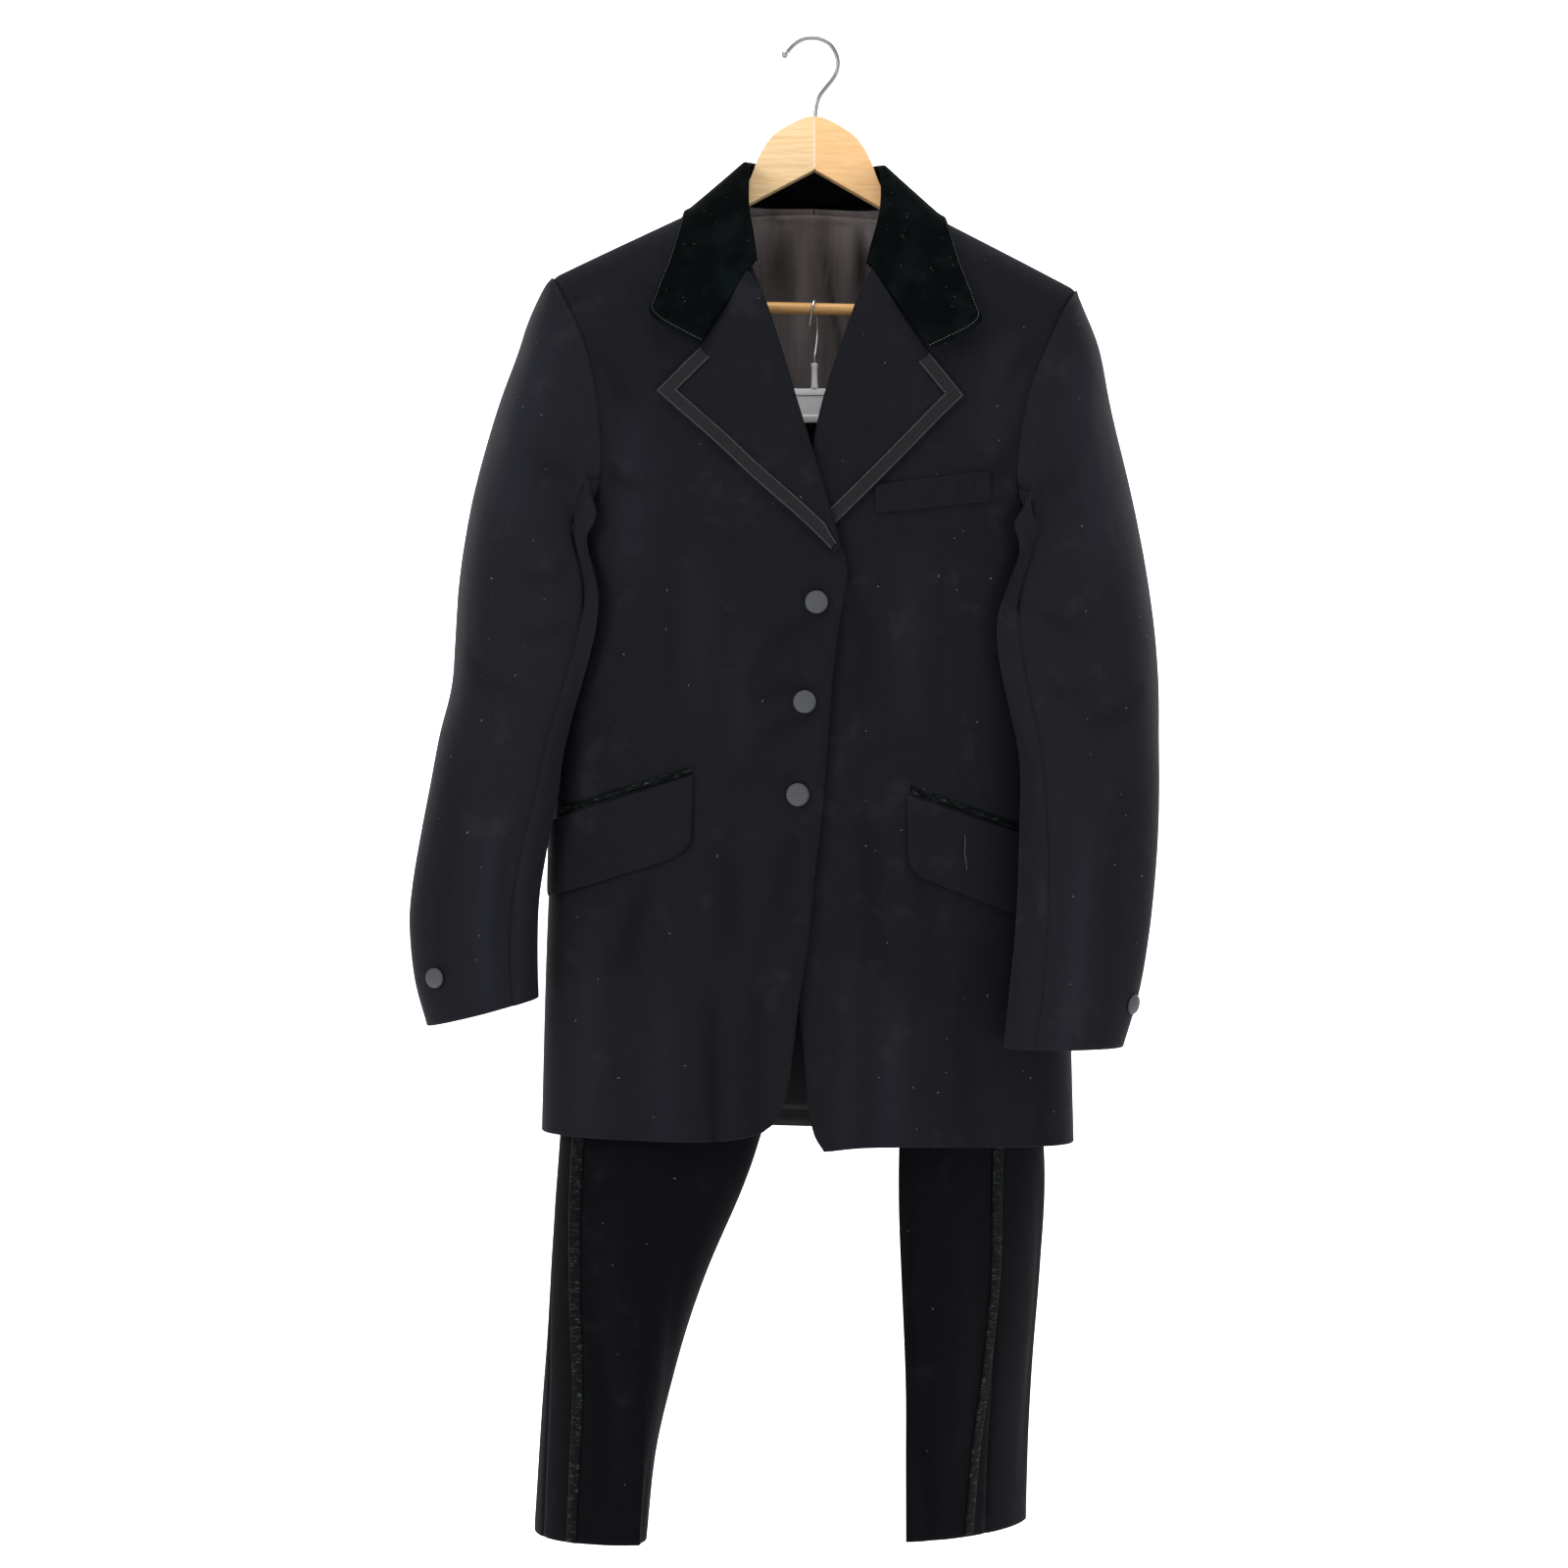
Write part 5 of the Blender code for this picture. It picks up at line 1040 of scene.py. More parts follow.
def wool_finish(name, strength):
    """Fine twill: a diagonal weave, a heathered black, lighter worn patches, and painted shade in the
    creases' troughs with painted highlight on their ridges.
    """
    made = Shades(name, Specular_IOR_Level=0.08 * strength, Sheen_Weight=0.024 * strength,
                  Sheen_Roughness=0.4, Sheen_Tint=colour(0.62, 0.68, 0.82))
    place, lay = made.place(), made.lay()
    u, v, _ = made.parts(lay)
    twill = made.ribs(u + v * 1.6, TWILL_PITCH)
    threads = made.ribs(u - v * 0.7, THREAD_PITCH)
    heather = made.noise(place, 900.0, 3.0, 0.7)
    cloudy = made.noise(place, 9.0, 4.0, 0.6)
    slubs = made.noise(made.stretched(place, (140.0, 140.0, 38.0)), 1.0, 3.0, 0.6)
    shade = (heather * 0.5 + slubs * 0.35 + cloudy * 0.35 - 0.1).held()
    # Strength scales the wool's colours, sheen and specular: above 1 it paints light in, below 1 it paints
    # shade in.
    deep = [tone * strength for tone in (0.0021, 0.0023, 0.0036)]
    pale = [tone * strength for tone in (0.0078, 0.0083, 0.0115)]
    base = made.mix(shade, colour(*deep), colour(*pale))
    worn = made.spread(made.noise(place, 28.0, 5.0, 0.6), 0.56, 0.72)
    base = made.mix(worn * 0.3 * strength, base, colour(0.0165, 0.0170, 0.0205))
    # Painted shade and highlight: the colour goes darker where creases sink in and lighter where they stand
    # out.
    relief = made.relief()
    base = made.mix((relief * -0.2).held(), base, colour(*[0.5 * tone for tone in deep]))
    base = made.mix((relief * 0.16).held(), base, colour(*[1.9 * tone for tone in pale]))
    height = twill * 0.55 + threads * 0.25 + heather * 0.5 + slubs * 0.3
    return made.finish(Base_Color=base, Roughness=(0.66 + cloudy * 0.2 + heather * 0.1).held(),
                       Normal=made.bump(height, 0.00022, 0.55))


def velvet_finish():
    made = Shades("velvet", Specular_IOR_Level=0.02, Sheen_Weight=0.014, Sheen_Roughness=0.25,
                  Sheen_Tint=colour(0.45, 0.62, 0.56))
    place = made.place()
    pile = made.noise(place, 1500.0, 3.0, 0.7)
    crushed = made.noise(place, 34.0, 4.0, 0.62)
    band = made.spread(crushed, 0.42, 0.66)
    base = made.mix(band * 0.8, colour(0.0009, 0.0015, 0.0016), colour(0.0030, 0.0047, 0.0050))
    base = made.mix(made.spread(pile, 0.66, 0.8) * 0.2, base, colour(0.013, 0.016, 0.016))
    return made.finish(Base_Color=base, Roughness=(0.8 + band * 0.15).held(),
                       Normal=made.bump(pile * 0.7 + crushed * 0.3, 0.0004, 0.6))


def lining_finish():
    """Brown twill satin: fine ribs along the body and a low soft shine."""
    made = Shades("lining", Specular_IOR_Level=0.16, Anisotropic=0.3, Sheen_Weight=0.02)
    place, lay = made.place(), made.lay()
    u, v, _ = made.parts(lay)
    ribs = made.ribs(u + v * 0.35, LINING_PITCH)
    streaks = made.noise(made.stretched(place, (260.0, 260.0, 14.0)), 1.0, 3.0, 0.6)
    cloudy = made.noise(place, 14.0, 3.0, 0.55)
    # The folds noise is painted shade and light of soft folds that the shell does not have; streaks and
    # cloudy are tone that varies at random.
    folds = made.noise(made.stretched(place, (52.0, 52.0, 5.0)), 1.0, 2.0, 0.5)
    base = made.mix((streaks * 0.4 + cloudy * 0.2 + folds * 0.9 - 0.25).held(), colour(0.056, 0.049, 0.050),
                    colour(0.270, 0.240, 0.243))
    # Painted shade along the raised pleats and painted light where the lining is pressed in.
    pleats = made.relief()
    base = made.mix((pleats * 0.26).held(), base, colour(0.012, 0.0095, 0.0095))
    base = made.mix((pleats * -0.3).held(), base, colour(0.26, 0.225, 0.225))
    # Painted shade: the lining goes almost black towards its bottom, where it lies in shade inside the
    # jacket.
    lower = made.spread(made.parts(place)[2], -0.56, -0.3)
    base = made.mix(lower, colour(0.0025, 0.0021, 0.0021), base)
    return made.finish(Base_Color=base, Roughness=(0.34 + streaks * 0.18).held(),
                       Normal=made.bump(ribs * 0.4 + streaks * 0.6, 0.00018, 0.4))


def satin_finish():
    """Ribbed satin with short cross glints, grey-green on black."""
    made = Shades("satin", Specular_IOR_Level=0.05)
    lay = made.lay()
    _, v, _ = made.parts(lay)
    cross = made.noise(made.stretched(lay, (160.0, 900.0, 1.0)), 1.0, 3.0, 0.75)
    blocks = made.noise(made.stretched(lay, (55.0, 210.0, 1.0)), 1.0, 2.0, 0.5)
    glint = (made.spread(cross, 0.52, 0.66) * made.spread(blocks, 0.43, 0.56)).held()
    base = made.mix(glint, colour(0.0006, 0.0012, 0.0013), colour(0.0400, 0.0520, 0.0480))
    ribs = made.ribs(v, SATIN_PITCH)
    return made.finish(Base_Color=base, Roughness=(0.6 - glint * 0.2).held(),
                       Normal=made.bump(ribs * 0.5 + cross * 0.5, 0.00025, 0.5))


def braid_finish():
    """Flat braid: close lengthwise ribs with a zigzag thread along both edges."""
    made = Shades("braid", Specular_IOR_Level=0.1, Sheen_Weight=0.02)
    place, lay = made.place(), made.lay()
    u, v, _ = made.parts(lay)
    ribs = made.ribs(u, BRAID_PITCH)
    picks = made.ribs(v, PICK_PITCH)
    fuzz = made.noise(place, 1100.0, 3.0, 0.7)
    base = made.mix((ribs * 0.55 + fuzz * 0.6 - 0.15).held(), colour(0.0032, 0.0034, 0.0042),
                    colour(0.0210, 0.0212, 0.0235))
    return made.finish(Base_Color=base, Roughness=0.72 + fuzz * 0.2,
                       Normal=made.bump(ribs * 0.7 + picks * 0.3 + fuzz * 0.3, 0.00035, 0.6))


def faille_finish():
    made = Shades("faille", Specular_IOR_Level=0.3)
    place = made.place()
    _, _, z = made.parts(place)
    ribs = made.ribs(z, RIB_PITCH)
    fleck = made.noise(made.stretched(place, (900.0, 900.0, 2600.0)), 1.0, 3.0, 0.7)
    base = made.mix((ribs * 0.5 + fleck * 0.6 - 0.1).held(), colour(0.0120, 0.0130, 0.0140),
                    colour(0.0850, 0.0900, 0.0950))
    return made.finish(Base_Color=base, Roughness=0.5 + fleck * 0.2,
                       Normal=made.bump(ribs * 0.8 + fleck * 0.2, 0.0003, 0.5))


def wood_finish(name, pale, deep, lean):
    """Lacquered wood with its grain along the arm."""
    made = Shades(name, Specular_IOR_Level=0.35, Coat_Weight=0.12, Coat_Roughness=0.3)
    place = made.place()
    along = made.stretched(place, (9.0, 60.0, 130.0), (0, lean, 0))
    figure = made.noise(along, 1.0, 4.0, 0.55)
    lines = made.noise(made.stretched(place, (26.0, 400.0, 900.0), (0, lean, 0)), 1.0, 4.0, 0.6)
    rings = (figure * 38.0 + lines * 3.0).sine() * 0.5 + 0.5
    pores = made.spread(lines, 0.62, 0.76)
    base = made.mix((rings * 0.45 + figure * 0.4).held(), pale, deep)
    base = made.mix(pores * 0.4, base, colour(deep[0] * 0.5, deep[1] * 0.42, deep[2] * 0.35))
    return made.finish(Base_Color=base, Roughness=(0.3 + rings * 0.12 + pores * 0.15).held(),
                       Normal=made.bump(lines * 0.6 + rings * 0.4, 0.0002, 0.3))


def steel_finish(name, deep, pale):
    made = Shades(name, Metallic=1.0)
    place = made.place()
    drawn = made.noise(made.stretched(place, (1800.0, 1800.0, 120.0)), 1.0, 3.0, 0.6)
    cloud = made.noise(place, 60.0, 3.0, 0.6)
    base = made.mix(cloud, colour(deep, deep, deep * 1.02), colour(pale, pale, pale * 1.02))
    return made.finish(Base_Color=base, Roughness=(0.26 + drawn * 0.16).held(),
                       Normal=made.bump(drawn, 0.00005, 0.3))


def plastic_finish():
    made = Shades("white_plastic", Specular_IOR_Level=0.45)
    place = made.place()
    grain = made.noise(place, 700.0, 2.0, 0.6)
    base = made.mix(made.noise(place, 22.0, 3.0), colour(0.95, 0.95, 0.96), colour(0.98, 0.98, 0.98))
    return made.finish(Base_Color=base, Roughness=0.36 + grain * 0.14, Normal=made.bump(grain, 0.0001, 0.25))


def thread_finish(name, pale, deep):
    made = Shades(name, Specular_IOR_Level=0.3)
    ply = made.noise(made.place(), 3000.0, 2.0)
    return made.finish(Base_Color=made.mix(ply, deep, pale), Roughness=0.75 + ply * 0.15)


def backdrop_finish():
    made = Shades("backdrop", Specular_IOR_Level=0.1, Emission_Color=colour(1, 1, 1), Emission_Strength=1.0)
    tone = made.noise(made.place(), 1.5, 2.0)
    return made.finish(Base_Color=made.mix(tone, colour(0.90, 0.90, 0.90), colour(0.92, 0.92, 0.92)),
                       Roughness=0.9 + tone * 0.05)


# The sleeves take a lighter copy of the wool, as painted light, and the trousers and waistband a darker copy,
# as painted shade.
WOOL, LIT_SLEEVE_WOOL = wool_finish("jacket_wool", 1.0), wool_finish("sleeve_wool_painted_light", 1.25)
SHADED_TROUSER_WOOL = wool_finish("trouser_wool_painted_shade", 0.45)
VELVET, LINING = velvet_finish(), lining_finish()
SATIN, BRAID, FAILLE = satin_finish(), braid_finish(), faille_finish()
WOOD_RIGHT = wood_finish("wood_right", colour(0.735, 0.56, 0.335), colour(0.61, 0.38, 0.176), 0.44)
WOOD_LEFT = wood_finish("wood_left", colour(0.74, 0.48, 0.246), colour(0.655, 0.36, 0.15), -0.44)
WOOD_BAR = wood_finish("wood_bar", colour(0.90, 0.52, 0.19), colour(0.76, 0.37, 0.10), 0.0)
# The clip hanger's hook wire takes a lighter copy of the steel: painted light on a wire that hangs in shade
# inside the jacket.
STEEL, LIT_CLIP_STEEL = steel_finish("hook_steel", 0.2, 0.4), steel_finish("clip_steel_painted_light", 0.7, 0.9)
PLASTIC = plastic_finish()
EDGE_THREAD = thread_finish("edge_thread", colour(0.21, 0.215, 0.205), colour(0.075, 0.077, 0.075))
FIBRE = thread_finish("lint", colour(0.42, 0.42, 0.40), colour(0.22, 0.22, 0.21))


def keep(piece, node, rests_on=()):
    """Joins a finished piece to the frame, in place of its solid."""
    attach(piece, "root")
    if node:
        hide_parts(node)
    return piece


# Jacket pieces

def front(side, word):
    """A front, from its shoulder and neckline to its hem and side seam."""
    u, v = np.meshgrid(shares(FRONT_COLUMNS), spaced(FRONT_ROWS, FRONT_STEPS))
    x, z = panel_place(side, False, FRONTS[side], u, v)
    grid = hung(jacket_skin(side, False, x, z))
    grid = seamed(grid, FORWARDS, ["first_row", "last_column"])
    relief = creased(FRONT_CREASES[side], x, z)
    piece = cloth("front_%s_cloth" % word, grid, CLOTH, FORWARDS, WOOL, LINING, relief=relief)
    return keep(piece, "front_" + word, ["hanger_arm_" + word])


def back(side, word):
    """Half of the back, from the middle seam to the side."""
    u, v = np.meshgrid(shares(BACK_COLUMNS), spaced(BACK_ROWS, BACK_STEPS))
    x, z = panel_place(side, True, BACK, u, v)
    grid = hung(jacket_skin(side, True, x, z))
    grid = seamed(grid, BACKWARDS, ["first_row", "first_column", "last_column"])
    relief = creased(BACK_CREASES, x, z)
    piece = cloth("back_%s_cloth" % word, grid, CLOTH, BACKWARDS, WOOL, LINING, relief=relief)
    return keep(piece, "back_" + word, ["hanger_arm_" + word])


def back_lining():
    """The lining across the whole back, with pressed pleats and small gathers under the collar."""
    last = BACK.keys[-1]
    first_row, last_row = LINING_ROWS[0], LINING_ROWS[-1]
    rows = spaced(LINING_ROWS, LINING_STEPS) * (last_row - first_row) / last + first_row / last
    u, v = np.meshgrid(shares(LINING_COLUMNS), rows)
    x, z = panel_place(LEFT, True, BACK, np.abs(2 * u - 1) * LINING_SHARE, v)
    x = np.copysign(x, u - 0.5)
    room = CLOTH + LINING_ROOM + COLLAR_ROOM * (1 - smoothstep(v * last / 2.5))
    pressed = np.clip(1.7 * creased(LINING_CREASES, x, z), -2 * MM, 5 * MM)
    gathers = GATHERS_DEPTH * np.sin(x / (2.1 * MM) + 1.7 * np.sin(x / (11 * MM)))
    gathers = gathers * np.exp(-((z - GATHERS_Z) / (7 * MM)) ** 2)
    grid = on_jacket(LEFT, x, z, -(room + pressed + gathers), back=True)
    piece = cloth("lining_cloth", grid, LINING_CLOTH, BACKWARDS, LINING, relief=pressed)
    return keep(piece, "back_lining", ["back_right_cloth", "back_left_cloth"])


def tucked(side, row):
    """The sleeve's first row carried a little way in, under the edge of the armhole."""
    row = row.copy()
    row[..., 0] -= side * TUCK_IN
    row[..., 1] -= np.sign(row[..., 1]) * np.minimum(TUCK_FLAT, np.abs(row[..., 1]))
    row[..., 2] -= TUCK_DOWN * smoothstep((row[..., 2] + 300 * MM) / (60 * MM))
    return row


def sleeve(side, word, part, start, stop, columns):
    last = SLEEVES[side].keys[-1]
    degrees, v = np.meshgrid(np.linspace(start, stop, columns), spaced(SLEEVE_ROWS, SLEEVE_STEPS, 0.55))
    grid = sleeve_skin(side, degrees * DEGREES, v * last)
    grid = np.concatenate([tucked(side, grid[:1]), grid])
    degrees, v = (np.concatenate([rows[:1], rows]) for rows in (degrees, v))
    guide = (side, -0.2, 0) if part == "top" else (-side, 0.2, 0)
    eased = smoothstep(v * last / 1.5)
    soft = creased(SLEEVE_CREASES[side], degrees * MM, v * last * SLEEVE_CREASE_STEP) * eased
    grid = moved_out(grid, guide, soft)
    grid = seamed(grid, guide, ["first_row", "first_column", "last_column"])
    low = ((v * last)[1:, 1:] > SLEEVE_LINING_FROM) & (v[1:, 1:] < SLEEVE_LINING_TO)
    name = "%s_sleeve_%s_cloth" % (part, word)
    piece = cloth(name, grid, CLOTH, guide, LIT_SLEEVE_WOOL, LINING, relief=soft, lined=low)
    rests = ["front_%s_cloth" % word, "back_%s_cloth" % word]
    return keep(piece, "%s_sleeve_%s" % (part, word), rests)


def clear_of_jacket(points, lift):
    """Collar points pushed out of the jacket that they lie on."""
    x, y, z = points[..., 0], points[..., 1], points[..., 2]
    below = z - 1.2 * lift
    limit = top_height(x) + np.where(np.abs(x) > NECK_HALF, 0.0, 1.0)
    behind = jacket_skin(LEFT, True, x, below)[..., 1]
    before = jacket_skin(LEFT, False, x, below)[..., 1]
    moved = np.where(y > 0, np.maximum(y, behind + lift), np.minimum(y, before - lift))
    return places(x, np.where(below >= limit, y, moved), z)


def collar_half(side, stations):
    """Across the collar at each station: up the stand, over the roll, down the fall."""
    sewn, roll, edge = (places(*[COLLAR.at("%s_%s" % (name, axis), stations) for axis in "xyz"])
                        for name in ("sewn", "roll", "edge"))
    if side == LEFT:
        shift = LEFT_GORGE_SHIFT * np.maximum(0.0, 1 - stations / 3) ** 1.5
        sewn[:, 0] -= shift
        roll[:, 0] -= shift
    bearing, rise = COLLAR.at("bearing", stations) * DEGREES, COLLAR.at("rise", stations)
    out = places(np.cos(bearing), np.sin(bearing), 0)
    bulge = places(-(1 - rise), 0, rise)
    top = roll + 0.5 * ROLL_WIDTH * out + ROLL_RISE * bulge
    fall = roll + ROLL_WIDTH * out
    first = [sewn, (sewn + roll) / 2, roll, top, fall]
    lift = COLLAR_CLOTH + 1.5 * MM
    rest = [clear_of_jacket(fall + (edge - fall) * share, lift) for share in np.linspace(0.07, 1, 15)]
    knots = np.stack(first + rest, axis=1)
    return rounded(knots, 4)


def rounded(knots, steps):
    """A smooth line through each row of knots."""
    before = np.concatenate([knots[:, :1], knots[:, :-1]], axis=1)
    after = np.concatenate([knots[:, 2:], knots[:, -1:]], axis=1)
    a, b = knots[:, :-1], knots[:, 1:]
    first, last = (b - before[:, :-1]) / 2, (after - a) / 2
    lines = []
    for k in range(steps):
        t = k / steps
        lines.append(a + first * t + (3 * (b - a) - 2 * first - last) * t * t
                     + (2 * (a - b) + first + last) * t ** 3)
    stacked = np.stack(lines, axis=2)
    return np.concatenate([stacked.reshape(len(knots), -1, knots.shape[-1]), knots[:, -1:]], axis=1)


def collar():
    """The velvet collar, all round the neck in one piece."""
    stations = np.linspace(0, COLLAR.keys[-1], COLLAR_STEPS)
    right = collar_half(RIGHT, stations[:-1])
    right[..., 0] *= -1
    grid = hung(np.concatenate([right, collar_half(LEFT, stations)[::-1]]))
    for _ in range(3):
        grid[1:-1] = 0.5 * grid[1:-1] + 0.25 * (grid[:-2] + grid[2:])
    piece = cloth("collar_cloth", grid, COLLAR_CLOTH, COLLAR_GUIDE, VELVET)
    rests = ["back_right_cloth", "back_left_cloth"]
    return keep(piece, "collar", rests), grid


def lapel_place(side, u, v):
    """A lapel's flat places, from its roll to its edge, with the notch in its top."""
    table = LAPELS[side]
    row = v * table.keys[-1]
    roll = np.stack([table.at("roll_x", row), table.at("roll_z", row)], axis=-1)
    edge = np.stack([table.at("edge_x", row), table.at("edge_z", row)], axis=-1)
    u = np.asarray(u, float)
    straight = roll + (edge - roll) * u[..., None]
    share, notch = GORGE[side]["share"], np.array(GORGE[side]["notch"]) * MM
    first = np.array((table.at("roll_x", 0), table.at("roll_z", 0)))
    last = np.array((table.at("edge_x", 0), table.at("edge_z", 0)))
    near = first + (notch - first) * (u / share)[..., None]
    beyond = notch + (last - notch) * ((u - share) / (1 - share))[..., None]
    bent = np.where((u < share)[..., None], near, beyond)
    shift = bent - (first + (last - first) * u[..., None])
    return straight + shift * (np.maximum(0.0, 1 - v / 0.35) ** 1.5)[..., None]


def lapel_lift(u, v):
    """Higher where the cloth rolls over, flat towards the edge and the lowest button."""
    return LAPEL_LIFT + LAPEL_ROLL * np.exp(-((u - 0.1) / 0.16) ** 2) * (1 - smoothstep(v * 1.25))


def lapel(side, word):
    """A lapel turned back along its roll, with its inner edge curled under."""
    u, v = np.meshgrid(shares(LAPEL_COLUMNS), shares(LAPEL_STEPS))
    spot = lapel_place(side, u, v)
    flat = on_jacket(side, spot[..., 0], spot[..., 1], lapel_lift(u, v))
    turn, down = np.meshgrid(np.linspace(np.pi, 0, CURL_STEPS)[:-1], v[:, 0])
    first = lapel_place(side, 0 * turn, down)
    lift = lapel_lift(0 * turn, down)
    reach = CURL_REACH * np.sin(turn) * (1 - 0.55 * smoothstep(down * 1.2))
    height = lift * (1 + np.cos(turn)) / 2 - 0.9 * MM * (1 - np.cos(turn)) / 2
    curl = on_jacket(side, first[..., 0] - side * reach, first[..., 1], height)
    grid = np.concatenate([curl, flat], axis=1)
    piece = cloth("lapel_%s_cloth" % word, grid, LAPEL_CLOTH, FORWARDS, WOOL)
    return keep(piece, "lapel_" + word, ["front_%s_cloth" % word])


def along_line(line, far):
    """The places a given way along a line of flat points."""
    steps = np.concatenate([[0.0], np.cumsum(np.linalg.norm(np.diff(line, axis=0), axis=1))])
    return np.stack([np.interp(far, steps, line[:, k]) for k in (0, 1)], axis=-1), steps[-1]


def braid(side, word):
    """A flat braid with a mitred corner at the lapel's point."""
    count = 200
    share, down = GORGE[side]["share"], np.linspace(0, BRAID_END, count)
    top = lapel_place(side, np.linspace(share, 1, 60), np.zeros(60))
    edge = lapel_place(side, np.ones(count), down)
    room = np.linalg.norm(edge - lapel_place(side, np.zeros(count), down), axis=1)
    into, out = unit(top[-1] - top[0]), unit(edge[6] - edge[0])
    half = np.arccos(np.clip(-into @ out, -1, 1)) / 2
    across = shares(15)
    middle = lapel_place(side, np.array(0.5), np.array(0.3))
    rows = []
    for line, steps, rising in ((top, 34, True), (edge, 150, False)):
        _, length = along_line(line, np.array([0.0]))
        for t in shares(steps)[(0 if rising else 1):]:
            near = np.interp(t, shares(count), room) if not rising else 1.0
            width = across * min(BRAID_WIDTH, 0.72 * near)
            cut = across * BRAID_WIDTH / np.tan(half)
            far = t * (length - cut) if rising else cut + t * (length - cut)
            spot, _ = along_line(line, far)
            ahead, _ = along_line(line, np.minimum(far + STEP, length))
            behind, _ = along_line(line, np.maximum(far - STEP, 0.0))
            way = unit(ahead - behind)
            inward = np.stack([-way[:, 1], way[:, 0]], axis=-1)
            facing = np.sign(((middle - spot) * inward).sum(axis=1, keepdims=True))
            rows.append(spot + inward * facing * width[:, None])
    spots = np.array(rows)
    ribs = 0.16 * MM * np.cos(across * 6 * 2 * np.pi) - 0.3 * MM * (np.abs(2 * across - 1) ** 8)
    lift = LAPEL_LIFT + SEAM + 0.35 * MM + BRAID_CLOTH + ribs
    grid = on_jacket(side, spots[..., 0], spots[..., 1], np.broadcast_to(lift, spots.shape[:2]))
    piece = cloth("braid_%s_cloth" % word, grid, BRAID_CLOTH, FORWARDS, BRAID)
    return keep(piece, "lapel_braid_" + word, ["lapel_%s_cloth" % word]), grid


def four_sided(corners, u, v, side):
    """Places between four corners, closer together where the front bends to its side."""
    (ax, az), (bx, bz), (cx, cz), (dx, dz) = [(x * MM, z * MM) for x, z in corners]
    if side == RIGHT and abs(bx) > SIDE_BEND:
        u = np.sin(np.pi / 2 * u) ** 0.9
    top_x, top_z = ax + (bx - ax) * u, az + (bz - az) * u
    low_x, low_z = dx + (cx - dx) * u, dz + (cz - dz) * u
    return top_x + (low_x - top_x) * v, top_z + (low_z - top_z) * v


def side_ease(x):
    """A little more room where the front bends to its side."""
    return 0.9 * MM * smoothstep((np.abs(x) - 190 * MM) / (35 * MM))


def flap(side, word):
    """A pocket flap with rounded lower corners, lifting a little towards its edge."""
    u, v = np.meshgrid(shares(FLAP_COLUMNS), 1 - (1 - shares(FLAP_STEPS)) ** 1.35)
    corners = FLAPS[side]
    tall = abs(corners[3][1] - corners[0][1]) * MM
    wide = abs(corners[1][0] - corners[0][0]) * MM
    below = np.clip((v - 1 + FLAP_CORNER / tall) / (FLAP_CORNER / tall), 0, 1)
    drawn = FLAP_CORNER / wide * (1 - np.sqrt(1 - below ** 2))
    x, z = four_sided(corners, drawn + (1 - 2 * drawn) * u, v, side)
    wave = np.sin(u * 5.1 + side) * 0.5 * MM + np.sin(u * 11.3) * 0.25 * MM
    lift = FLAP_LIFT + 2.0 * MM + side_ease(x) + v ** 2 * (0.9 * MM + wave) - 0.5 * MM * below ** 3
    grid = on_jacket(side, x, z, lift)
    piece = cloth("flap_%s_cloth" % word, grid, FLAP_CLOTH, FORWARDS, WOOL, LINING)
    return keep(piece, "flap_" + word, ["front_%s_cloth" % word])


def piping(side, word):
    """The narrow rolled satin edge above a flap."""
    u, v = np.meshgrid(shares(110), shares(15))
    x, z = four_sided(PIPING[side], u, v, side)
    round_over = np.sqrt(np.maximum(0.0, 1 - (2 * v - 1) ** 2))
    ends = np.minimum(np.minimum(u, 1 - u) / 0.02, 1.0) ** 0.5
    puckers = 0.16 * MM * np.sin(u * 96) * np.sin(u * 23 + 1)
    lift = 0.5 * MM + side_ease(x) + (1.9 * MM + puckers) * round_over * ends
    grid = on_jacket(side, x, z, lift)
    piece = cloth("piping_%s_cloth" % word, grid, PIPING_CLOTH, FORWARDS, SATIN)
    return keep(piece, "flap_piping_" + word, ["front_%s_cloth" % word])


def welt():
    """The breast pocket's welt, folded at its top edge."""
    u, v = np.meshgrid(shares(90), shares(34))
    x, z = four_sided(WELT, u, v, LEFT)
    roll = 0.7 * MM * np.exp(-((v - 0.12) / 0.12) ** 2) - 0.6 * MM * np.exp(-(v / 0.04) ** 2)
    sides = 0.6 * MM * (np.exp(-(u / 0.02) ** 2) + np.exp(-((1 - u) / 0.02) ** 2))
    lift = 0.5 * MM + 1.6 * MM + roll - sides + creased(WELT_CREASES, x, z)
    grid = on_jacket(LEFT, x, z, lift)
    piece = cloth("welt_cloth", grid, WELT_CLOTH, FORWARDS, WOOL)
    return keep(piece, "breast_welt", ["front_left_cloth"])


def button(name, node, place, normal, radius, height):
    """A cloth-covered button: a ribbed dome drawn in over its back."""
    count = 60
    turn = np.arange(count) / count * 2 * np.pi
    normal = unit(np.array(normal, float))
    across = unit(np.cross(normal, (0.0, 0.0, 1.0)))
    up = np.cross(across, normal)
    points = []
    for share, rise in BUTTON_PROFILE:
        x, z = share * radius * np.cos(turn), share * radius * np.sin(turn)
        ribs = 0.11 * MM * np.sin(2 * np.pi * z / RIB_PITCH) * (rise > 0.3)
        pleats = 0.1 * MM * np.sin(turn * 17) * (0.1 < rise < 0.6)
        lift = rise * height + ribs
        grown = 1 + pleats / (share * radius)
        points.append(place + np.outer(x * grown, across) + np.outer(z * grown, up) + np.outer(lift, normal))
    points = np.concatenate(points + [[place + normal * height], [place]])
    rings = len(BUTTON_PROFILE)
    faces = ring_faces(rings, count) + pole_faces(rings, count)
    piece = build(name, points, faces, [FAILLE])
    outwards(piece)
    return keep(piece, node)


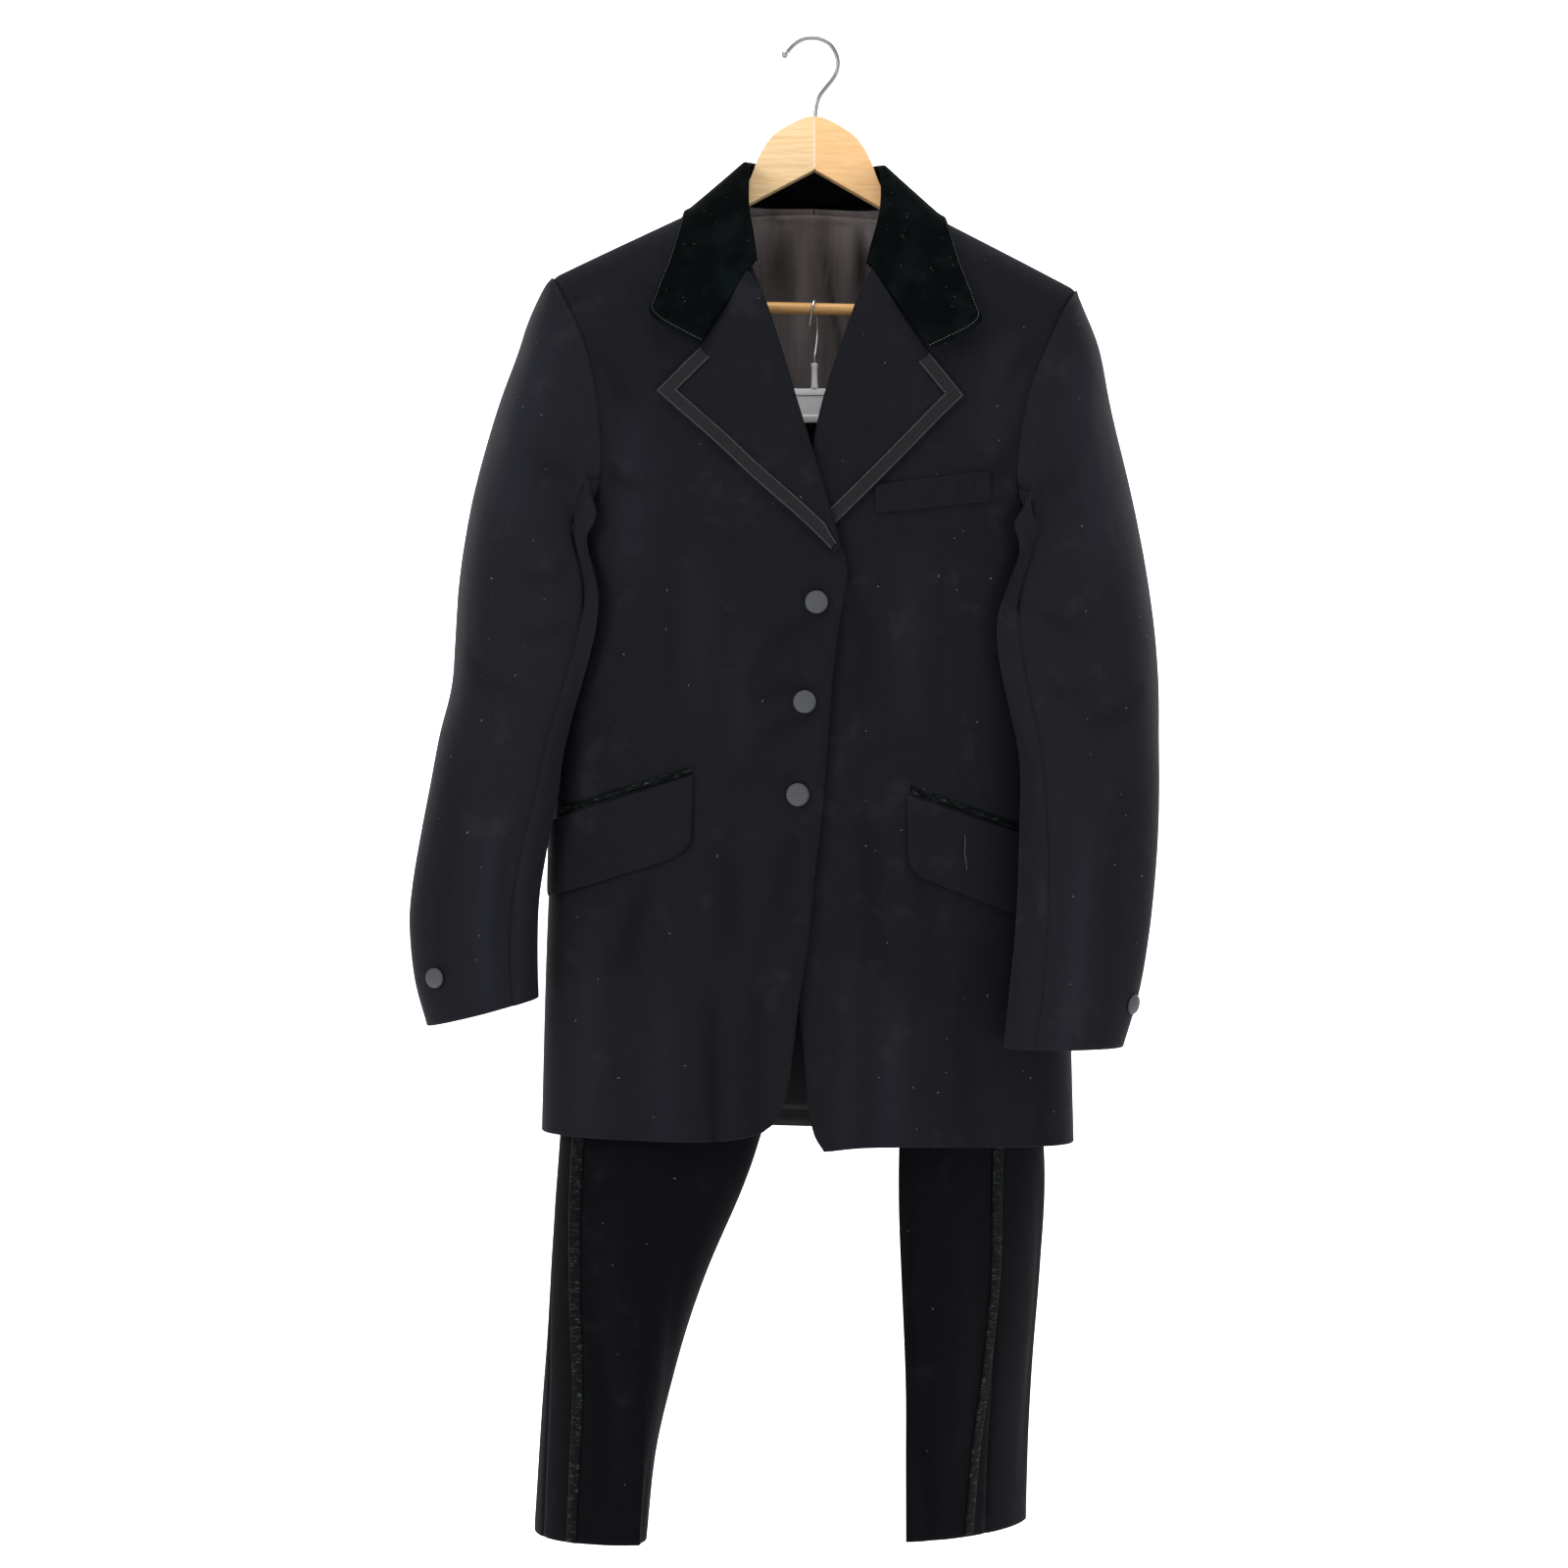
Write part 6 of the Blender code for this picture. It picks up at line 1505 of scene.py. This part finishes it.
def ring_faces(rings, count):
    """Faces between rings of points, each ring with the same count."""
    faces = []
    for start in range(0, (rings - 1) * count, count):
        for j in range(count):
            k = (j + 1) % count
            faces.append((start + j, start + k, start + count + k, start + count + j))
    return faces


def pole_faces(rings, count):
    """Fans that close the first and last ring on the two points after them."""
    first, last = rings * count, (rings - 1) * count
    faces = []
    for j in range(count):
        k = (j + 1) % count
        faces += [(first, k, j), (first + 1, last + j, last + k)]
    return faces


def outwards(piece):
    """Turns all faces of a closed piece out."""
    shape = bmesh.new()
    shape.from_mesh(piece.data)
    bmesh.ops.recalc_face_normals(shape, faces=shape.faces)
    if shape.calc_volume(signed=True) < 0:
        bmesh.ops.reverse_faces(shape, faces=shape.faces)
    shape.to_mesh(piece.data)
    shape.free()


def front_button(number, x, z, lift):
    """A button of the fastened front, square to its cloth."""
    x, z = np.array(x * MM), np.array(z * MM)
    spot = on_jacket(RIGHT, x, z, lift * MM + 0.2 * MM)
    normal = on_jacket(RIGHT, x, z, 12 * MM) - spot
    node = "front_button_%d" % number
    button("button_%d_covered" % number, node, spot, normal, BUTTON_RADIUS, BUTTON_HEIGHT)


def cuff_button(side, word):
    """A button on a sleeve, square to its cloth."""
    station, degrees = CUFF_BUTTONS[side]
    angle = degrees * DEGREES
    point = sleeve_skin(side, angle, station)
    ahead = sleeve_skin(side, angle + 0.1, station) - sleeve_skin(side, angle - 0.1, station)
    down = sleeve_skin(side, angle, station + 0.1) - sleeve_skin(side, angle, station - 0.1)
    normal = unit(np.cross(ahead, down))
    middle = (sleeve_skin(side, 0.0, station) + sleeve_skin(side, np.pi, station)) / 2
    normal = normal if normal @ (point - middle) > 0 else -normal
    button("cuff_button_%s_covered" % word, "cuff_button_" + word, point - normal * 0.9 * MM, normal,
           CUFF_BUTTON_RADIUS, CUFF_BUTTON_HEIGHT)


# Trousers

def leg_creases(side, angle, z):
    """How far a leg's creases move it, and the share that grows below the jacket's pockets."""
    lower = smoothstep((LEG_CREASES_FROM - z) / (120 * MM))
    return creased(LEG_CREASES[side], angle / DEGREES * 1.3 * MM, z) * lower, lower


def leg_panel(side, word, back, columns):
    """The front or back of a leg, from seam to seam, with its pressed crease."""
    gap = 0.0025
    start, stop = (gap, np.pi - gap) if not back else (2 * np.pi - gap, np.pi + gap)
    angle, v = np.meshgrid(start + (stop - start) * shares(columns), shares(LEG_STEPS))
    z = leg_height(v, angle)
    grid = leg_skin(side, angle, z)
    upper = z > CROTCH_Z - 4 * MM
    grid[..., 0] = np.where(upper, side * np.maximum(side * grid[..., 0], SEAM / 2), grid[..., 0])
    grid[..., 1] += np.where(upper, SEAM if back else -SEAM, 0.0)
    guide = BACKWARDS if back else FORWARDS
    soft, lower = leg_creases(side, angle, z)
    ends = np.minimum(smoothstep(np.abs(angle - start) / 0.15), smoothstep(np.abs(angle - stop) / 0.15))
    crease = 270 if back else 90
    pressed = PRESSED_CREASE * np.exp(-((angle / DEGREES - crease) / 2.2) ** 2) * lower
    grid = moved_out(grid, guide, (soft + pressed) * ends)
    grid = seamed(grid, guide, ["first_column", "last_column"], 0.7 * MM, 2.2 * MM)
    part = "back" if back else "front"
    name = "trouser_%s_%s_cloth" % (part, word)
    piece = cloth(name, grid, LEG_CLOTH, guide, SHADED_TROUSER_WOOL, relief=soft)
    return keep(piece, "trouser_%s_%s" % (part, word), ["waistband_cloth"])


def stripe(side, word):
    """A satin stripe down the outside of a leg."""
    table = LEGS[side]
    across, share = np.meshgrid(np.linspace(-1, 1, 13), shares(260))
    z = WAIST_BOTTOM - 2 * MM + (TROUSER_HEM - 3 * MM - WAIST_BOTTOM + 2 * MM) * share
    half = 0.5 * STRIPE_WIDTH / np.maximum(table.at("crease", z), 30 * MM)
    angle = table.at("stripe", z) * DEGREES + half * across
    point, ahead = leg_skin(side, angle, z), leg_skin(side, angle + 0.01, z)
    way = ahead - point
    normal = unit(places(way[..., 1], -way[..., 0], 0))
    centre = places(table.at("across", z), table.at("along", z), z)
    facing = np.sign((normal * (point - centre)).sum(axis=-1, keepdims=True))
    lift = STRIPE_LIFT + STRIPE_CLOTH + leg_creases(side, angle, z)[0] - 0.35 * MM * np.abs(across) ** 6
    grid = point + normal * facing * lift[..., None]
    piece = cloth("stripe_%s_cloth" % word, grid, STRIPE_SATIN, (side, 0, 0), SATIN)
    rests = ["trouser_front_%s_cloth" % word, "trouser_back_%s_cloth" % word]
    return keep(piece, "trouser_stripe_" + word, rests)


def waistband():
    """The waistband as one closed band, pressed flat as it hangs."""
    turn, v = np.meshgrid(np.linspace(0, 2 * np.pi, 181), shares(18))
    c, s = np.cos(turn), np.sin(turn)
    soft = 0.35 * MM * np.exp(-((v - 0.1) / 0.1) ** 2)
    x = np.sign(c) * np.abs(c) ** 0.4 * (WAIST_HALF_X + soft - 0.2 * MM)
    y = np.sign(s) * np.abs(s) ** 0.4 * (WAIST_HALF_Y + soft - 0.2 * MM)
    grid = places(x, y, WAIST_TOP + (WAIST_BOTTOM - WAIST_TOP) * v)
    rows, columns = grid.shape[0], grid.shape[1] - 1
    outer = grid[:, :-1]
    inner = outer - places(np.sign(c), np.sign(s), 0)[:, :-1] * CLOTH * np.array((0.7, 1.0, 0))
    points = np.concatenate([outer.reshape(-1, 3), inner.reshape(-1, 3)])
    faces, offset = [], rows * columns
    for j in range(columns):
        k = (j + 1) % columns
        for i in range(rows - 1):
            a, b, c_, d = i * columns + j, i * columns + k, (i + 1) * columns + k, (i + 1) * columns + j
            faces += [(a, b, c_, d), (offset + d, offset + c_, offset + b, offset + a)]
        low = (rows - 1) * columns
        faces += [(k, j, offset + j, offset + k), (low + j, low + k, offset + low + k, offset + low + j)]
    around = np.concatenate([lengths_along(grid, 1)[:, :-1].ravel()] * 2)
    fall = np.concatenate([(grid[:, :-1, 2] - WAIST_TOP).ravel()] * 2)
    piece = build("waistband_cloth", points, faces, [SHADED_TROUSER_WOOL], np.stack([around, fall], axis=-1))
    outwards(piece)
    return keep(piece, "waistband", ["clip_plate_moulded"])


# Hangers

def applied(item):
    """The object with its modifiers made real and its place put into its mesh."""
    bpy.context.view_layer.update()
    graph = bpy.context.evaluated_depsgraph_get()
    mesh = bpy.data.meshes.new_from_object(item.evaluated_get(graph))
    mesh.transform(item.matrix_world)
    made = placed("made", mesh)
    name = item.name
    bpy.data.objects.remove(item, do_unlink=True)
    made.name = mesh.name = name
    return made


def smooth_route(route, steps):
    return rounded(np.array(route, float)[None], steps)[0]


def traced(name, points, dimensions, finish):
    """A curve through points, and its one line."""
    data = bpy.data.curves.new(name, "CURVE")
    data.dimensions = dimensions
    data.materials.append(finish)
    spline = data.splines.new("POLY")
    spline.points.add(len(points) - 1)
    for target, point in zip(spline.points, points):
        target.co = (*point, 1)
    return data, spline


def wire(name, node, route, diameter, finish):
    """A round wire along a route in millimetres."""
    data, _ = traced(name, smooth_route(np.array(route) * MM, 6), "3D", finish)
    data.bevel_depth = diameter / 2
    data.bevel_resolution = 6
    data.use_fill_caps = True
    piece = applied(placed(name, data))
    piece.data.shade_smooth()
    piece.data.set_sharp_from_angle(angle=math.radians(50))
    return keep(piece, node)


def turned(name, node, profile, start, end, finish, slot, sides=48):
    """A piece turned about the line from start to end: places along it and radii."""
    start, end = np.array(start, float), np.array(end, float)
    axis = unit(end - start)
    across = unit(np.cross(axis, (0.0, 1.0, 0.0)))
    other = np.cross(axis, across)
    turn = np.arange(sides) / sides * 2 * np.pi
    rings = []
    for far, radius in profile:
        ring = start + axis * far + np.outer(np.cos(turn) * radius, across)
        rings.append(ring + np.outer(np.sin(turn) * radius, other))
    points = np.concatenate(rings + [[start + axis * profile[0][0]], [start + axis * profile[-1][0]]])
    faces = ring_faces(len(profile), sides) + pole_faces(len(profile), sides)
    piece = build(name, points, faces, [finish], sharp=40)
    outwards(piece)
    return keep(piece, node)


def hanger_arm(side, word, finish):
    """Half of the wooden hanger: a smooth outline with well eased edges."""
    outline = np.array(ARM_OUTLINE) * MM
    upper = smooth_route(outline[:10], 5)
    tip = smooth_route(outline[10:17], 4)
    lower = smooth_route(outline[17:], 4)
    points = [(side * x, z - TILT * side * x, 0) for x, z in np.concatenate([upper, tip, lower])]
    name = "hanger_arm_%s_wood" % word
    data, spline = traced(name, points, "2D", finish)
    spline.use_cyclic_u = True
    data.fill_mode = "BOTH"
    data.extrude = ARM_THICK / 2
    item = placed(name, data)
    item.rotation_euler = (math.radians(90), 0, 0)
    weld = item.modifiers.new("weld", "WELD")
    weld.merge_threshold = 0.00005
    bevel = item.modifiers.new("ease", "BEVEL")
    bevel.width = ARM_BEVEL
    bevel.segments = 5
    bevel.limit_method = "ANGLE"
    bevel.angle_limit = math.radians(60)
    piece = applied(item)
    outwards(piece)
    piece.data.shade_smooth()
    piece.data.set_sharp_from_angle(angle=math.radians(35))
    return keep(piece, "hanger_arm_" + word)


def clip(side, word):
    """A saddle clip with a rolled mouth at both sides."""
    inner = WAIST_HALF_Y + 0.3 * MM
    top = PLATE["top"] + 0.3 * MM
    half = [(inner + CLIP_SHEET / 2, CLIP_LOW + 0.4 * MM), (inner + CLIP_SHEET / 2, top - 3 * MM),
            (inner - 0.2 * MM, top + CLIP_SHEET / 2 - 0.3 * MM), (inner - 3 * MM, top + CLIP_SHEET / 2)]
    line = [(-y, z) for y, z in half] + half[::-1]
    line = smooth_route(line, 5)
    way = unit(np.gradient(line, axis=0))
    normal = np.stack([-way[:, 1], way[:, 0]], axis=-1)
    outside, under = line + normal * CLIP_SHEET / 2, line - normal * CLIP_SHEET / 2
    loop = np.concatenate([outside, under[::-1]])
    count = len(loop)
    halves = [-CLIP_WIDTH / 2, -CLIP_WIDTH / 2 + 0.5 * MM, CLIP_WIDTH / 2 - 0.5 * MM, CLIP_WIDTH / 2]
    points = [[side * CLIP_X + x, y, z] for x in halves for y, z in loop]
    faces = ring_faces(len(halves), count)
    for base in (0, (len(halves) - 1) * count):
        faces += [(base + j, base + j + 1, base + count - 2 - j, base + count - 1 - j)
                  for j in range(count // 2 - 1)]
    piece = build("clip_%s_steel" % word, points, faces, [STEEL], sharp=35)
    outwards(piece)
    return keep(piece, "trouser_clip_" + word)


def plate():
    """The clip hanger's moulded bar, with a raised rib along each face."""
    half, thick = PLATE["half"], PLATE["thick"] / 2
    tall = (PLATE["top"] - PLATE["low"]) / 2
    middle = (PLATE["top"] + PLATE["low"]) / 2
    front = [(1, -0.9), (1, -0.62), (0.72, -0.56), (0.72, 0.56), (1, 0.62), (1, 0.9)]
    section = [(-0.85, -1), (0.85, -1)] + front + [(0.85, 1), (-0.85, 1)] + [(-y, -z) for y, z in front]
    stops = [(-1, 0.6), (-0.992, 0.85), (-0.98, 1), (0.98, 1), (0.992, 0.85), (1, 0.6)]
    count = len(section)
    points = [(x * half, y * thick, middle + z * tall * size) for x, size in stops for y, z in section]
    faces = ring_faces(len(stops), count)
    faces += [tuple(range(count)), tuple((len(stops) - 1) * count + j for j in range(count))]
    piece = build("clip_plate_moulded", points, faces, [PLASTIC], sharp=35)
    outwards(piece)
    return keep(piece, "clip_hanger_plate")


def hangers():
    """The wooden hanger and the clip hanger that holds the trousers."""
    hanger_arm(RIGHT, "right", WOOD_RIGHT)
    hanger_arm(LEFT, "left", WOOD_LEFT)
    length = 2 * BAR_HALF
    half = np.array((BAR_HALF, 0, -TILT * BAR_HALF))
    bar = [(0, BAR_RADIUS * 0.86), (0.6 * MM, BAR_RADIUS)]
    bar += [(far * length, BAR_RADIUS) for far in np.linspace(0.05, 0.95, 7)]
    bar += [(length - 0.6 * MM, BAR_RADIUS), (length, BAR_RADIUS * 0.86)]
    middle = np.array((0, 0, BAR_Z))
    turned("hanger_bar_wood", "hanger_bar", bar, middle - half, middle + half, WOOD_BAR, "wood")
    route = [(x, 0, z) for x, z in HOOK_ROUTE]
    wire("hanger_hook_wire", "hanger_hook", route, HOOK_WIRE, STEEL)
    ball = [(HOOK_TIP_RADIUS * (1 - math.cos(a)), HOOK_TIP_RADIUS * math.sin(a))
            for a in np.linspace(0.12, math.pi - 0.12, 22)]
    low = np.array(HOOK_TIP) * MM
    turned("hanger_hook_ball", "hanger_hook_tip", ball, low - (0, 0, HOOK_TIP_RADIUS),
           low + (0, 0, HOOK_TIP_RADIUS), STEEL, "hook_steel", 40)
    wire("clip_hook_wire", "clip_hanger_hook", CLIP_HOOK_ROUTE, CLIP_WIRE, LIT_CLIP_STEEL)
    foot = PLATE["top"] + 0.3 * MM
    tall = STEM_TOP - foot
    stem = [(0, STEM_RADIUS), (tall * 0.15, STEM_RADIUS), (tall * 0.3, STEM_RADIUS * 0.86),
            (tall * 0.8, STEM_RADIUS * 0.86), (tall * 0.9, STEM_RADIUS), (tall - 0.5 * MM, STEM_RADIUS),
            (tall, STEM_RADIUS * 0.75)]
    turned("clip_stem_moulded", "clip_hanger_stem", stem, (0, 0, foot), (0, 0, STEM_TOP), PLASTIC,
           "white_plastic", 40)
    plate()
    clip(RIGHT, "right")
    clip(LEFT, "left")


# Geometry Nodes: stitches along a line, and lint lying on cloth

def socket_of(tree, name):
    return next(item.identifier for item in tree.interface.items_tree if item.name == name)


def join(tree, node, output, other, name):
    tree.links.new(node.outputs[output], other.inputs[name])


def new_tree(name, inputs):
    """A tree with a geometry in and out, and named inputs: their kinds and first values."""
    tree = bpy.data.node_groups.new(name, "GeometryNodeTree")
    add = tree.interface.new_socket
    add("Geometry", in_out="INPUT", socket_type="NodeSocketGeometry")
    for key, kind, first in inputs:
        add(key, in_out="INPUT", socket_type="NodeSocket" + kind).default_value = first
    add("Geometry", in_out="OUTPUT", socket_type="NodeSocketGeometry")
    return tree, tree.nodes.new("NodeGroupInput")


def beaded(tree, finish):
    """A small bead on each point, made real and given its finish."""
    new = tree.nodes.new
    bead, place = new("GeometryNodeMeshIcoSphere"), new("GeometryNodeInstanceOnPoints")
    real, paint = new("GeometryNodeRealizeInstances"), new("GeometryNodeSetMaterial")
    bead.inputs["Subdivisions"].default_value = 1
    bead.inputs["Radius"].default_value = 0.5
    paint.inputs["Material"].default_value = finish
    join(tree, bead, 0, place, "Instance")
    join(tree, place, 0, real, 0)
    join(tree, real, 0, paint, 0)
    join(tree, paint, 0, new("NodeGroupOutput"), 0)
    return place


def stitch_tree(finish):
    sizes = (("Pitch", "Float", 0.003), ("Length", "Float", 0.002), ("Thickness", "Float", 0.0004))
    tree, source = new_tree("stitches", sizes)
    place, size = beaded(tree, finish), tree.nodes.new("ShaderNodeCombineXYZ")
    curve = tree.nodes.new("GeometryNodeMeshToCurve")
    points = tree.nodes.new("GeometryNodeCurveToPoints")
    points.mode = "LENGTH"
    join(tree, source, "Geometry", curve, "Mesh")
    join(tree, curve, 0, points, "Curve")
    join(tree, source, "Pitch", points, "Length")
    join(tree, points, "Points", place, "Points")
    join(tree, points, "Rotation", place, "Rotation")
    for axis, output in (("X", "Thickness"), ("Y", "Thickness"), ("Z", "Length")):
        join(tree, source, output, size, axis)
    join(tree, size, 0, place, "Scale")
    return tree


def grown(name, mesh, tree, sizes):
    """What a tree makes on a mesh, as a plain mesh of its own."""
    item = placed(name, mesh)
    modifier = item.modifiers.new(tree.name, "NODES")
    modifier.node_group = tree
    for key, size in sizes.items():
        modifier[socket_of(tree, key)] = size
    return applied(item)


def stitches(name, line, tree, slot, pitch, length, thickness):
    """Short stitches laid along a line of points."""
    mesh = bpy.data.meshes.new(name)
    mesh.from_pydata(np.asarray(line).tolist(), [(i, i + 1) for i in range(len(line) - 1)], [])
    piece = grown(name, mesh, tree, {"Pitch": pitch, "Length": length, "Thickness": thickness})
    piece.data.shade_smooth()
    return keep(piece, None)


def lint_tree(finish):
    sizes = (("Density", "Float", 1000.0), ("Seed", "Int", 1), ("Length", "Float", 0.002))
    tree, source = new_tree("lint", sizes)
    place, new = beaded(tree, finish), tree.nodes.new
    scatter, stretch = new("GeometryNodeDistributePointsOnFaces"), new("ShaderNodeMath")
    turn, length = new("FunctionNodeRandomValue"), new("FunctionNodeRandomValue")
    size, rotate = new("ShaderNodeCombineXYZ"), new("FunctionNodeRotateRotation")
    turn.data_type, length.data_type = "FLOAT_VECTOR", "FLOAT"
    rotate.rotation_space, stretch.operation = "LOCAL", "MULTIPLY"
    turn.inputs["Max"].default_value = (0.5, 0.5, 6.283)
    length.inputs[2].default_value = 0.25
    size.inputs["Y"].default_value = 0.00032
    size.inputs["Z"].default_value = 0.00025
    join(tree, source, "Geometry", scatter, "Mesh")
    join(tree, source, "Density", scatter, "Density")
    join(tree, source, "Seed", scatter, "Seed")
    join(tree, scatter, "Points", place, "Points")
    join(tree, scatter, "Rotation", rotate, "Rotation")
    join(tree, turn, 0, rotate, "Rotate By")
    join(tree, rotate, 0, place, "Rotation")
    join(tree, length, 1, stretch, 0)
    join(tree, source, "Length", stretch, 1)
    join(tree, stretch, 0, size, "X")
    join(tree, size, 0, place, "Scale")
    return tree


def lint(name, piece, tree, density, seed, length):
    """Fibres scattered over the outside of a piece of cloth."""
    grid, guide = SKINS[piece]
    grid = grid[1::3, 1::3]
    raised = moved_out(grid, guide, LINT_LIFT)[2:-2, 2:-2]
    rows, columns = raised.shape[:2]
    index = np.arange(rows * columns).reshape(rows, columns)
    faces = np.stack([index[:-1, :-1], index[:-1, 1:], index[1:, 1:], index[1:, :-1]], axis=-1).reshape(-1, 4)
    mesh = bpy.data.meshes.new(name)
    mesh.from_pydata(raised.reshape(-1, 3).tolist(), [], faces.tolist())
    made = grown(name, mesh, tree, {"Density": density, "Seed": seed, "Length": length})
    return keep(made, None)


# Stage, light and camera

# The stage in metres, and each lamp's place, the height it aims at, its size and power
STAGE_HALF, STAGE_AHEAD, STAGE_BEHIND, STAGE_FLOOR, STAGE_TOP, STAGE_CURVE = 5.0, -5.0, 4.2, -1.46, 2.6, 0.9
LAMPS = [
    ("key", (-2.1, -1.9, 0.7), -0.6, (1.1, 1.5), 50),
    ("fill", (2.3, -1.6, 0.0), -0.7, (1.2, 1.6), 24),
    ("over", (0.1, -0.8, 1.4), -0.5, (1.4, 0.9), 24),
    ("back_left", (2.0, 2.0, 0.4), -0.6, (1.2, 1.8), 26),
    ("back_right", (-2.0, 2.0, 0.4), -0.6, (1.2, 1.8), 26),
]
SKY_LIGHT, SKY_SEEN = 0.28, 1.0
CAMERA_PLACE, CAMERA_LENS, CAMERA_SENSOR = (-0.027, -2.6, -0.6603), 67.24, 36.0


def stage():
    """A seamless pale floor that curves up into the backdrop."""
    foot = STAGE_BEHIND - STAGE_CURVE
    line = [(STAGE_AHEAD, STAGE_FLOOR), (foot, STAGE_FLOOR)]
    line += [(foot + STAGE_CURVE * math.sin(a), STAGE_FLOOR + STAGE_CURVE * (1 - math.cos(a)))
             for a in np.linspace(0, math.pi / 2, 24)[1:]]
    line += [(STAGE_BEHIND, STAGE_TOP)]
    points = [(x, y, z) for x in (-STAGE_HALF, STAGE_HALF) for y, z in line]
    count = len(line)
    faces = [(i, i + 1, count + i + 1, count + i) for i in range(count - 1)]
    item = build("backdrop", points, faces, [backdrop_finish()], sharp=180)


def area_light(name, place, aim_z, size, power):
    data = bpy.data.lights.new(name, "AREA")
    data.shape = "RECTANGLE"
    data.size, data.size_y = size
    data.energy = power
    item = placed(name, data)
    item.location = place
    aim = Vector((0, 0, aim_z)) - Vector(place)
    item.rotation_euler = aim.to_track_quat("-Z", "Y").to_euler()


def lights():
    """The sky, softer for what it lights than for the camera, and the lamps."""
    world = bpy.data.worlds.new("studio")
    bpy.context.scene.world = world
    world.use_nodes = True
    nodes, links = world.node_tree.nodes, world.node_tree.links
    lit, seen = nodes["Background"], nodes.new("ShaderNodeBackground")
    for background, strength in ((lit, SKY_LIGHT), (seen, SKY_SEEN)):
        background.inputs["Color"].default_value = (1, 1, 1, 1)
        background.inputs["Strength"].default_value = strength
    path, both = nodes.new("ShaderNodeLightPath"), nodes.new("ShaderNodeMixShader")
    links.new(path.outputs["Is Camera Ray"], both.inputs[0])
    links.new(lit.outputs[0], both.inputs[1])
    links.new(seen.outputs[0], both.inputs[2])
    links.new(both.outputs[0], nodes["World Output"].inputs[0])
    for lamp in LAMPS:
        area_light(*lamp)


def camera():
    """A long lens straight in front of the garment."""
    data = bpy.data.cameras.new("camera")
    data.lens, data.sensor_width = CAMERA_LENS, CAMERA_SENSOR
    item = placed("camera", data)
    item.location = CAMERA_PLACE
    item.rotation_euler = (math.radians(90), 0, 0)
    bpy.context.scene.camera = item
    bpy.context.scene.view_settings.view_transform = "Standard"


camera()
stage()
lights()
hangers()
for side, word in SIDES:
    front(side, word)
for side, word in SIDES:
    back(side, word)
back_lining()
braids = {}
for side, word in SIDES:
    for part, (start, stop, columns) in SLEEVE_PARTS.items():
        sleeve(side, word, part, start, stop, columns)
    lapel(side, word)
    braids[word] = braid(side, word)[1]
    flap(side, word)
    piping(side, word)
    cuff_button(side, word)
    leg_panel(side, word, False, LEG_FRONT_COLUMNS)
    leg_panel(side, word, True, LEG_BACK_COLUMNS)
    stripe(side, word)
welt()
collar_grid = collar()[1]
waistband()
for i, (x, z, lift) in enumerate(FRONT_BUTTONS):
    front_button(i + 1, x, z, lift)

fibres = lint_tree(FIBRE)
for seed, (piece, density, length) in enumerate(LINT):
    lint(piece.replace("cloth", "lint"), piece, fibres, density, seed + 3, length * MM)
flat = np.array(LOOSE_THREAD) * MM
route = on_jacket(LEFT, flat[:, 0], flat[:, 1], np.full(len(flat), THREAD_LIFT))
wire("loose_thread", None, route / MM, THREAD_WIDTH, EDGE_THREAD)

thread = stitch_tree(EDGE_THREAD)
edge_line = moved_out(collar_grid, COLLAR_GUIDE, STITCH_LIFT)[:, -3]
stitches("collar_edge_stitches", edge_line, thread, "velvet", *COLLAR_STITCH)
for word, grid in braids.items():
    raised = moved_out(grid, FORWARDS, LINT_LIFT)
    for edge, column in (("outer", 1), ("inner", 13)):
        name = "braid_%s_%s_stitches" % (word, edge)
        stitches(name, raised[:, column], thread, "braid", *BRAID_STITCH)
